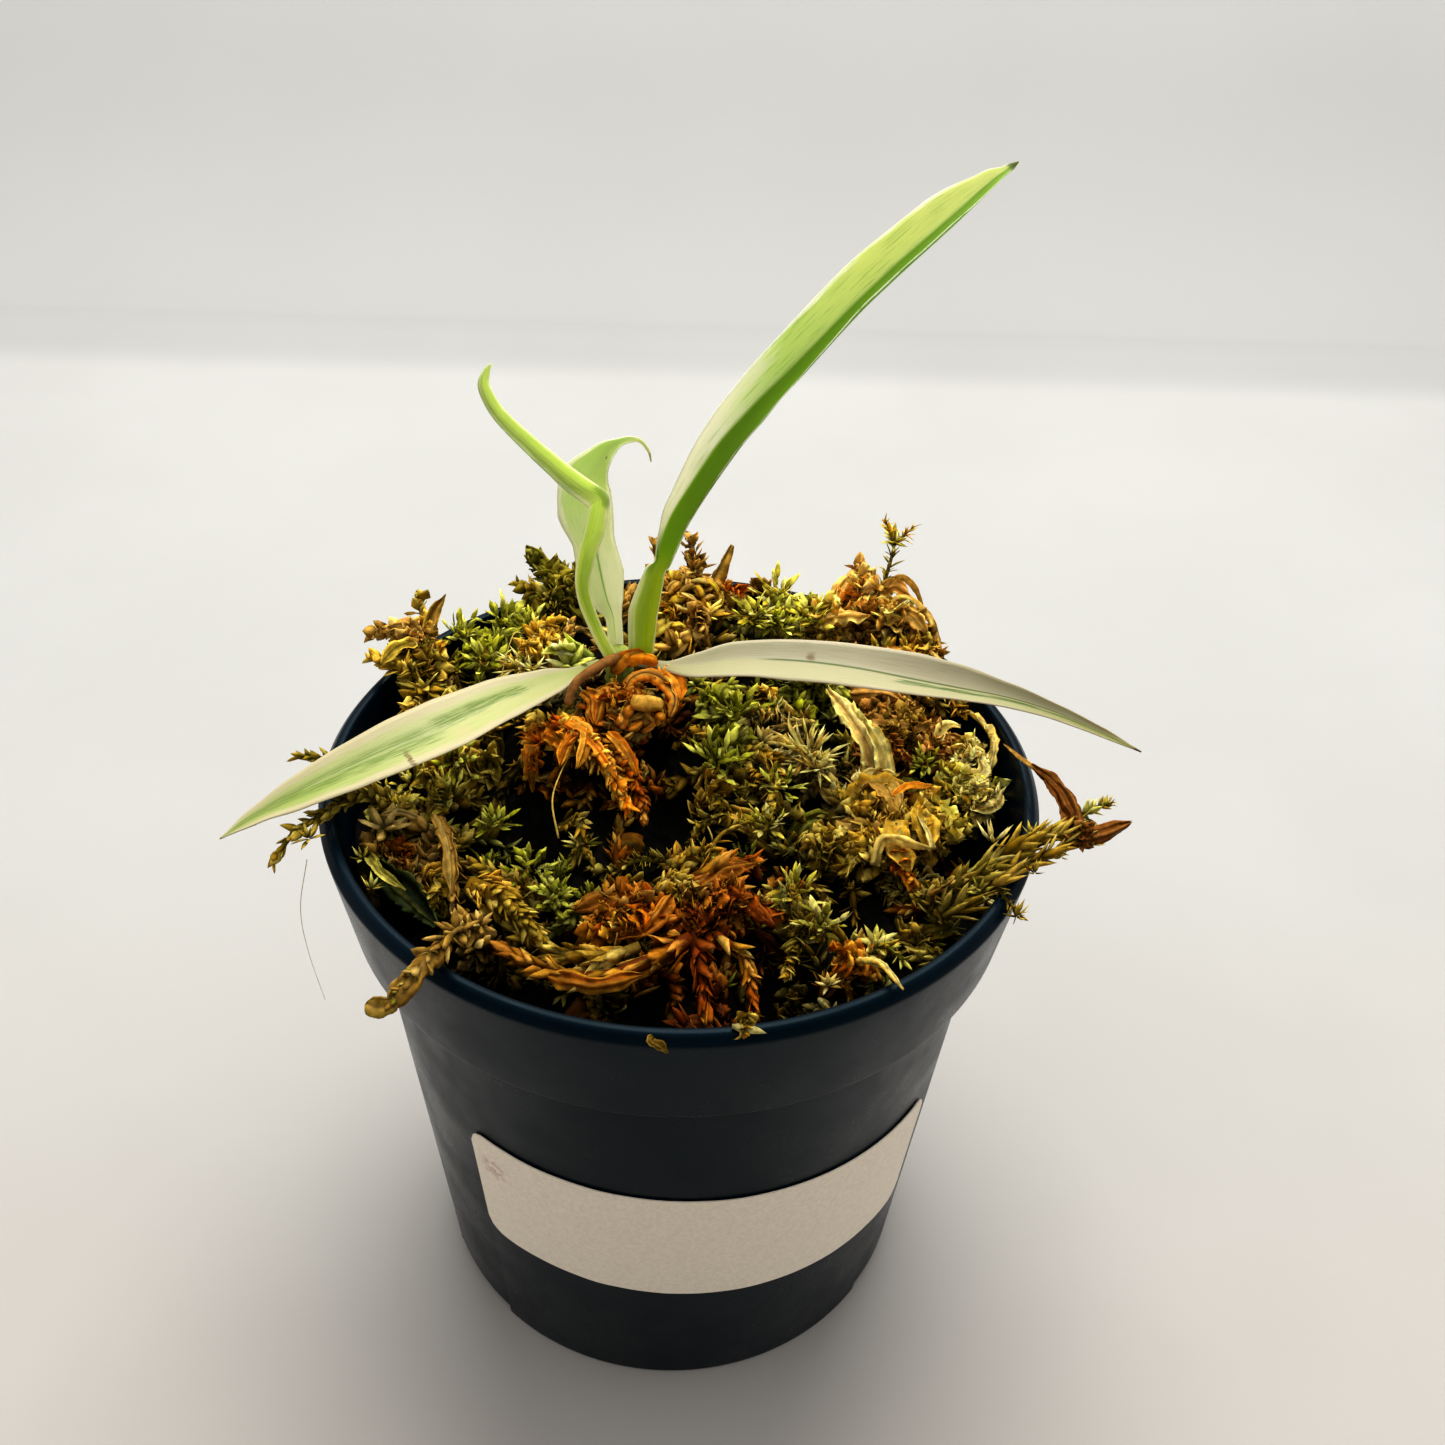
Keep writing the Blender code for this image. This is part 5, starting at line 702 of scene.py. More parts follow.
# Blades, after the CAD's. Face is the way the upper side looks, stalk the stalk's thickness and gain a
# tint over all. A station is a place on the midrib, the half-widths left and right and the lift of each
# half in degrees. Colours run along each half from foot to tip. The rib is (colour, start, end, strength),
# the margin (colour, its width left and right), the streaks (colour, strength), and a mark (start, end,
# from and to across the blade, colour, strength).
BLADES = {
    "leaf_tall": {
        "face": (0, -0.79, 0.61), "stalk": 1.5, "translucence": 0.55, "gain": (1, 1, 1),
        "rib": ((204, 226, 130), 0.2, 0.96, 0.5), "streaks": ((156, 192, 84), 0.6),
        "margin": ((252, 252, 236), 0.08, 0.05),
        "stations": (
            (-6.3, 16.9, 100.9, 2.3, 2.2, 30, 30), (-5.8, 17.3, 107.7, 2.6, 2, 25, 15),
            (-4.6, 17.8, 114.2, 1.5, 1.7, 30, 10), (-4.2, 18, 116, 0.3, 2.2, 50, 10),
            (-3.2, 18.1, 120.6, 1.3, 2.9, 56, 12), (-1.2, 18.4, 125.2, 2.6, 3, 54, 16),
            (3.8, 19.2, 133.6, 4.1, 3.4, 48, 28), (8.2, 19.8, 139.1, 4.3, 3.8, 40, 38),
            (13.1, 20.4, 144.5, 4.3, 4.3, 25, 52), (22.4, 21.7, 154.9, 4.3, 4.2, 15, 62),
            (31.5, 23, 163.8, 3.6, 3.5, 10, 60), (36.4, 23.7, 168.5, 1.7, 1.9, 10, 50),
            (38.6, 24, 170.3, 0.6, 0.9, 10, 40), (40.2, 24.3, 171.4, 0.08, 0.1, 5, 5),
        ),
        "left": (
            (0, (194, 214, 92)), (0.14, (198, 212, 104)), (0.18, (124, 158, 44)), (0.24, (250, 248, 230)),
            (0.42, (248, 248, 228)), (0.55, (226, 240, 172)), (0.75, (244, 250, 180)), (1, (250, 253, 190)),
        ),
        "right": (
            (0, (206, 218, 66)), (0.15, (196, 212, 58)), (0.2, (156, 192, 42)), (0.45, (140, 180, 42)),
            (0.8, (146, 188, 58)), (1, (172, 204, 96)),
        ),
        "marks": (
            (0, 0.14, -1.1, -0.6, (244, 244, 214), 0.9), (0.02, 0.15, -0.5, 0.5, (120, 156, 30), 0.35),
            (0.2, 0.56, -1.1, -0.5, (252, 250, 234), 0.85), (0.985, 1, -1, 1, (110, 122, 50), 0.8),
        ),
    },
    "leaf_curl": {
        "face": (0.1, -0.85, 0.5), "stalk": 1.1, "translucence": 0.65, "gain": (1, 1, 1),
        "rib": ((180, 210, 90), 0, 1, 0.4), "streaks": ((188, 216, 110), 0.5),
        "margin": ((252, 252, 222), 0.3, 0.14),
        "stations": (
            (-10.6, 14.4, 101.2, 1, 1, 20, 20), (-12.7, 14.4, 106.1, 1.2, 1.1, 35, 35),
            (-14.6, 14.4, 112.3, 1.4, 1.3, 45, 30), (-14.4, 14.4, 117.4, 1.4, 1.6, 45, 25),
            (-12.9, 14.4, 122.8, 1.5, 1.9, 30, 30), (-12.1, 14.2, 126.4, 1.6, 1.7, 10, 40),
            (-12.4, 14.1, 128, 1.9, 1.9, 10, 40), (-15.4, 14.1, 130.3, 1.9, 1.9, 25, 40),
            (-20.4, 13.4, 135.4, 1.5, 1.4, 35, 30), (-24.6, 12.9, 140.3, 1.2, 1.1, 35, 20),
            (-26.3, 12.4, 144.4, 0.95, 0.8, 30, 10), (-25.9, 12.1, 146.8, 0.5, 0.45, 15, 10),
            (-25.2, 12, 148, 0.08, 0.08, 5, 5),
        ),
        "left": ((0, (220, 234, 112)), (0.5, (232, 242, 164)), (1, (228, 236, 170))),
        "right": ((0, (224, 238, 134)), (0.5, (228, 240, 160)), (1, (218, 232, 154))),
        "marks": (
            # The first two marks are painted shade: a dark band where the blade turns over, and the darker
            # left edge beyond it.
            (0.5, 0.54, 0.2, 1.1, (110, 150, 30), 0.6), (0.56, 0.99, -1.1, -0.25, (140, 176, 56), 0.5),
            (0.1, 0.34, -0.2, 0.9, (140, 178, 50), 0.35), (0.36, 0.5, -1.1, -0.1, (156, 190, 64), 0.35),
        ),
    },
    "leaf_back": {
        "face": (0.05, -0.8, 0.6), "stalk": 1.3, "translucence": 0.55, "gain": (1, 1, 1),
        "rib": ((150, 190, 90), 0.05, 0.6, 0.8), "streaks": ((196, 224, 140), 0.45),
        "margin": ((250, 250, 228), 0.16, 0.16),
        "stations": (
            (-10.2, 20.35, 98, 1.2, 1.2, 20, 20), (-10.6, 20.3, 104.2, 1.2, 1.3, 20, 20),
            (-11.5, 20.4, 107.4, 2.3, 2.5, 20, 15), (-12.4, 20.6, 112, 3.6, 3.5, 22, 15),
            (-13.2, 21, 117.3, 3.6, 3, 22, 15), (-13.8, 21.4, 121.8, 4.9, 3.4, 18, 15),
            (-13.8, 21.9, 126.2, 4.4, 3.5, 15, 20), (-12, 22.3, 129.8, 2, 2.2, 20, 30),
            (-9.4, 22.4, 132, 0.6, 0.7, 20, 30), (-7, 22, 132.6, 0.28, 0.32, 10, 10),
            (-5.6, 21.6, 131.2, 0.2, 0.2, 5, 5), (-5.2, 21.4, 129.6, 0.08, 0.08, 5, 5),
        ),
        "left": (
            (0, (236, 240, 200)), (0.4, (238, 244, 206)), (0.7, (222, 238, 170)), (0.85, (208, 228, 146)),
            (1, (224, 220, 170)),
        ),
        "right": (
            (0, (244, 244, 218)), (0.35, (246, 246, 222)), (0.7, (222, 236, 164)), (0.85, (210, 228, 146)),
            (1, (220, 212, 160)),
        ),
        "marks": (
            (0.775, 0.785, 0.3, 0.42, (60, 66, 36), 0.9), (0.5, 0.56, 0.2, 0.6, (206, 186, 130), 0.4),
            (0.97, 1, -1, 1, (180, 160, 110), 0.6),
        ),
    },
    "leaf_left": {
        "face": (-0.1, -0.35, 0.93), "stalk": 1.2, "translucence": 0.3, "gain": (0.62, 0.6, 0.53),
        "rib": ((234, 240, 186), 0, 0.8, 0.4), "streaks": ((190, 212, 120), 0.5),
        "margin": ((242, 234, 198), 0.3, 0.36),
        "stations": (
            (-12.4, 14.8, 99.8, 0.8, 0.8, 10, 10), (-15.6, 10.2, 101.3, 1.1, 1.1, 10, 10),
            (-19.2, 6.8, 101.8, 2.6, 2.6, 10, 10), (-25.4, 1.6, 102.3, 4.1, 4, 12, 8),
            (-31.6, -3.7, 102.2, 4.8, 4.7, 12, 8), (-37.8, -7.7, 101.6, 4.8, 4.4, 12, 8),
            (-44, -11.1, 100.4, 4.2, 3.6, 10, 8), (-50.2, -14.4, 98.8, 3.1, 2.5, 10, 10),
            (-55.7, -17.1, 97, 1.7, 1.1, 10, 10), (-59.9, -19.9, 95.2, 0.08, 0.08, 5, 5),
        ),
        "left": (
            (0, (226, 240, 150)), (0.2, (232, 236, 170)), (0.5, (226, 234, 164)), (0.8, (206, 226, 134)),
            (1, (220, 226, 160)),
        ),
        "right": (
            (0, (230, 240, 164)), (0.2, (224, 234, 160)), (0.5, (226, 234, 172)), (0.8, (214, 226, 156)),
            (1, (222, 226, 170)),
        ),
        "marks": (
            (0.24, 0.48, -0.02, 0.42, (124, 158, 20), 0.95), (0.48, 0.99, -0.35, 0.3, (134, 168, 62), 0.8),
            (0.42, 0.45, -0.62, -0.3, (240, 226, 180), 0.9), (0.562, 0.573, -1.1, -0.3, (140, 108, 54), 1),
        ),
    },
    "leaf_right": {
        "face": (0, -0.35, 0.93), "stalk": 1.2, "translucence": 0.35, "gain": (0.62, 0.575, 0.455),
        "rib": ((110, 140, 60), 0.26, 1, 0.9), "streaks": ((220, 222, 184), 0.35),
        "margin": ((250, 246, 230), 0.12, 0.12),
        "stations": (
            (-6.9, 15.6, 99.7, 0.8, 0.8, 10, 10), (-2.6, 12.6, 101.1, 0.9, 0.9, 10, 10),
            (2, 11.2, 102.5, 2, 2.5, 12, 12), (7.7, 10.9, 103.8, 2.9, 3.3, 12, 10),
            (15.5, 9.6, 104.8, 3.3, 3.8, 12, 8), (23.8, 8.1, 104.9, 3.7, 3.6, 12, 8),
            (32.7, 6.6, 104.1, 4, 2.9, 20, 10), (39, 6.2, 103.1, 3.5, 2.3, 25, 10),
            (46, 6, 101.8, 2.2, 1.9, 35, 10), (52.9, 5.3, 100, 1.3, 1.5, 45, 10),
            (59.5, 3.2, 98.2, 0.8, 0.9, 40, 10), (65.1, 0.9, 96.6, 0.08, 0.08, 5, 5),
        ),
        "left": (
            (0, (232, 236, 200)), (0.3, (236, 238, 224)), (0.6, (236, 236, 220)), (0.85, (232, 232, 208)),
            (1, (190, 180, 120)),
        ),
        "right": (
            (0, (236, 240, 200)), (0.25, (238, 240, 208)), (0.5, (236, 238, 206)), (0.75, (226, 230, 190)),
            (1, (176, 176, 100)),
        ),
        "marks": (
            (0.52, 0.99, 0.2, 0.4, (104, 148, 50), 1), (0.345, 0.36, -0.4, -0.06, (150, 112, 66), 0.8),
            (0.985, 1, -1, 1, (110, 76, 36), 0.9), (0.08, 0.6, -0.7, -0.2, (216, 206, 190), 0.4),
        ),
    },
}
BLADE_T = 0.3
BLADE_STEPS = 12
BLADE_COLUMNS = 12
BLADE_WAVE = 0.12


def linear(colour):
    """An 8-bit screen colour as linear light."""
    return tuple(c / 12.92 / 255 if c < 10.3 else ((c / 255 + 0.055) / 1.055) ** 2.4 for c in colour)


# Node graphs


class Graph:
    """A short way to write a material's nodes. Sockets or plain values go in, and a socket comes out."""

    def __init__(self, name):
        self.material = bpy.data.materials.new(name)
        self.material.use_nodes = True
        self.tree = self.material.node_tree
        self.tree.nodes.clear()
        self.output = self.node("OutputMaterial")

    def put(self, socket, value):
        if isinstance(value, bpy.types.NodeSocket):
            self.tree.links.new(value, socket)
        elif value is not None:
            socket.default_value = value

    def node(self, kind, *values, **settings):
        """A node whose first inputs take the values."""
        made = self.tree.nodes.new("ShaderNode" + kind)
        for key, value in settings.items():
            setattr(made, key, value)
        for socket, value in zip(made.inputs, values):
            self.put(socket, value)
        return made

    def named(self, kind, values):
        """A node whose inputs take the values by name."""
        made = self.node(kind)
        for key, value in values.items():
            self.put(made.inputs[key], value)
        return made

    def math(self, operation, *values):
        return self.node("Math", *values, operation=operation).outputs[0]

    def times(self, a, b):
        return self.math("MULTIPLY", a, b)

    def swing(self, value, reach):
        """A noise value as a swing to both sides of nought."""
        return self.times(self.math("SUBTRACT", value, 0.5), reach)

    def ramp(self, value, *limits):
        """Runs smoothly from nought to one, or from a third limit to a fourth, as the value does from the
        first to the second."""
        return self.node("MapRange", value, *limits, interpolation_type="SMOOTHSTEP").outputs[0]

    def window(self, value, start, end, soft):
        """One between start and end and nought outside them, with soft ends."""
        rise = self.ramp(value, start - soft, start + soft, 0.0, 1.0)
        return self.times(rise, self.ramp(value, end - soft, end + soft, 1.0, 0.0))

    def mix(self, share, a, b, blend="MIX"):
        made = self.node("Mix", share, data_type="RGBA", blend_type=blend)
        for number, colour in ((6, a), (7, b)):
            linked = isinstance(colour, bpy.types.NodeSocket)
            self.put(made.inputs[number], colour if linked else (*colour, 1.0))
        return made.outputs[2]

    def cloudy(self, scale, low, high, colours):
        """Two screen colours, mixed by a noise as it goes from low to high."""
        return self.mix(self.ramp(self.noise(self.place(), *scale), low, high), *map(linear, colours))

    def stops(self, value, stops):
        """A colour ramp through stops of (place, screen colour)."""
        made = self.node("ValToRGB", value)
        elements = made.color_ramp.elements
        while len(elements) < len(stops):
            elements.new(0.5)
        for element, (place, colour) in zip(elements, stops):
            element.position = place
            element.color = (*linear(colour), 1.0)
        return made.outputs[0]

    def noise(self, vector, scale, detail=3.0, rough=0.55):
        values = {"Vector": vector, "Scale": scale, "Detail": detail, "Roughness": rough}
        return self.named("TexNoise", values).outputs["Fac"]

    def attribute(self, name):
        return self.node("Attribute", attribute_name=name).outputs

    def place(self):
        """The point's place in the object's own frame, in metres."""
        return self.node("TexCoord").outputs["Object"]

    def axis(self, letter):
        """The point's place along one axis."""
        return self.node("SeparateXYZ", self.place()).outputs[letter]

    def bump(self, height, strength, distance):
        return self.named("Bump", {"Height": height, "Strength": strength, "Distance": distance}).outputs[0]

    def surface(self, colour, roughness, normal, translucence, specular, gloss_tint=(1.0, 1.0, 1.0)):
        """Finishes the material: a Principled shader, with light let through where it is thin."""
        values = {"Base Color": colour, "Roughness": roughness, "Specular IOR Level": specular,
                  "Specular Tint": (*gloss_tint, 1.0), "Normal": normal}
        result = self.named("BsdfPrincipled", values).outputs[0]
        if translucence:
            through = self.node("BsdfTranslucent", colour).outputs[0]
            result = self.node("MixShader", translucence, result, through).outputs[0]
        self.put(self.output.inputs["Surface"], result)
        return self.material


def moss_material(name, translucence, roughness):
    """Moss leaf: its tint from root to tip, painted shade included, blotched, finely ridged, wet in places.
    """
    g = Graph(name)
    place = g.place()
    blotch = g.ramp(g.noise(place, 900.0), 0.3, 0.7, 0.66, 1.22)
    grey = g.node("CombineColor", blotch, blotch, blotch).outputs[0]
    colour = g.mix(1.0, g.attribute("tint")["Color"], grey, "MULTIPLY")
    rough = g.ramp(g.noise(place, 500.0), 0.35, 0.65, roughness - 0.16, roughness + 0.12)
    normal = g.bump(g.noise(place, 2600.0, 2.0), 0.25, 0.0002)
    return g.surface(colour, rough, normal, translucence, 0.03)


def pot_material():
    """Injection moulded dark plastic: satin, very finely grained, with faint rub marks."""
    g = Graph("pot_plastic")
    place = g.place()
    dust = g.ramp(g.noise(place, 420.0, 5.0, 0.7), 0.62, 0.82, 0.0, 0.07)
    colour = g.mix(dust, g.cloudy((38.0, 4.0), 0.35, 0.7, POT_COLOURS), linear(POT_DUST))
    roughness = g.ramp(g.noise(place, 90.0, 5.0), 0.3, 0.75, 0.24, 0.4)
    normal = g.bump(g.noise(place, 5200.0, 2.0), 0.12, 0.0001)
    height = g.axis("Z")
    # Painted shade: the reflection is made weaker on the lip's top and low on the wall, darkening them.
    gloss_with_painted_shade = g.times(
        g.ramp(height, (POT_H - 1.8) * MM, (POT_H - 0.6) * MM, 1.0, 0.4),
        g.ramp(height, 0.0, POT_H * MM / 2, 0.11, 0.17),
    )
    return g.surface(colour, roughness, normal, 0.0, gloss_with_painted_shade, POT_GLOSS)


def label_material():
    """Matt paper with a faint fibre and one faint reddish rub near its upper left corner."""
    g = Graph("label_paper")
    place = g.place()
    fibre = g.noise(place, 1400.0, 4.0, 0.7)
    colour = g.mix(g.ramp(fibre, 0.3, 0.7), *map(linear, LABEL_COLOURS))
    rub_deg, rub_z = RUB_AT
    rub = on_circle(wall_radius(rub_z) + LABEL_GAP + LABEL_T, rub_deg, rub_z) * MM
    away = g.node("VectorMath", place, rub, operation="DISTANCE").outputs["Value"]
    near = g.ramp(away, 0.0006, 0.0034, 0.55, 0.0)
    patchy = g.times(near, g.ramp(g.noise(place, 1100.0), 0.42, 0.6))
    colour = g.mix(patchy, colour, linear(RUB_COLOUR))
    return g.surface(colour, 0.62, g.bump(fibre, 0.12, 0.0001), 0.0, 0.3)


def blade_material(name, look):
    """Leaf skin: each half's own colours along the blade, a pale margin, streaks, a midrib and marks."""
    g = Graph(name)
    along = g.attribute("along")["Fac"]
    across = g.attribute("across")["Fac"]
    flow = g.node("CombineXYZ", g.times(along, 3.0), g.times(across, 1.6)).outputs[0]
    fine = g.node("CombineXYZ", g.times(along, 7.0), g.times(across, 9.0)).outputs[0]
    moved = g.math("ADD", across, g.swing(g.noise(flow, 2.4, 4.0), 0.22))
    lines = g.noise(fine, 2.2, 5.0, 0.65)
    ragged = g.math("ADD", g.swing(lines, 0.5), moved)
    wander = g.swing(g.noise(flow, 9.0, 4.0), 0.16)
    colour = g.mix(g.ramp(moved, -0.05, 0.05), g.stops(along, look["left"]), g.stops(along, look["right"]))
    streak, amount = look["streaks"]
    colour = g.mix(g.ramp(lines, 0.5, 0.72, 0.0, amount), colour, linear(streak))
    margin, left, right = look["margin"]
    rim = g.math(
        "MAXIMUM",
        g.ramp(ragged, left * 0.7 - 1.0, left * 1.5 - 1.0, 1.0, 0.0),
        g.ramp(ragged, 1.0 - right * 1.5, 1.0 - right * 0.7),
    )
    colour = g.mix(rim, colour, linear(margin))
    for start, end, low, high, mark, strength in look["marks"]:
        spot = g.math("MULTIPLY_ADD", wander, min(1.0, 8 * (end - start)), along)
        box = g.window(spot, start, end, 0.25 * min(end - start, 0.08))
        if high - low < 1.9:
            band = g.window(ragged, low, high, 0.18 * (high - low))
            box = g.times(box, g.times(band, g.ramp(lines, 0.36, 0.6, 0.35, 1.0)))
        colour = g.mix(g.times(box, strength), colour, linear(mark))
    rib, start, end, strength = look["rib"]
    line = g.ramp(g.math("ABSOLUTE", across), 0.015, 0.07, strength, 0.0)
    line = g.times(line, g.window(along, start + 0.01, end - 0.01, 0.03))
    colour = g.mix(line, colour, linear(rib))
    colour = g.mix(1.0, colour, look["gain"], "MULTIPLY")
    return g.surface(colour, 0.4, g.bump(lines, 0.25, 0.0003), look["translucence"], 0.25)


# Meshes


def put_in(name, data):
    """A new object in the scene."""
    made = bpy.data.objects.new(name, data)
    bpy.context.scene.collection.objects.link(made)
    return made


def plain_mesh(name, points, faces):
    """A mesh from points in millimetres."""
    mesh = bpy.data.meshes.new(name)
    mesh.from_pydata([tuple(Vector(point) * MM) for point in points], [], faces)
    return mesh


def mesh_piece(name, points, faces, slot, material, node, values):
    """A piece from points in millimetres and a list of faces, with numbers at each point."""
    mesh = bpy.data.meshes.new(name)
    mesh.from_pydata((np.asarray(points, float) * MM).tolist(), [], faces)
    for key, numbers in values.items():
        attribute = mesh.attributes.new(key, "FLOAT", "POINT")
        attribute.data.foreach_set("value", np.asarray(numbers, np.float32))
    finish_piece(name, mesh, slot, material, node)
    return mesh


def finish_piece(name, mesh, slot, material, *nodes):
    """A smooth piece that rides on the object's body and stands in for the nodes."""
    mesh.shade_smooth()
    mesh.materials.append(material)
    piece = put_in(name, mesh)
    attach(piece, "root")
    if nodes:
        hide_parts(*nodes)


def unit(vectors):
    return vectors / np.maximum(np.linalg.norm(vectors, axis=-1, keepdims=True), 1e-9)


def mixed(low, high, share):
    return low + (high - low) * share


def step_up(value, low, high):
    t = np.clip((value - low) / (high - low), 0, 1)
    return t * t * (3 - 2 * t)


def uneven(step, numbers):
    """Numbers set evenly from 0 to 1, read off at each step."""
    return np.interp(step, np.linspace(0, 1, len(numbers)), numbers)


def spans(knots):
    """Each stretch between two knots, with the knots before and after it, made up at the ends."""
    ends = np.vstack([knots[:1] * 2 - knots[1:2], knots, knots[-1:] * 2 - knots[-2:-1]])
    return zip(ends, ends[1:], ends[2:], ends[3:])


def curve(span, t):
    """Places along the Catmull-Rom curve of one stretch."""
    a, b, c, d = span
    bend = 2 * a - 5 * b + 4 * c - d
    return 0.5 * (2 * b + (c - a) * t + bend * t**2 + (3 * b - a - 3 * c + d) * t**3)


def reach_along(path):
    return np.concatenate([[0], np.cumsum(np.linalg.norm(np.diff(path, axis=0), axis=1))])


def smooth_path(points, spacing):
    """Points along a smooth curve through the given ones, about one spacing apart."""
    knots = np.asarray(points, float)
    t = np.linspace(0, 1, CURVE_STEPS, endpoint=False)[:, None]
    fine = np.vstack([*(curve(span, t) for span in spans(knots)), knots[-1:]])
    reach = reach_along(fine)
    wanted = np.linspace(0, reach[-1], max(3, round(reach[-1] / spacing) + 1))
    return np.stack([np.interp(wanted, reach, fine[:, k]) for k in range(3)], 1), reach[-1]


def frames(path):
    """For each point of a path: the way along it, and two ways across it that don't twist."""
    along = unit(np.gradient(path, axis=0))
    side = np.cross(along[0], (0.31, 0.22, 0.92))
    sides = []
    for direction in along:
        side = side - direction * side.dot(direction)
        side = side / max(np.linalg.norm(side), 1e-9)
        sides.append(side)
    sides = np.array(sides)
    return along, sides, np.cross(along, sides)


def band_faces(rows, sides):
    """Triangles between closed rings of points, one ring after the other."""
    faces = []
    for low in range(0, (rows - 1) * sides, sides):
        high = low + sides
        for i in range(sides):
            j = (i + 1) % sides
            faces += [(low + i, low + j, high + j), (low + i, high + j, high + i)]
    return faces


def tube(path, radii, sides):
    """A capped tube as points and triangles."""
    _, a, b = frames(path)
    turn = np.arange(sides) * math.tau / sides
    out = a[:, None] * np.cos(turn)[None, :, None] + b[:, None] * np.sin(turn)[None, :, None]
    points = (path[:, None] + out * np.asarray(radii)[:, None, None]).reshape(-1, 3)
    faces = band_faces(len(path), sides)
    last = (len(path) - 1) * sides
    for i in range(1, sides - 1):
        faces += [(0, i + 1, i), (last, last + i, last + i + 1)]
    return points, np.array(faces)


def leaf_template(rows):
    """A closed leaf of unit length: rows of (place along it, width), each a flat diamond, and a tip.

    Returns each point's place along, across and above, and the triangles.
    """
    points = []
    for place, width in rows:
        points += [(place, -width, 0.0), (place, 0.0, 0.5), (place, width, 0.0), (place, 0.0, -0.5)]
    last = len(points) - 4
    faces = [(0, 2, 1), (0, 3, 2), *band_faces(len(rows), 4)]
    faces += [(last + i, last + (i + 1) % 4, len(points)) for i in range(4)]
    along, across, above = np.array([*points, (1.0, 0.0, 0.0)]).T
    return along, across, above, np.array(faces)


LEAVES = {
    "needle": leaf_template(((0.0, 0.5), (0.4, 1.0))),
    "scale": leaf_template(((0.0, 0.36), (0.2, 0.86), (0.46, 1.0), (0.76, 0.58))),
}


def spread(count, top, low, start=0.0):
    """Ways spread evenly over a dome: how high and how far out each is, and its turn's cosine and sine."""
    rise = mixed(top, low, (np.arange(count) + 0.5) / count)
    turn = GOLDEN * np.arange(count) + start
    return rise, np.sqrt(np.maximum(0, 1 - rise**2)), np.cos(turn), np.sin(turn)


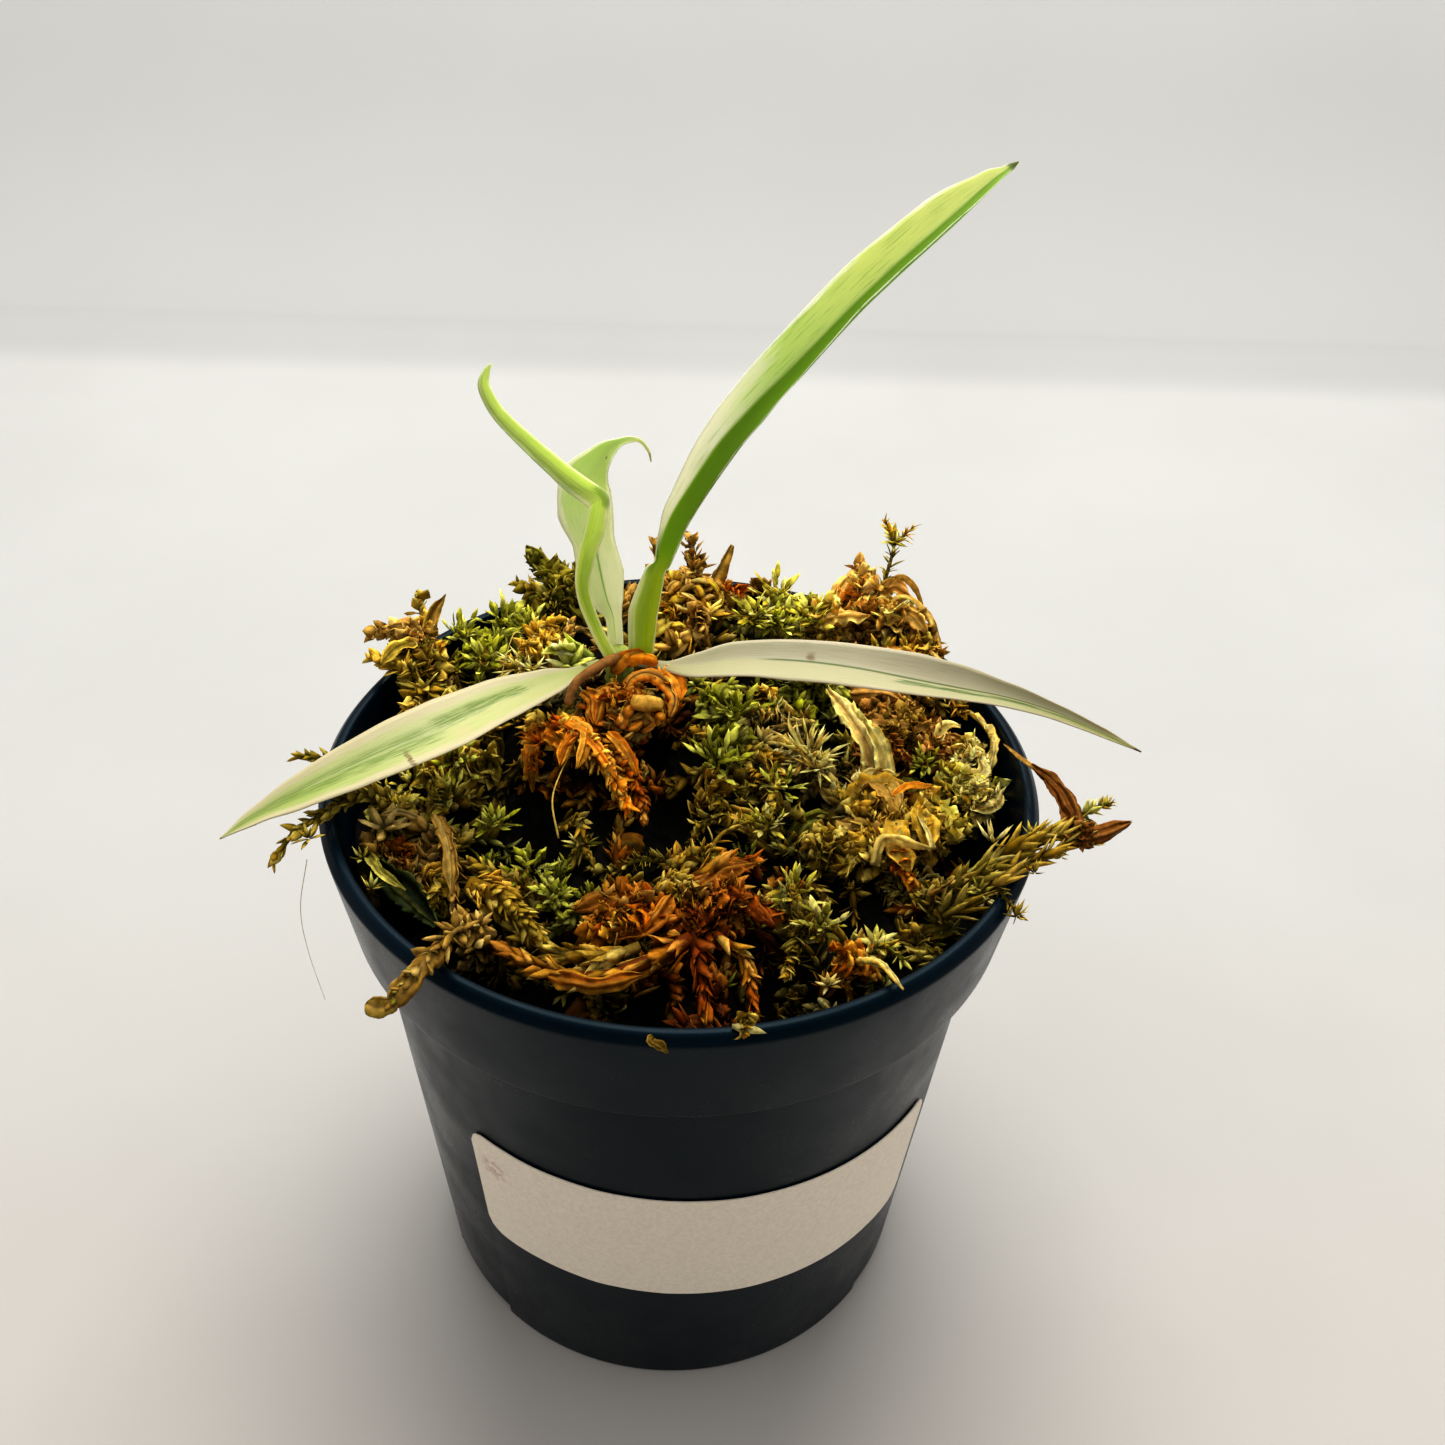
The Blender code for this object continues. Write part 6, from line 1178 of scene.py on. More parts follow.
class Growth:
    """Gathers moss into one mesh, with a tint at each point."""

    def __init__(self, seed):
        self.rng = np.random.default_rng(SEED + seed)
        self.points = []
        self.faces = []
        self.tints = []
        self.count = 0

    def add(self, points, faces, tints):
        self.points.append(points)
        self.faces.append(faces + self.count)
        self.tints.append(np.broadcast_to(tints, points.shape))
        self.count += len(points)

    def shades(self, palette, count, kin=0.0):
        """Random shades of a palette, as linear light, run into its kindred one by the share given."""
        pick = np.clip(self.rng.normal(0.05, 0.5, count), -1, 1)[:, None]
        both = []
        for name in (palette, PALETTES[palette][3]):
            dark, usual, light = (np.array(linear(c)) for c in PALETTES[name][:3])
            both.append(np.where(pick < 0, usual + (usual - dark) * pick, usual + (light - usual) * pick))
        share = np.broadcast_to(np.clip(kin, 0, 1), count)[:, None]
        return mixed(*both, share) * self.rng.uniform(0.82, 1.12, (count, 1)) * LEAF_TONE

    def leaves(self, base, along, normal, length, style, tints):
        """Leaves at their roots, pointing along and facing normal, with painted shade at root and midrib.
        """
        t, s, h, faces = LEAVES[style.leaf]
        rng = self.rng
        count = len(base)
        side = np.cross(along, normal)
        width = length * style.wide * rng.uniform(0.8, 1.2, count)
        bend = (style.bend + rng.normal(0, 0.07, count)) * length
        skew = rng.normal(0, 0.06, count) * length
        wave = rng.normal(0, style.ruffle, (count, len(t))) * np.abs(s)
        reach = t * length[:, None]
        sideways = s * width[:, None] / 2 + skew[:, None] * t**2
        height = bend[:, None] * t**2 + h * style.thick * length[:, None]
        height = height + (style.cup * s**2 + wave) * width[:, None]
        points = base[:, None] + along[:, None] * reach[..., None] + side[:, None] * sideways[..., None]
        points = points + normal[:, None] * height[..., None]
        all_faces = (faces[None] + (np.arange(count) * len(t))[:, None, None]).reshape(-1, 3)
        # Painted shade: darker at the root, on the midrib and underneath, and lighter at the edges.
        painted_shade = mixed(*PAINTED_SHADE_ROOT_TO_TIP, step_up(t, 0.0, 0.6))
        painted_shade = painted_shade * np.where(s == 0, 0.84, 1.2) * np.where(h < 0, 0.85, 1.0)
        tip = LEAF_TIP * step_up(t, 0.55, 1.0)
        colours = tints[:, None] * painted_shade[None, :, None]
        bright = np.sqrt(np.maximum(colours, 0)) * LEAF_TIP_TONE
        colours = mixed(colours, bright, tip[None, :, None])
        self.add(points.reshape(-1, 3), all_faces, colours.reshape(-1, 3))

    def strand(self, style_name, palette, radius, leaf, points, shade=1.0):
        """A strand: a stem, with leaves in a spiral, thinner towards its tip."""
        if style_name in STEM_TAPERS:
            self.stem(palette, radius, points, shade, STEM_TAPERS[style_name])
            return
        style = STYLES[style_name]
        leaf = leaf * LEAF_GAIN
        rng = self.rng
        path, length = smooth_path(points, STRAND_STEP)
        along, a, b = frames(path)
        core = style.core * radius
        tube_points, tube_faces = tube(path, core * np.linspace(1, STRAND_TIP, len(path)), STRAND_SIDES)
        self.add(tube_points, tube_faces, self.shades(palette, 1)[0] * 0.4 * shade)
        count = max(6, int(length * style.per_mm * (2.6 / max(leaf, 1.0)) ** 0.7))
        where = np.sort(rng.uniform(0, 1, count)) * (len(path) - 1.001)
        index = where.astype(int)
        share = (where - index)[:, None]
        at = path[index] * (1 - share) + path[index + 1] * share
        place = where / (len(path) - 1)
        angle = GOLDEN * np.arange(count) + rng.normal(0, 0.4, count)
        out = a[index] * np.cos(angle)[:, None] + b[index] * np.sin(angle)[:, None]
        lift = np.radians(style.lift * (1 - 0.6 * place**6) + rng.normal(0, 11, count))[:, None]
        forward = unit(along[index] + rng.normal(0, 0.16, (count, 3)))
        direction = unit(forward * np.cos(lift) + out * np.sin(lift))
        normal = out * np.cos(lift) - forward * np.sin(lift) + rng.normal(0, 0.22, (count, 3))
        normal = unit(normal - direction * np.sum(normal * direction, axis=1, keepdims=True))
        base = at + out * (core * 0.8 * np.interp(place, (0, 1), (1, STRAND_TIP)))[:, None]
        size = leaf * (1 - 0.35 * place) * rng.uniform(0.62, 1.3, count)
        kin = 0.35 + 0.4 * np.sin(place * 4 + rng.uniform(0, math.tau))
        self.leaves(base, direction, normal, size, style, self.shades(palette, count, kin) * shade)

    def stem(self, palette, radius, points, shade, taper):
        """A bare, dried stem or a plump lump: flattened, knotty and ridged along its length."""
        path, length = smooth_path(points, STEM_STEP)
        rng = self.rng
        count = len(path)
        step = np.linspace(0, 1, count)
        swell = uneven(step, rng.uniform(0.72, 1.15, max(3, int(length / 2.2))))
        tube_points, faces = tube(path, radius * swell * np.interp(step, *taper), STEM_CUTS)
        turn = np.arange(STEM_CUTS) * math.tau / STEM_CUTS
        ridges = 1 + 0.2 * np.cos(2 * turn) + rng.normal(0, 0.14, STEM_CUTS)
        cells = max(3, int(length / 0.9))
        wrinkles = [uneven(step, rng.normal(0, 0.13, cells)) for _ in range(STEM_CUTS)]
        rough = (ridges + np.stack(wrinkles, 1)).ravel() * (1 + rng.normal(0, 0.03, count * STEM_CUTS))
        centre = np.repeat(path, STEM_CUTS, axis=0)
        tube_points = centre + (tube_points - centre) * rough[:, None]
        kin = rng.uniform(0, 0.6, STEM_CUTS)
        tints = np.tile(self.shades(palette, STEM_CUTS, kin), (count, 1)) * shade
        ends = 1 - 0.5 * np.abs(np.linspace(-1, 1, count)) ** 3
        tints = tints * np.repeat((ends * rng.uniform(0.8, 1.1, count))[:, None], STEM_CUTS, axis=0)
        # Painted shade: the tint follows the roughness squared, darker in the grooves and lighter on the
        # ridges.
        self.add(tube_points, faces, tints * np.clip(rough, 0.6, 1.3)[:, None] ** 2)

    def star(self, kind, palette, x, y, z, radius, shade=1.0):
        """A moss head: a burst of short leafy branches, or a rosette of long leaves."""
        rng = self.rng
        axis = unit(np.array((0.0, 0.0, 1.0)) + rng.normal(0, 0.16, 3))
        side = unit(np.cross(axis, (0.2, 0.9, 0.3)))
        other = np.cross(axis, side)
        count, each, lowest = STARS[kind]
        rise, flat, east, north = spread(count, 0.97, lowest, rng.uniform(0, math.tau))
        ways = axis * rise[:, None] + (side * east[:, None] + other * north[:, None]) * flat[:, None]
        ways = unit(ways + rng.normal(0, 0.08, ways.shape))
        foot = np.array((x, y, z)) - axis * radius * 0.3
        if kind == "burst":
            branch = np.repeat(ways, each, axis=0)
            place = np.tile(mixed(0.25, 0.72, np.arange(each) / (each - 1)), count)
            base = foot + branch * (radius * place * rng.uniform(0.85, 1.1, len(place)))[:, None]
            lean = unit(branch + rng.normal(0, 0.42, branch.shape) * (1.25 - place)[:, None])
            size = np.clip(radius * 0.62, 1.7, 3.0) * rng.uniform(0.7, 1.15, len(place))
            # Painted shade: a head's inner leaves are darker and its outer ones lighter.
            painted_shade = mixed(0.5, 1.25, place)[:, None]
            style = STYLES["head"]
            if palette in ("straw", "cream"):
                style = STYLES["needles"]
                size = size * 1.2
        else:
            base, lean = foot + ways * radius * 0.12, ways
            size = radius * rng.uniform(0.75, 1.05, count) * (0.72 + 0.28 * flat)
            painted_shade = 1.0
            style = STYLES[kind]
        facing = unit(axis + rng.normal(0, 0.2, lean.shape) - lean * (lean @ axis)[:, None] + 1e-6)
        facing = unit(facing - lean * np.sum(facing * lean, axis=1, keepdims=True))
        kin = rng.uniform(0.0, 0.5, len(base))
        self.leaves(base, lean, facing, size, style, self.shades(palette, len(base), kin) * painted_shade * shade)

    def ribbon(self, palette, width, points, frill=1.0, arch=0.0, shade=1.0):
        """A flat leaf strip: folded or arched across, and frilled at its edges, where its skins meet."""
        path, length = smooth_path(points, STEM_STEP)
        along, _, _ = frames(path)
        rng = self.rng
        face = np.array(STRIP_FACE) + rng.normal(0, 0.25, 3)
        up = unit(face - along * (along @ face)[:, None])
        side = np.cross(along, up)
        columns = STRIP_COLUMNS
        rows = len(path)
        share = np.linspace(-1, 1, columns)
        step = np.linspace(0, 1, rows)
        knots = max(4, int(length / 1.4))
        half = (width / 2 * np.interp(step, (0, 0.12, 0.75, 1), (0.45, 1, 0.85, 0.12)))[:, None]
        edges = [uneven(step, rng.uniform(0.7, 1.25, knots))[:, None] for _ in range(2)]
        reach = np.where(share < 0, *edges) * share * half
        folds = 0
        for rate in (3.4, 7.0):
            folds = folds + 0.2 * np.sin(share * rate + uneven(step, rng.normal(0, 0.9, knots))[:, None])
        waves = np.where(share < 0, *(uneven(step, rng.normal(0, 1, 2 * knots))[:, None] for _ in range(2)))
        crease = (folds + 0.42 * frill * waves * np.abs(share) ** 2.5) * min(1.0, width / 3)
        crease = crease + (arch - 0.3 * frill * (1 - arch)) * half * (1 - share**2)
        crease = crease + 0.03 * rng.normal(0, 1, (rows, columns))
        middle = path[:, None] + side[:, None] * reach[..., None] + up[:, None] * crease[..., None]
        thin = up[:, None] * ((0.08 + 0.25 * arch) * (1 - 0.9 * share**6))[None, :, None]
        all_points = np.concatenate([(middle + thin).reshape(-1, 3), (middle - thin).reshape(-1, 3)])
        under = rows * columns
        faces = []
        for k in range(rows - 1):
            for p in range(k * columns, (k + 1) * columns - 1):
                q = p + columns
                faces += [(p, p + 1, q + 1), (p, q + 1, q)]
                faces += [(under + p, under + q + 1, under + p + 1), (under + p, under + q, under + q + 1)]
            p, q = k * columns, (k + 1) * columns
            faces += [(p, q, under + q), (p, under + q, under + p)]
            p, q = p + columns - 1, q + columns - 1
            faces += [(under + p, under + q, q), (under + p, q, p)]
        for p in range(columns - 1):
            faces += [(p, under + p + 1, p + 1), (p, under + p, under + p + 1)]
        for p in range(under - columns, under - 1):
            faces += [(under + p, p + 1, under + p + 1), (under + p, p, p + 1)]
        line = self.shades(palette, columns, rng.uniform(0, 0.5, columns))
        line = line * mixed(0.7, 1.25, share**2)[:, None]
        grain = [uneven(step, rng.uniform(0.78, 1.16, 2 * knots)) for _ in range(columns)]
        tints = np.tile(line, (rows, 1)) * np.stack(grain, 1).reshape(-1, 1)
        self.add(all_points, np.array(faces), np.tile(tints, (2, 1)) * shade)

    def lumps(self, palettes, centre, reach, count, radius, shade=1.0):
        """A mass of wet, rolled-up leaves: plump lumps that lie every way over a mound."""
        rng = self.rng
        rise, flat, east, north = spread(count, 1.0, -0.1, rng.uniform(0, math.tau))
        out = np.stack([flat * east, flat * north, rise], 1)
        spots = np.array(centre) + out * np.array(reach) * rng.uniform(0.75, 1.0, (count, 1))
        for spot, way in zip(spots, out):
            across = unit(np.cross(way, rng.normal(0, 1, 3)))
            half = radius * rng.uniform(1.5, 2.6)
            bow = way * half * 0.3
            points = (spot - across * half - bow, spot, spot + across * half - bow)
            palette = palettes[rng.integers(len(palettes))]
            size = radius * rng.uniform(0.7, 1.2)
            self.stem(palette, size, points, shade * rng.uniform(0.75, 1.15), STEM_TAPERS["bean"])

    def knot(self, palette, x, y, z, radius, shade, leaf=2.4):
        """A lump of short leaves that fills the middle of a clump."""
        rng = self.rng
        count = int(22 * radius * (2.4 / leaf) ** 1.6)
        rise, flat, east, north = spread(count, 1.0, -0.5)
        out = np.stack([flat * east, flat * north, rise], 1)
        base = np.array((x, y, z)) + out * radius * rng.uniform(0.35, 0.8, (count, 1))
        lean = unit(out + rng.normal(0, 0.8, out.shape))
        facing = unit(np.cross(lean, rng.normal(0, 1, out.shape)))
        tints = self.shades(palette, count, rng.uniform(0, 0.6, count)) * shade
        self.leaves(base, lean, facing, leaf * rng.uniform(0.75, 1.25, count), STYLES["ruffled"], tints)

    def piece(self, name, slot, material, *nodes):
        """Makes the gathered moss a piece, from arrays, which is quick for so many triangles."""
        points = np.concatenate(self.points)
        faces = np.concatenate(self.faces).astype(np.int32)
        # The tints get painted shade near the bed and painted light towards the back here.
        tints = np.concatenate(self.tints) * painted_shade_and_light(points)[:, None]
        mesh = bpy.data.meshes.new(name)
        mesh.vertices.add(len(points))
        mesh.vertices.foreach_set("co", (points * MM).astype(np.float32).ravel())
        mesh.loops.add(faces.size)
        mesh.loops.foreach_set("vertex_index", faces.ravel())
        mesh.polygons.add(len(faces))
        mesh.polygons.foreach_set("loop_start", np.arange(0, faces.size, 3, dtype=np.int32))
        mesh.update(calc_edges=True)
        colours = np.concatenate([np.clip(tints, 0, 1), np.ones((self.count, 1))], 1).astype(np.float32)
        mesh.attributes.new("tint", "FLOAT_COLOR", "POINT").data.foreach_set("color", colours.ravel())
        finish_piece(name, mesh, slot, material, *nodes)


def on_circle(radius, degrees, z):
    """A point round the pot's axis. 0 degrees faces the label side, and 90 is to its right."""
    angle = math.radians(degrees)
    return Vector((radius * math.sin(angle), -radius * math.cos(angle), z))


def circle(radius, segments, z):
    return [on_circle(radius, 360 * k / segments, z) for k in range(segments)]


def wall_radius(z):
    """The outer wall's radius under the collar."""
    return BASE_R + (WALL_TOP_R - BASE_R) * z / (POT_H - COLLAR_H - STEP_H)


def bed_level(x, y):
    """The bed's surface without its lumps: a mound under the crown, a rise at the back and pits."""
    mound = ((x - MOUND_AT[0]) / MOUND_SPREAD[0]) ** 2 + ((y - MOUND_AT[1]) / MOUND_SPREAD[1]) ** 2
    height = BED_EDGE_Z + MOUND_H * np.exp(-0.5 * mound) + BACK_RISE * step_up(y, *BACK_Y)
    for pit_x, pit_y, pit_r, depth in PITS:
        height = height - depth * np.exp(-(((x - pit_x) ** 2 + (y - pit_y) ** 2) / pit_r**2))
    return height


def bed_height(x, y):
    broad = noise.noise(Vector((x * 0.16, y * 0.16, 2.7)))
    fine = noise.noise(Vector((x * 0.4, y * 0.4, 9.1)))
    return float(bed_level(x, y)) + BED_LUMP * (broad + 0.5 * fine)


def painted_shade_and_light(points):
    """Painted shade towards the bed, except outside the pot, and painted light from front to back."""
    x, y, z = points.T
    above = step_up(z - bed_level(x, y), 0.0, PAINTED_SHADE_CLEAR)
    outside = step_up(np.hypot(x, y), BED_R - 1.0, BED_R + 2.0)
    return mixed(PAINTED_SHADE_DEEPEST, 1.0, np.maximum(above, outside)) * mixed(*PAINTED_LIGHT_FRONT_TO_BACK, step_up(y, *PAINTED_LIGHT_Y))


# Pot and label


def rounded(profile):
    """The profile with each corner off the axis drawn as a short curve."""
    points = [profile[0]]
    for before, corner, after in zip(profile, profile[1:], profile[2:]):
        corner = Vector(corner)
        arms = []
        for end in (before, after):
            arm = Vector(end) - corner
            arms.append(corner + arm.normalized() * min(POT_ROUNDING, arm.length * 0.42))
        for k in range(CORNER_STEPS + 1):
            t = k / CORNER_STEPS
            point = arms[0] * (1 - t) ** 2 + corner * 2 * t * (1 - t) + arms[1] * t**2
            points.append((point.x, point.y))
    return [*points, profile[-1]]


def pot_profile():
    """The wall's outline in (radius, z), from the underside's middle out, up, over the lip and back in."""
    inner_top = RIM_R - LIP_W
    edge_w, edge_h = LIP_EDGE
    side, shoulder, top = (RIM_R - inset for inset in LIP_INSETS)
    foot_top, foot_low = (BASE_R - width for width in FOOT_WIDTHS)
    collar_z = POT_H - COLLAR_H
    step_z = collar_z - STEP_H
    return [
        (0.0, 0.0),
        (PAD_R, 0.0),
        (RING_R, FOOT_H),
        (foot_top, FOOT_H),
        (foot_low, 0.0),
        (BASE_R, 0.0),
        (WALL_TOP_R, step_z),
        (COLLAR_LOW_R, collar_z),
        (side, POT_H - LIP_DROP - edge_h),
        (shoulder, POT_H - LIP_DROP),
        (top, POT_H),
        (inner_top + edge_w, POT_H),
        (inner_top, POT_H - edge_h),
        (COLLAR_LOW_R - WALL_T, collar_z + WALL_T),
        (WALL_TOP_R - WALL_T, step_z + WALL_T),
        (BASE_R - WALL_T + 0.2, FOOT_H + FLOOR_T),
        (RING_R, FOOT_H + FLOOR_T),
        (PAD_R, FLOOR_T),
        (0.0, FLOOR_T),
    ]


def turned(profile, segments):
    """A solid turned round the Z axis, whose profile starts and ends on the axis."""
    points = []
    rings = []
    for radius, z in profile:
        ring = circle(radius, segments, z) if radius else [Vector((0, 0, z))]
        rings.append(range(len(points), len(points) + len(ring)))
        points += ring
    faces = []
    for low, high in zip(rings, rings[1:]):
        for k in range(segments):
            after = (k + 1) % segments
            if len(low) == 1:
                faces.append((low[0], high[k], high[after]))
            elif len(high) == 1:
                faces.append((low[k], low[after], high[0]))
            else:
                faces.append((low[k], low[after], high[after], high[k]))
    return points, faces


def closed_shape(name, points, faces):
    """A closed shape whose faces all look outwards."""
    mesh = plain_mesh(name, points, faces)
    shape = bmesh.new()
    shape.from_mesh(mesh)
    bmesh.ops.recalc_face_normals(shape, faces=shape.faces)
    shape.to_mesh(mesh)
    shape.free()
    return put_in(name, mesh)


def sector(radii, degrees, heights, steps):
    """A closed block between two radii, two angles and two heights."""
    points = []
    for step in range(steps + 1):
        angle = degrees[0] + (degrees[1] - degrees[0]) * step / steps
        points += [on_circle(radius, angle, z) for radius in radii for z in heights]
    faces = [(0, 1, 3, 2), tuple(4 * steps + k for k in (0, 2, 3, 1))]
    for a in range(0, 4 * steps, 4):
        for i, j in ((0, 1), (1, 3), (3, 2), (2, 0)):
            faces.append((a + i, a + j, a + 4 + j, a + 4 + i))
    return points, faces


def make_pot():
    """The turned pot, with its foot notches and drainage holes cut."""
    body = closed_shape("pot_body", *turned(rounded(pot_profile()), POT_SEGMENTS))
    cutters = []
    for k in range(FOOT_COUNT):
        middle = FOOT_MID_DEG + 360 / FOOT_COUNT * (k + 0.5)
        span = (middle - NOTCH_DEG / 2, middle + NOTCH_DEG / 2)
        radii = (BASE_R - NOTCH_DEPTH, BASE_R + NOTCH_DEPTH)
        cutters.append(closed_shape(f"notch_{k}", *sector(radii, span, (-2, FOOT_H + 0.1), NOTCH_STEPS)))
    for k in range(DRAIN_COUNT):
        spot = on_circle(DRAIN_MID_R, 360 * (k + 0.5) / DRAIN_COUNT, 0)
        ends = np.array([(spot.x, spot.y, FOOT_H - 1), (spot.x, spot.y, FOOT_H + FLOOR_T + 1)])
        points, faces = tube(ends, (DRAIN_R, DRAIN_R), DRAIN_SIDES)
        cutters.append(closed_shape(f"drain_{k}", points, faces.tolist()))
    group = bpy.data.collections.new("cutters")
    bpy.context.scene.collection.children.link(group)
    for piece in cutters:
        bpy.context.scene.collection.objects.unlink(piece)
        group.objects.link(piece)
    modifier = body.modifiers.new("cut", "BOOLEAN")
    modifier.operation = "DIFFERENCE"
    modifier.operand_type = "COLLECTION"
    modifier.collection = group
    modifier.solver = "EXACT"
    bpy.context.view_layer.update()
    graph = bpy.context.evaluated_depsgraph_get()
    mesh = bpy.data.meshes.new_from_object(body.evaluated_get(graph))
    for piece in [body, *cutters]:
        bpy.data.objects.remove(piece, do_unlink=True)
    bpy.data.collections.remove(group)
    mesh.materials.clear()
    finish_piece("pot_shell", mesh, "pot", pot_material(), "pot")
    mesh.set_sharp_from_angle(angle=math.radians(SHARP_DEG))


def make_label():
    """A bent paper sticker with rounded corners, its edge lifted by a hair in places."""
    low, high = LABEL_ARC_DEG
    corner_deg = math.degrees(LABEL_CORNER / wall_radius(LABEL_MID_Z))
    columns = LABEL_STEPS + 1
    rows = LABEL_ROWS + 1
    points = []
    for off in (LABEL_GAP, LABEL_GAP + LABEL_T):
        for i in range(columns):
            angle = low + (high - low) * i / LABEL_STEPS
            inset = min(angle - low, high - angle, corner_deg) / corner_deg
            cut = LABEL_CORNER * (1 - math.sqrt(max(0.0, 1 - (1 - inset) ** 2)))
            middle = LABEL_MID_Z - LABEL_SKEW * ((angle - low) / (high - low) - 0.5)
            half = LABEL_H / 2 - cut * 0.96
            for j in range(rows):
                across = 2 * j / LABEL_ROWS - 1
                z = middle + half * across
                curl = max(0.0, noise.noise(Vector((angle * 0.1, across * 2, 4.2))))
                lift = LABEL_LIFT * curl * abs(across) ** 3
                points.append(on_circle(wall_radius(z) + off + lift, angle, z))
    skin = columns * rows
    faces = []
    for i in range(LABEL_STEPS):
        for p in range(i * rows, i * rows + LABEL_ROWS):
            faces.append((p, p + 1, p + rows + 1, p + rows))
            faces.append((skin + p, skin + p + rows, skin + p + rows + 1, skin + p + 1))
    edge = [i * rows for i in range(columns)]
    edge += [LABEL_STEPS * rows + j for j in range(1, rows)]
    edge += [i * rows + LABEL_ROWS for i in range(LABEL_STEPS - 1, -1, -1)]
    edge += list(range(LABEL_ROWS - 1, 0, -1))
    faces += [(p, q, skin + q, skin + p) for p, q in zip(edge, edge[1:] + edge[:1])]
    mesh = mesh_piece("label_paper", points, faces, "label", label_material(), "label", {})
    mesh.set_sharp_from_angle(angle=math.radians(SHARP_DEG))


# Leaves


def blade_rows(stations):
    """Points along a blade's midrib, each with its numbers and its place along the blade."""
    stations = np.array(stations, float)
    knots, numbers = stations[:, :3], stations[:, 3:]
    path = []
    values = []
    for k, span in enumerate(spans(knots)):
        for step in range(BLADE_STEPS):
            t = step / BLADE_STEPS
            path.append(curve(span, t))
            ease = t * t * (3 - 2 * t) * 0.35 + t * 0.65
            values.append(numbers[k] * (1 - ease) + numbers[k + 1] * ease)
    path = np.array([*path, knots[-1]])
    reach = reach_along(path)
    return path, [*values, numbers[-1]], reach / reach[-1]


def make_blade(name, spec, index):
    """A thin leaf with curved halves, a rounded stalk at its foot and a faintly waved edge."""
    path, values, places = blade_rows(spec["stations"])
    along = unit(np.gradient(path, axis=0))
    side = unit(np.cross(along, unit(np.array(spec["face"], float))))
    up = unit(np.cross(side, along))
    half_columns = BLADE_COLUMNS // 2
    shares = np.linspace(0, 1, half_columns + 1)[1:]
    points, all_places, all_shares = [], [], []
    for k, place in enumerate(places):
        left, right, lift_left, lift_right = values[k]
        stalk = max(0.0, 1 - place / 0.2)
        half_t = 0.5 * (BLADE_T + (spec["stalk"] - BLADE_T) * stalk)
        row = [(path[k] + up[k] * half_t, path[k] - up[k] * half_t, 0.0)]
        for sign, width, lift in ((-1, left, lift_left), (1, right, lift_right)):
            spot = path[k].copy()
            wave = noise.noise(Vector((place * 14, sign * 3.1, index * 7.3)))
            wave = BLADE_WAVE * wave * min(1, width / 2)
            for share in shares:
                angle = math.radians(lift * (0.35 + 1.3 * share))
                out = side[k] * sign * math.cos(angle) + up[k] * math.sin(angle)
                spot = spot + out * (width / half_columns)
                normal = up[k] * math.cos(angle) - side[k] * sign * math.sin(angle)
                thin = math.sqrt(max(0.0, 1 - share**2)) * stalk + (1 - 0.55 * share) * (1 - stalk)
                thin = half_t * thin
                ripple = normal * wave * share**2
                row.append((spot + normal * thin + ripple, spot - normal * thin + ripple, sign * share))
        row.sort(key=lambda column: column[2])
        points += [top for top, _, _ in row] + [bottom for _, bottom, _ in reversed(row)]
        all_places += [place] * (2 * len(row))
        all_shares += [share for _, _, share in row] + [share for _, _, share in reversed(row)]
    ring = 2 * (BLADE_COLUMNS + 1)
    last = (len(places) - 1) * ring
    faces = []
    for low in range(0, last, ring):
        for i in range(ring):
            j = (i + 1) % ring
            faces.append((low + i, low + ring + i, low + ring + j, low + j))
    faces.append(tuple(range(ring)))
    faces.append(tuple(range(last + ring - 1, last - 1, -1)))
    values = {"along": all_places, "across": all_shares}
    mesh_piece(name + "_blade", points, faces, name, blade_material(name, spec), name, values)


def make_stem(material):
    """The short ringed stem, narrower at its top."""
    growth = Growth(STEM_SEED)
    low, high = STEM_Z
    path = np.array([(*STEM_AT, low + (high - low) * k / STEM_STEPS) for k in range(STEM_STEPS + 1)])
    radii = [STEM_R * (0.93 + 0.07 * math.cos(k * 2.1)) for k in range(STEM_STEPS + 1)]
    radii[-1] *= 0.7
    growth.add(*tube(path, radii, STEM_SIDES), np.array(linear(STEM_COLOUR)))
    growth.piece("stem_ringed", "stem", material, "stem")


def make_root(material):
    """One brown aerial root, from the stem over the orange roll."""
    growth = Growth(ROOT_SEED)
    path, _ = smooth_path(ROOT_ROUTE, 0.4)
    count = len(path)
    radii = np.linspace(*ROOT_R, count) * (1 + 0.04 * np.sin(np.arange(count) * 1.7))
    radii[-1] *= 0.5
    shade = np.repeat(growth.rng.uniform(0.8, 1.2, (count, 1)), ROOT_SIDES, axis=0)
    growth.add(*tube(path, radii, ROOT_SIDES), np.array(linear(ROOT_COLOUR)) * shade)
    growth.piece("aerial_root_brown", "aerial_root", material, "aerial_root")


def make_shoot(material):
    """The new shoot: pointed, folded bracts round a short axis."""
    growth = Growth(SHOOT_SEED)
    growth.strand("bract", "shoot", 2.0, 4.2, SHOOT_ROUTE, SHOOT_PAINTED_LIGHT)
    growth.star("bracts", "shoot", *SHOOT_STAR, SHOOT_PAINTED_LIGHT)
    growth.piece("new_shoot_bracts", "new_shoot", material, "new_shoot")


# Moss


def make_clump(name, spec, index, material):
    growth = Growth(index)
    makers = {"strands": growth.strand, "ribbons": growth.ribbon, "lumps": growth.lumps,
              "tufts": growth.knot, "stars": growth.star}
    for kind, make in makers.items():
        for row in spec[kind]:
            make(*row)
    for knot in spec["knots"]:
        growth.knot(spec["strands"][0][1], *knot, 0.6)
    growth.piece(name + "_fine", spec["slot"], material, name)


def pit_share(x, y):
    """How deep in a black gap a place is, from 0 to 1."""
    return max(math.exp(-(((x - px) ** 2 + (y - py) ** 2) / pr**2)) for px, py, pr, _ in PITS)


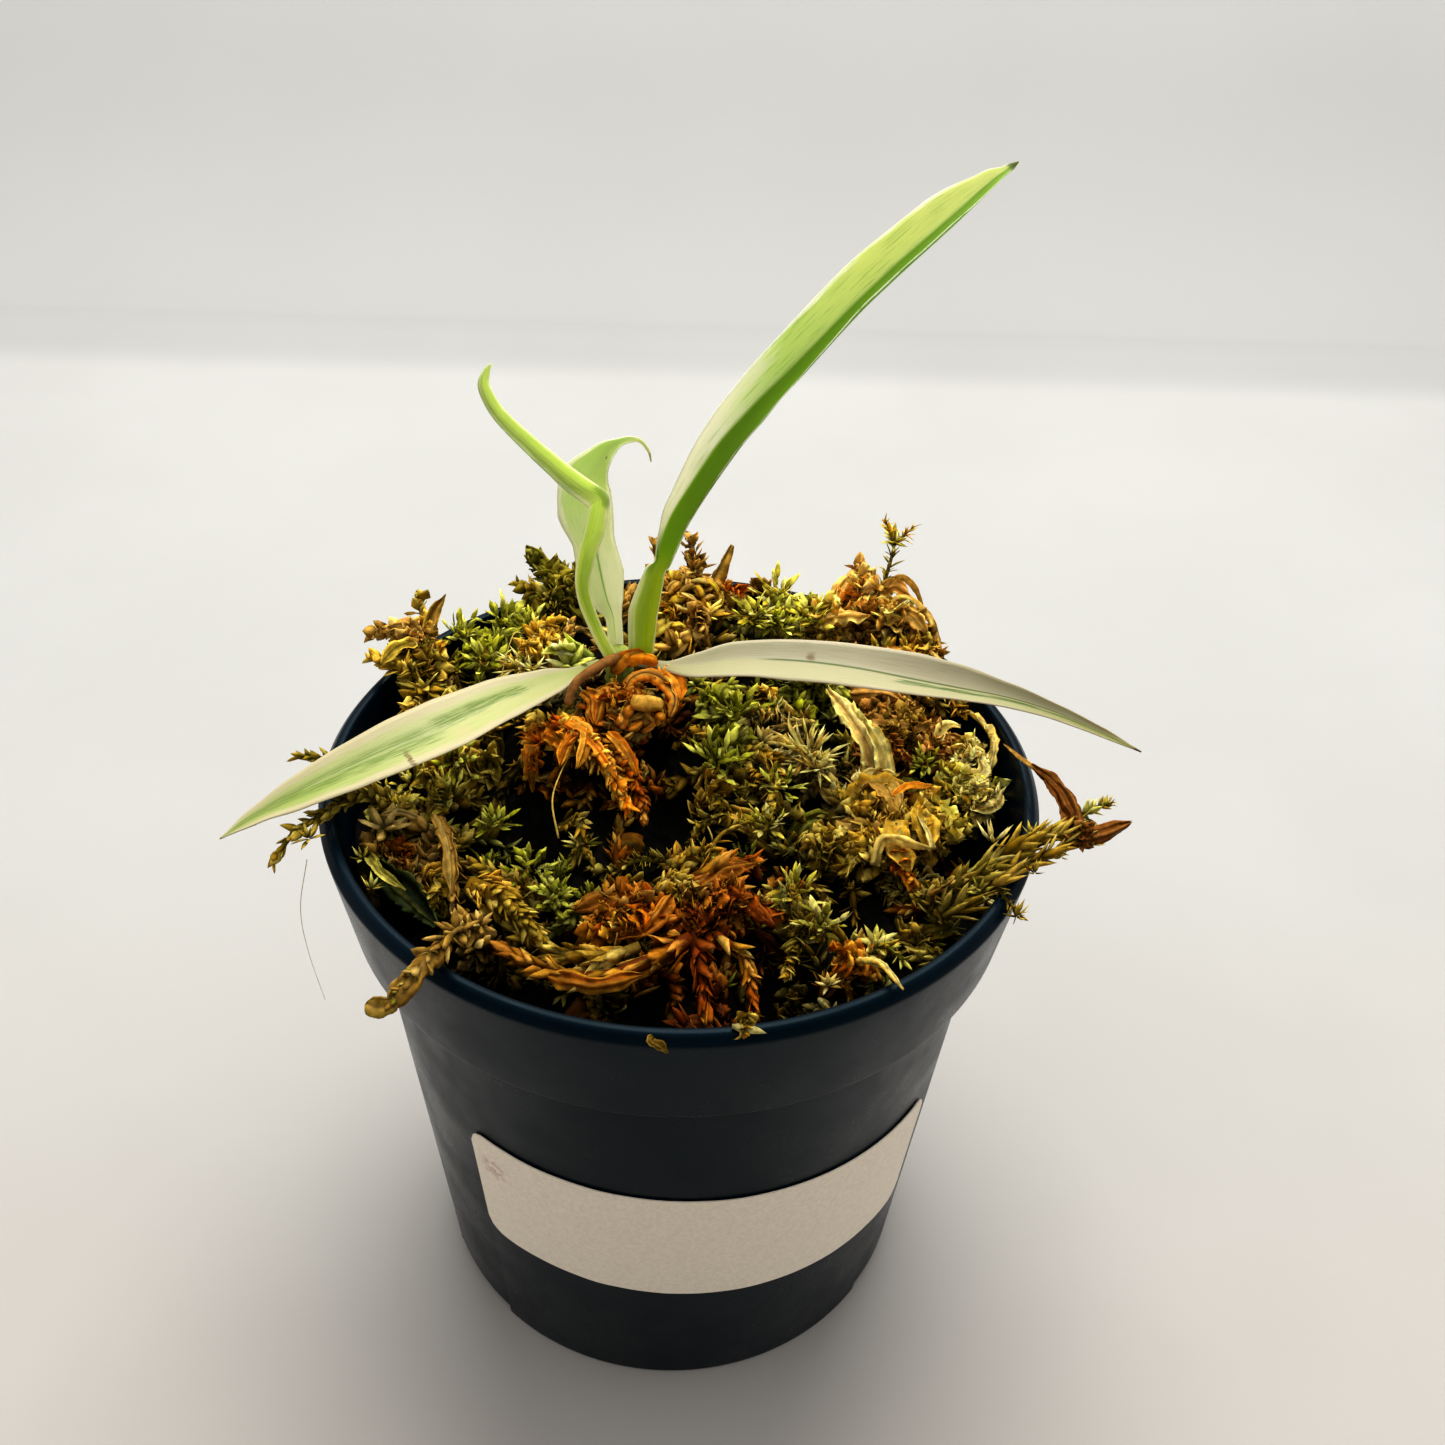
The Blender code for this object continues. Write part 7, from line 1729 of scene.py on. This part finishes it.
def nearest_palette(x, y):
    """The colour of the clump whose strand or star is nearest to a place, and how near, squared."""
    spots = []
    for spec in CLUMPS.values():
        for strand in spec["strands"]:
            spots += [((px - x) ** 2 + (py - y) ** 2, strand[1]) for px, py, _ in strand[4]]
        spots += [((star[2] - x) ** 2 + (star[3] - y) ** 2, star[1]) for star in spec["stars"]]
    return min(spots)


def fill_path(rng, x, y, deep):
    """A strand's route over the bed through a place: higher near the wall at the back and sides."""
    heading = rng.uniform(0, math.tau)
    length = rng.uniform(*FILL_LENGTH)
    turn = rng.normal(0, 0.5)
    points = []
    for step in range(4):
        way = heading + turn * step
        px = x + math.cos(way) * length * (step - 1.5) / 3
        py = y + math.sin(way) * length * (step - 1.5) / 3
        shrink = min(1.0, (BED_R - 1.2) / max(math.hypot(px, py), 1e-6))
        px, py = px * shrink, py * shrink
        banked = FILL_BANK * float(step_up(math.hypot(px, py), 30, 45) * step_up(py, -20, 25))
        lift = (rng.uniform(*FILL_LIFT) + banked) * (1 - 0.8 * deep) * (1.0 if 0 < step < 3 else 0.4)
        points.append((px, py, bed_height(px, py) + lift))
    return points


def fill_spot(growth, kind, deepest, x, y):
    """One strand, small head or leaf strip of the tangle, in the colour of the clump nearest to it."""
    rng = growth.rng
    deep = pit_share(x, y)
    gap, palette = nearest_palette(x, y)
    if deep > deepest:
        return
    if gap > FILL_FAR and rng.uniform() < 0.5:
        palette = ("olive", "yellow", "brown", "olive")[rng.integers(4)]
    route = fill_path(rng, x, y, deep)
    # Painted shade: the deeper in a pit, the darker the strand, head or strip.
    shade = FILL_SHADE * (1 - 0.85 * deep)
    if kind == "head":
        palette = ("green", "yellow_green", "olive", palette)[rng.integers(4)]
        star = ("burst", "rosette", "hand")[rng.integers(3)]
        growth.star(star, palette, x, y, bed_height(x, y) + 2.4, rng.uniform(2.4, 3.6), shade)
    elif kind == "strip":
        width, frill, arch = rng.uniform(2.0, 3.6), rng.uniform(0.8, 1.6), rng.uniform(0, 0.4)
        growth.ribbon(palette, width, route, frill, arch, shade)
    else:
        style = ("scaly", "ruffled", "lapped", "rolled", "spiky")[rng.integers(5)]
        growth.strand(style, palette, rng.uniform(0.9, 1.6), rng.uniform(1.8, 2.8), route, shade)


def make_fill(material):
    """The tangle between the clumps: strands that lie on the bed, small heads and leaf strips."""
    quarters = ("front_left", "front_right", "back_left", "back_right")
    growths = {name: Growth(FILL_SEED + k) for k, name in enumerate(quarters)}
    for kind, (total, start, deepest) in FILL.items():
        for number in range(total):
            radius = FILL_REACH * math.sqrt((number + 0.5) / total)
            turn = GOLDEN * number + start
            x, y = radius * math.cos(turn), radius * math.sin(turn)
            quarter = ("front_" if y < 0 else "back_") + ("left" if x < 0 else "right")
            fill_spot(growths[quarter], kind, deepest, x, y)
    for name, growth in growths.items():
        growth.piece("moss_fill_" + name, "moss_bed", material)


def make_bed():
    """The dark, damp filling under the tangle, down to the pot's floor; its near black is partly painted
    shade.
    """
    g = Graph("bed_dark")
    colour = g.cloudy((500.0, 5.0), 0.4, 0.7, BED_COLOURS_WITH_SHADE)
    normal = g.bump(g.noise(g.place(), 900.0, 5.0), 0.8, 0.0008)
    material = g.surface(colour, 0.9, normal, 0.0, 0.05)
    floor_z = FOOT_H + FLOOR_T + BED_GAP
    ledge_z = POT_H - COLLAR_H + WALL_T + BED_GAP
    sides = (
        (COLLAR_LOW_R - WALL_T - 0.7, ledge_z),
        (WALL_TOP_R - WALL_T - 0.7, ledge_z - STEP_H),
        (BASE_R - WALL_T - 0.5, floor_z),
        (RING_R - 0.5, floor_z),
        (PAD_R - 1.5, FLOOR_T + BED_GAP),
    )
    points = [(0, 0, bed_height(0, 0))]
    for ring in range(1, BED_RINGS + 1):
        for x, y, _ in circle(BED_R * ring / BED_RINGS, BED_SEGMENTS, 0):
            rough = BED_ROUGH * noise.noise(Vector((x, y, 0.5)))
            points.append((x, y, bed_height(x, y) + rough))
    for radius, z in sides:
        points += [tuple(spot) for spot in circle(radius, BED_SEGMENTS, z)]
    last = len(points)
    points.append((0, 0, FLOOR_T + BED_GAP))
    faces = []
    for k in range(BED_SEGMENTS):
        after = (k + 1) % BED_SEGMENTS
        faces.append((0, 1 + k, 1 + after))
        faces.append((last - BED_SEGMENTS + after, last - BED_SEGMENTS + k, last))
        for low in range(1, last - BED_SEGMENTS, BED_SEGMENTS):
            high = low + BED_SEGMENTS
            faces.append((low + k, high + k, high + after, low + after))
    mesh_piece("moss_bed_dark", points, faces, "moss_bed", material, "moss_bed", {})


def make_threads(material):
    """Fine threads: one that hangs off the left rim, and pale ones over the moss."""
    growth = Growth(THREAD_SEED)
    for palette, radius, points in THREADS:
        path, _ = smooth_path(points, 0.8)
        growth.add(*tube(path, np.linspace(1, 0.5, len(path)) * radius, 5), growth.shades(palette, 1)[0])
    growth.piece("threads", "moss_straw", material)


def make_crumbs(material):
    """Dry crumbs: one on the lip at the front, one on the outer wall just under it."""
    growth = Growth(CRUMB_SEED)
    growth.strand(*CRUMB_STRAND)
    growth.leaves(np.array([CRUMB_LEAF_AT]), np.array([(1.0, -0.1, 0.0)]), np.array([(0, 0, 1.0)]),
                  np.array([CRUMB_LEAF_LENGTH]), STYLES["fat"], growth.shades("cream", 1))
    growth.ribbon(*CRUMB_STRIP)
    growth.piece("crumbs", "moss_tan", material)


# Studio and camera


def make_studio():
    """A pale paper sheet, folded up behind the pot, with painted light: lighter up the fold, tinted front
    to back.
    """
    g = Graph("paper")
    height = g.axis("Z")
    # Painted light: the paper's colour changes from front to back and is lighter up the fold than on the
    # table.
    floor = g.mix(g.ramp(g.axis("Y"), -0.22, 0.16), *SHEET_FLOOR_PAINTED_LIGHT)
    wall = g.mix(g.ramp(height, 0.012, 0.09), *SHEET_WALL_PAINTED_LIGHT)
    colour = g.mix(g.ramp(height, 0.001, 0.014), floor, wall)
    cloud = g.ramp(g.noise(g.place(), 9.0), 0.35, 0.65)
    colour = g.mix(g.times(cloud, 0.02), colour, (1.0, 1.0, 1.0))
    fold = math.radians(FOLD_RISE_DEG)
    profile = [(-SHEET_REACH, 0.0), (FOLD_Y - FOLD_BEND, 0.0)]
    for k in range(1, FOLD_STEPS + 1):
        angle = fold * k / FOLD_STEPS
        y = FOLD_Y - FOLD_BEND + FOLD_BEND * math.sin(angle)
        profile.append((y, FOLD_BEND * (1 - math.cos(angle))))
    y, z = profile[-1]
    profile.append((y + FOLD_REACH * math.cos(fold), z + FOLD_REACH * math.sin(fold)))
    points = [(x, y, z) for y, z in profile for x in (-SHEET_REACH, SHEET_REACH)]
    faces = [(2 * k, 2 * k + 1, 2 * k + 3, 2 * k + 2) for k in range(len(profile) - 1)]
    mesh = plain_mesh("sheet", points, faces)
    mesh.shade_smooth()
    mesh.materials.append(g.surface(colour, 0.9, None, 0.0, 0.2))
    sheet = put_in("sheet", mesh)


def make_light():
    """A pale room that is brightest above and behind the pot, and one big soft lamp there."""
    world = bpy.data.worlds.new("studio")
    bpy.context.scene.world = world
    world.use_nodes = True
    tree = world.node_tree
    background = tree.nodes["Background"]
    background.inputs["Color"].default_value = (*ROOM_COLOUR, 1.0)
    way = tree.nodes.new("ShaderNodeTexCoord")
    facing = tree.nodes.new("ShaderNodeVectorMath")
    facing.operation = "DOT_PRODUCT"
    facing.inputs[1].default_value = Vector(ROOM_BRIGHT).normalized()
    tree.links.new(way.outputs["Generated"], facing.inputs[0])
    ramp = tree.nodes.new("ShaderNodeMapRange")
    ramp.interpolation_type = "SMOOTHSTEP"
    for socket, value in zip(ramp.inputs[1:5], (-0.6, 0.9, *ROOM_STRENGTH)):
        socket.default_value = value
    tree.links.new(facing.outputs["Value"], ramp.inputs[0])
    tree.links.new(ramp.outputs[0], background.inputs["Strength"])
    light = bpy.data.lights.new("top", "AREA")
    light.shape = "DISK"
    light.size = LAMP_SIZE
    light.energy = LAMP_POWER
    light.color = LAMP_COLOUR
    lamp = put_in("top", light)
    lamp.location = LAMP_AT
    lamp.rotation_euler = (Vector(LAMP_AIM) - Vector(LAMP_AT)).to_track_quat("-Z", "Y").to_euler()
    view = bpy.context.scene.view_settings
    view.view_transform = "Standard"
    view.look = "None"
    view.gamma = CONTRAST


def make_camera():
    data = bpy.data.cameras.new("camera")
    data.sensor_width = SENSOR_MM
    data.lens = FOCAL_PX * SENSOR_MM / FRAME_PX
    data.clip_start, data.clip_end = CAMERA_CLIP
    camera = put_in("camera", data)
    look = Vector(CAMERA_LOOK).normalized()
    right = look.cross(Vector(CAMERA_UP)).normalized()
    turned_to = Matrix((right, right.cross(look), -look)).transposed()
    camera.matrix_world = Matrix.Translation(Vector(CAMERA_AT) * MM) @ turned_to.to_4x4()
    bpy.context.scene.camera = camera


make_studio()
make_light()
make_camera()
make_pot()
make_label()
green_moss = moss_material("moss_live", 0.3, 0.48)
shoot_skin = moss_material("shoot_skin", 0.3, 0.42)
bark = moss_material("root_bark", 0.0, 0.6)
make_stem(shoot_skin)
make_root(bark)
make_shoot(shoot_skin)
for number, (name, spec) in enumerate(BLADES.items()):
    make_blade(name, spec, number)
make_bed()
make_fill(green_moss)
for number, (name, spec) in enumerate(CLUMPS.items()):
    make_clump(name, spec, number, green_moss)
make_threads(green_moss)
make_crumbs(green_moss)
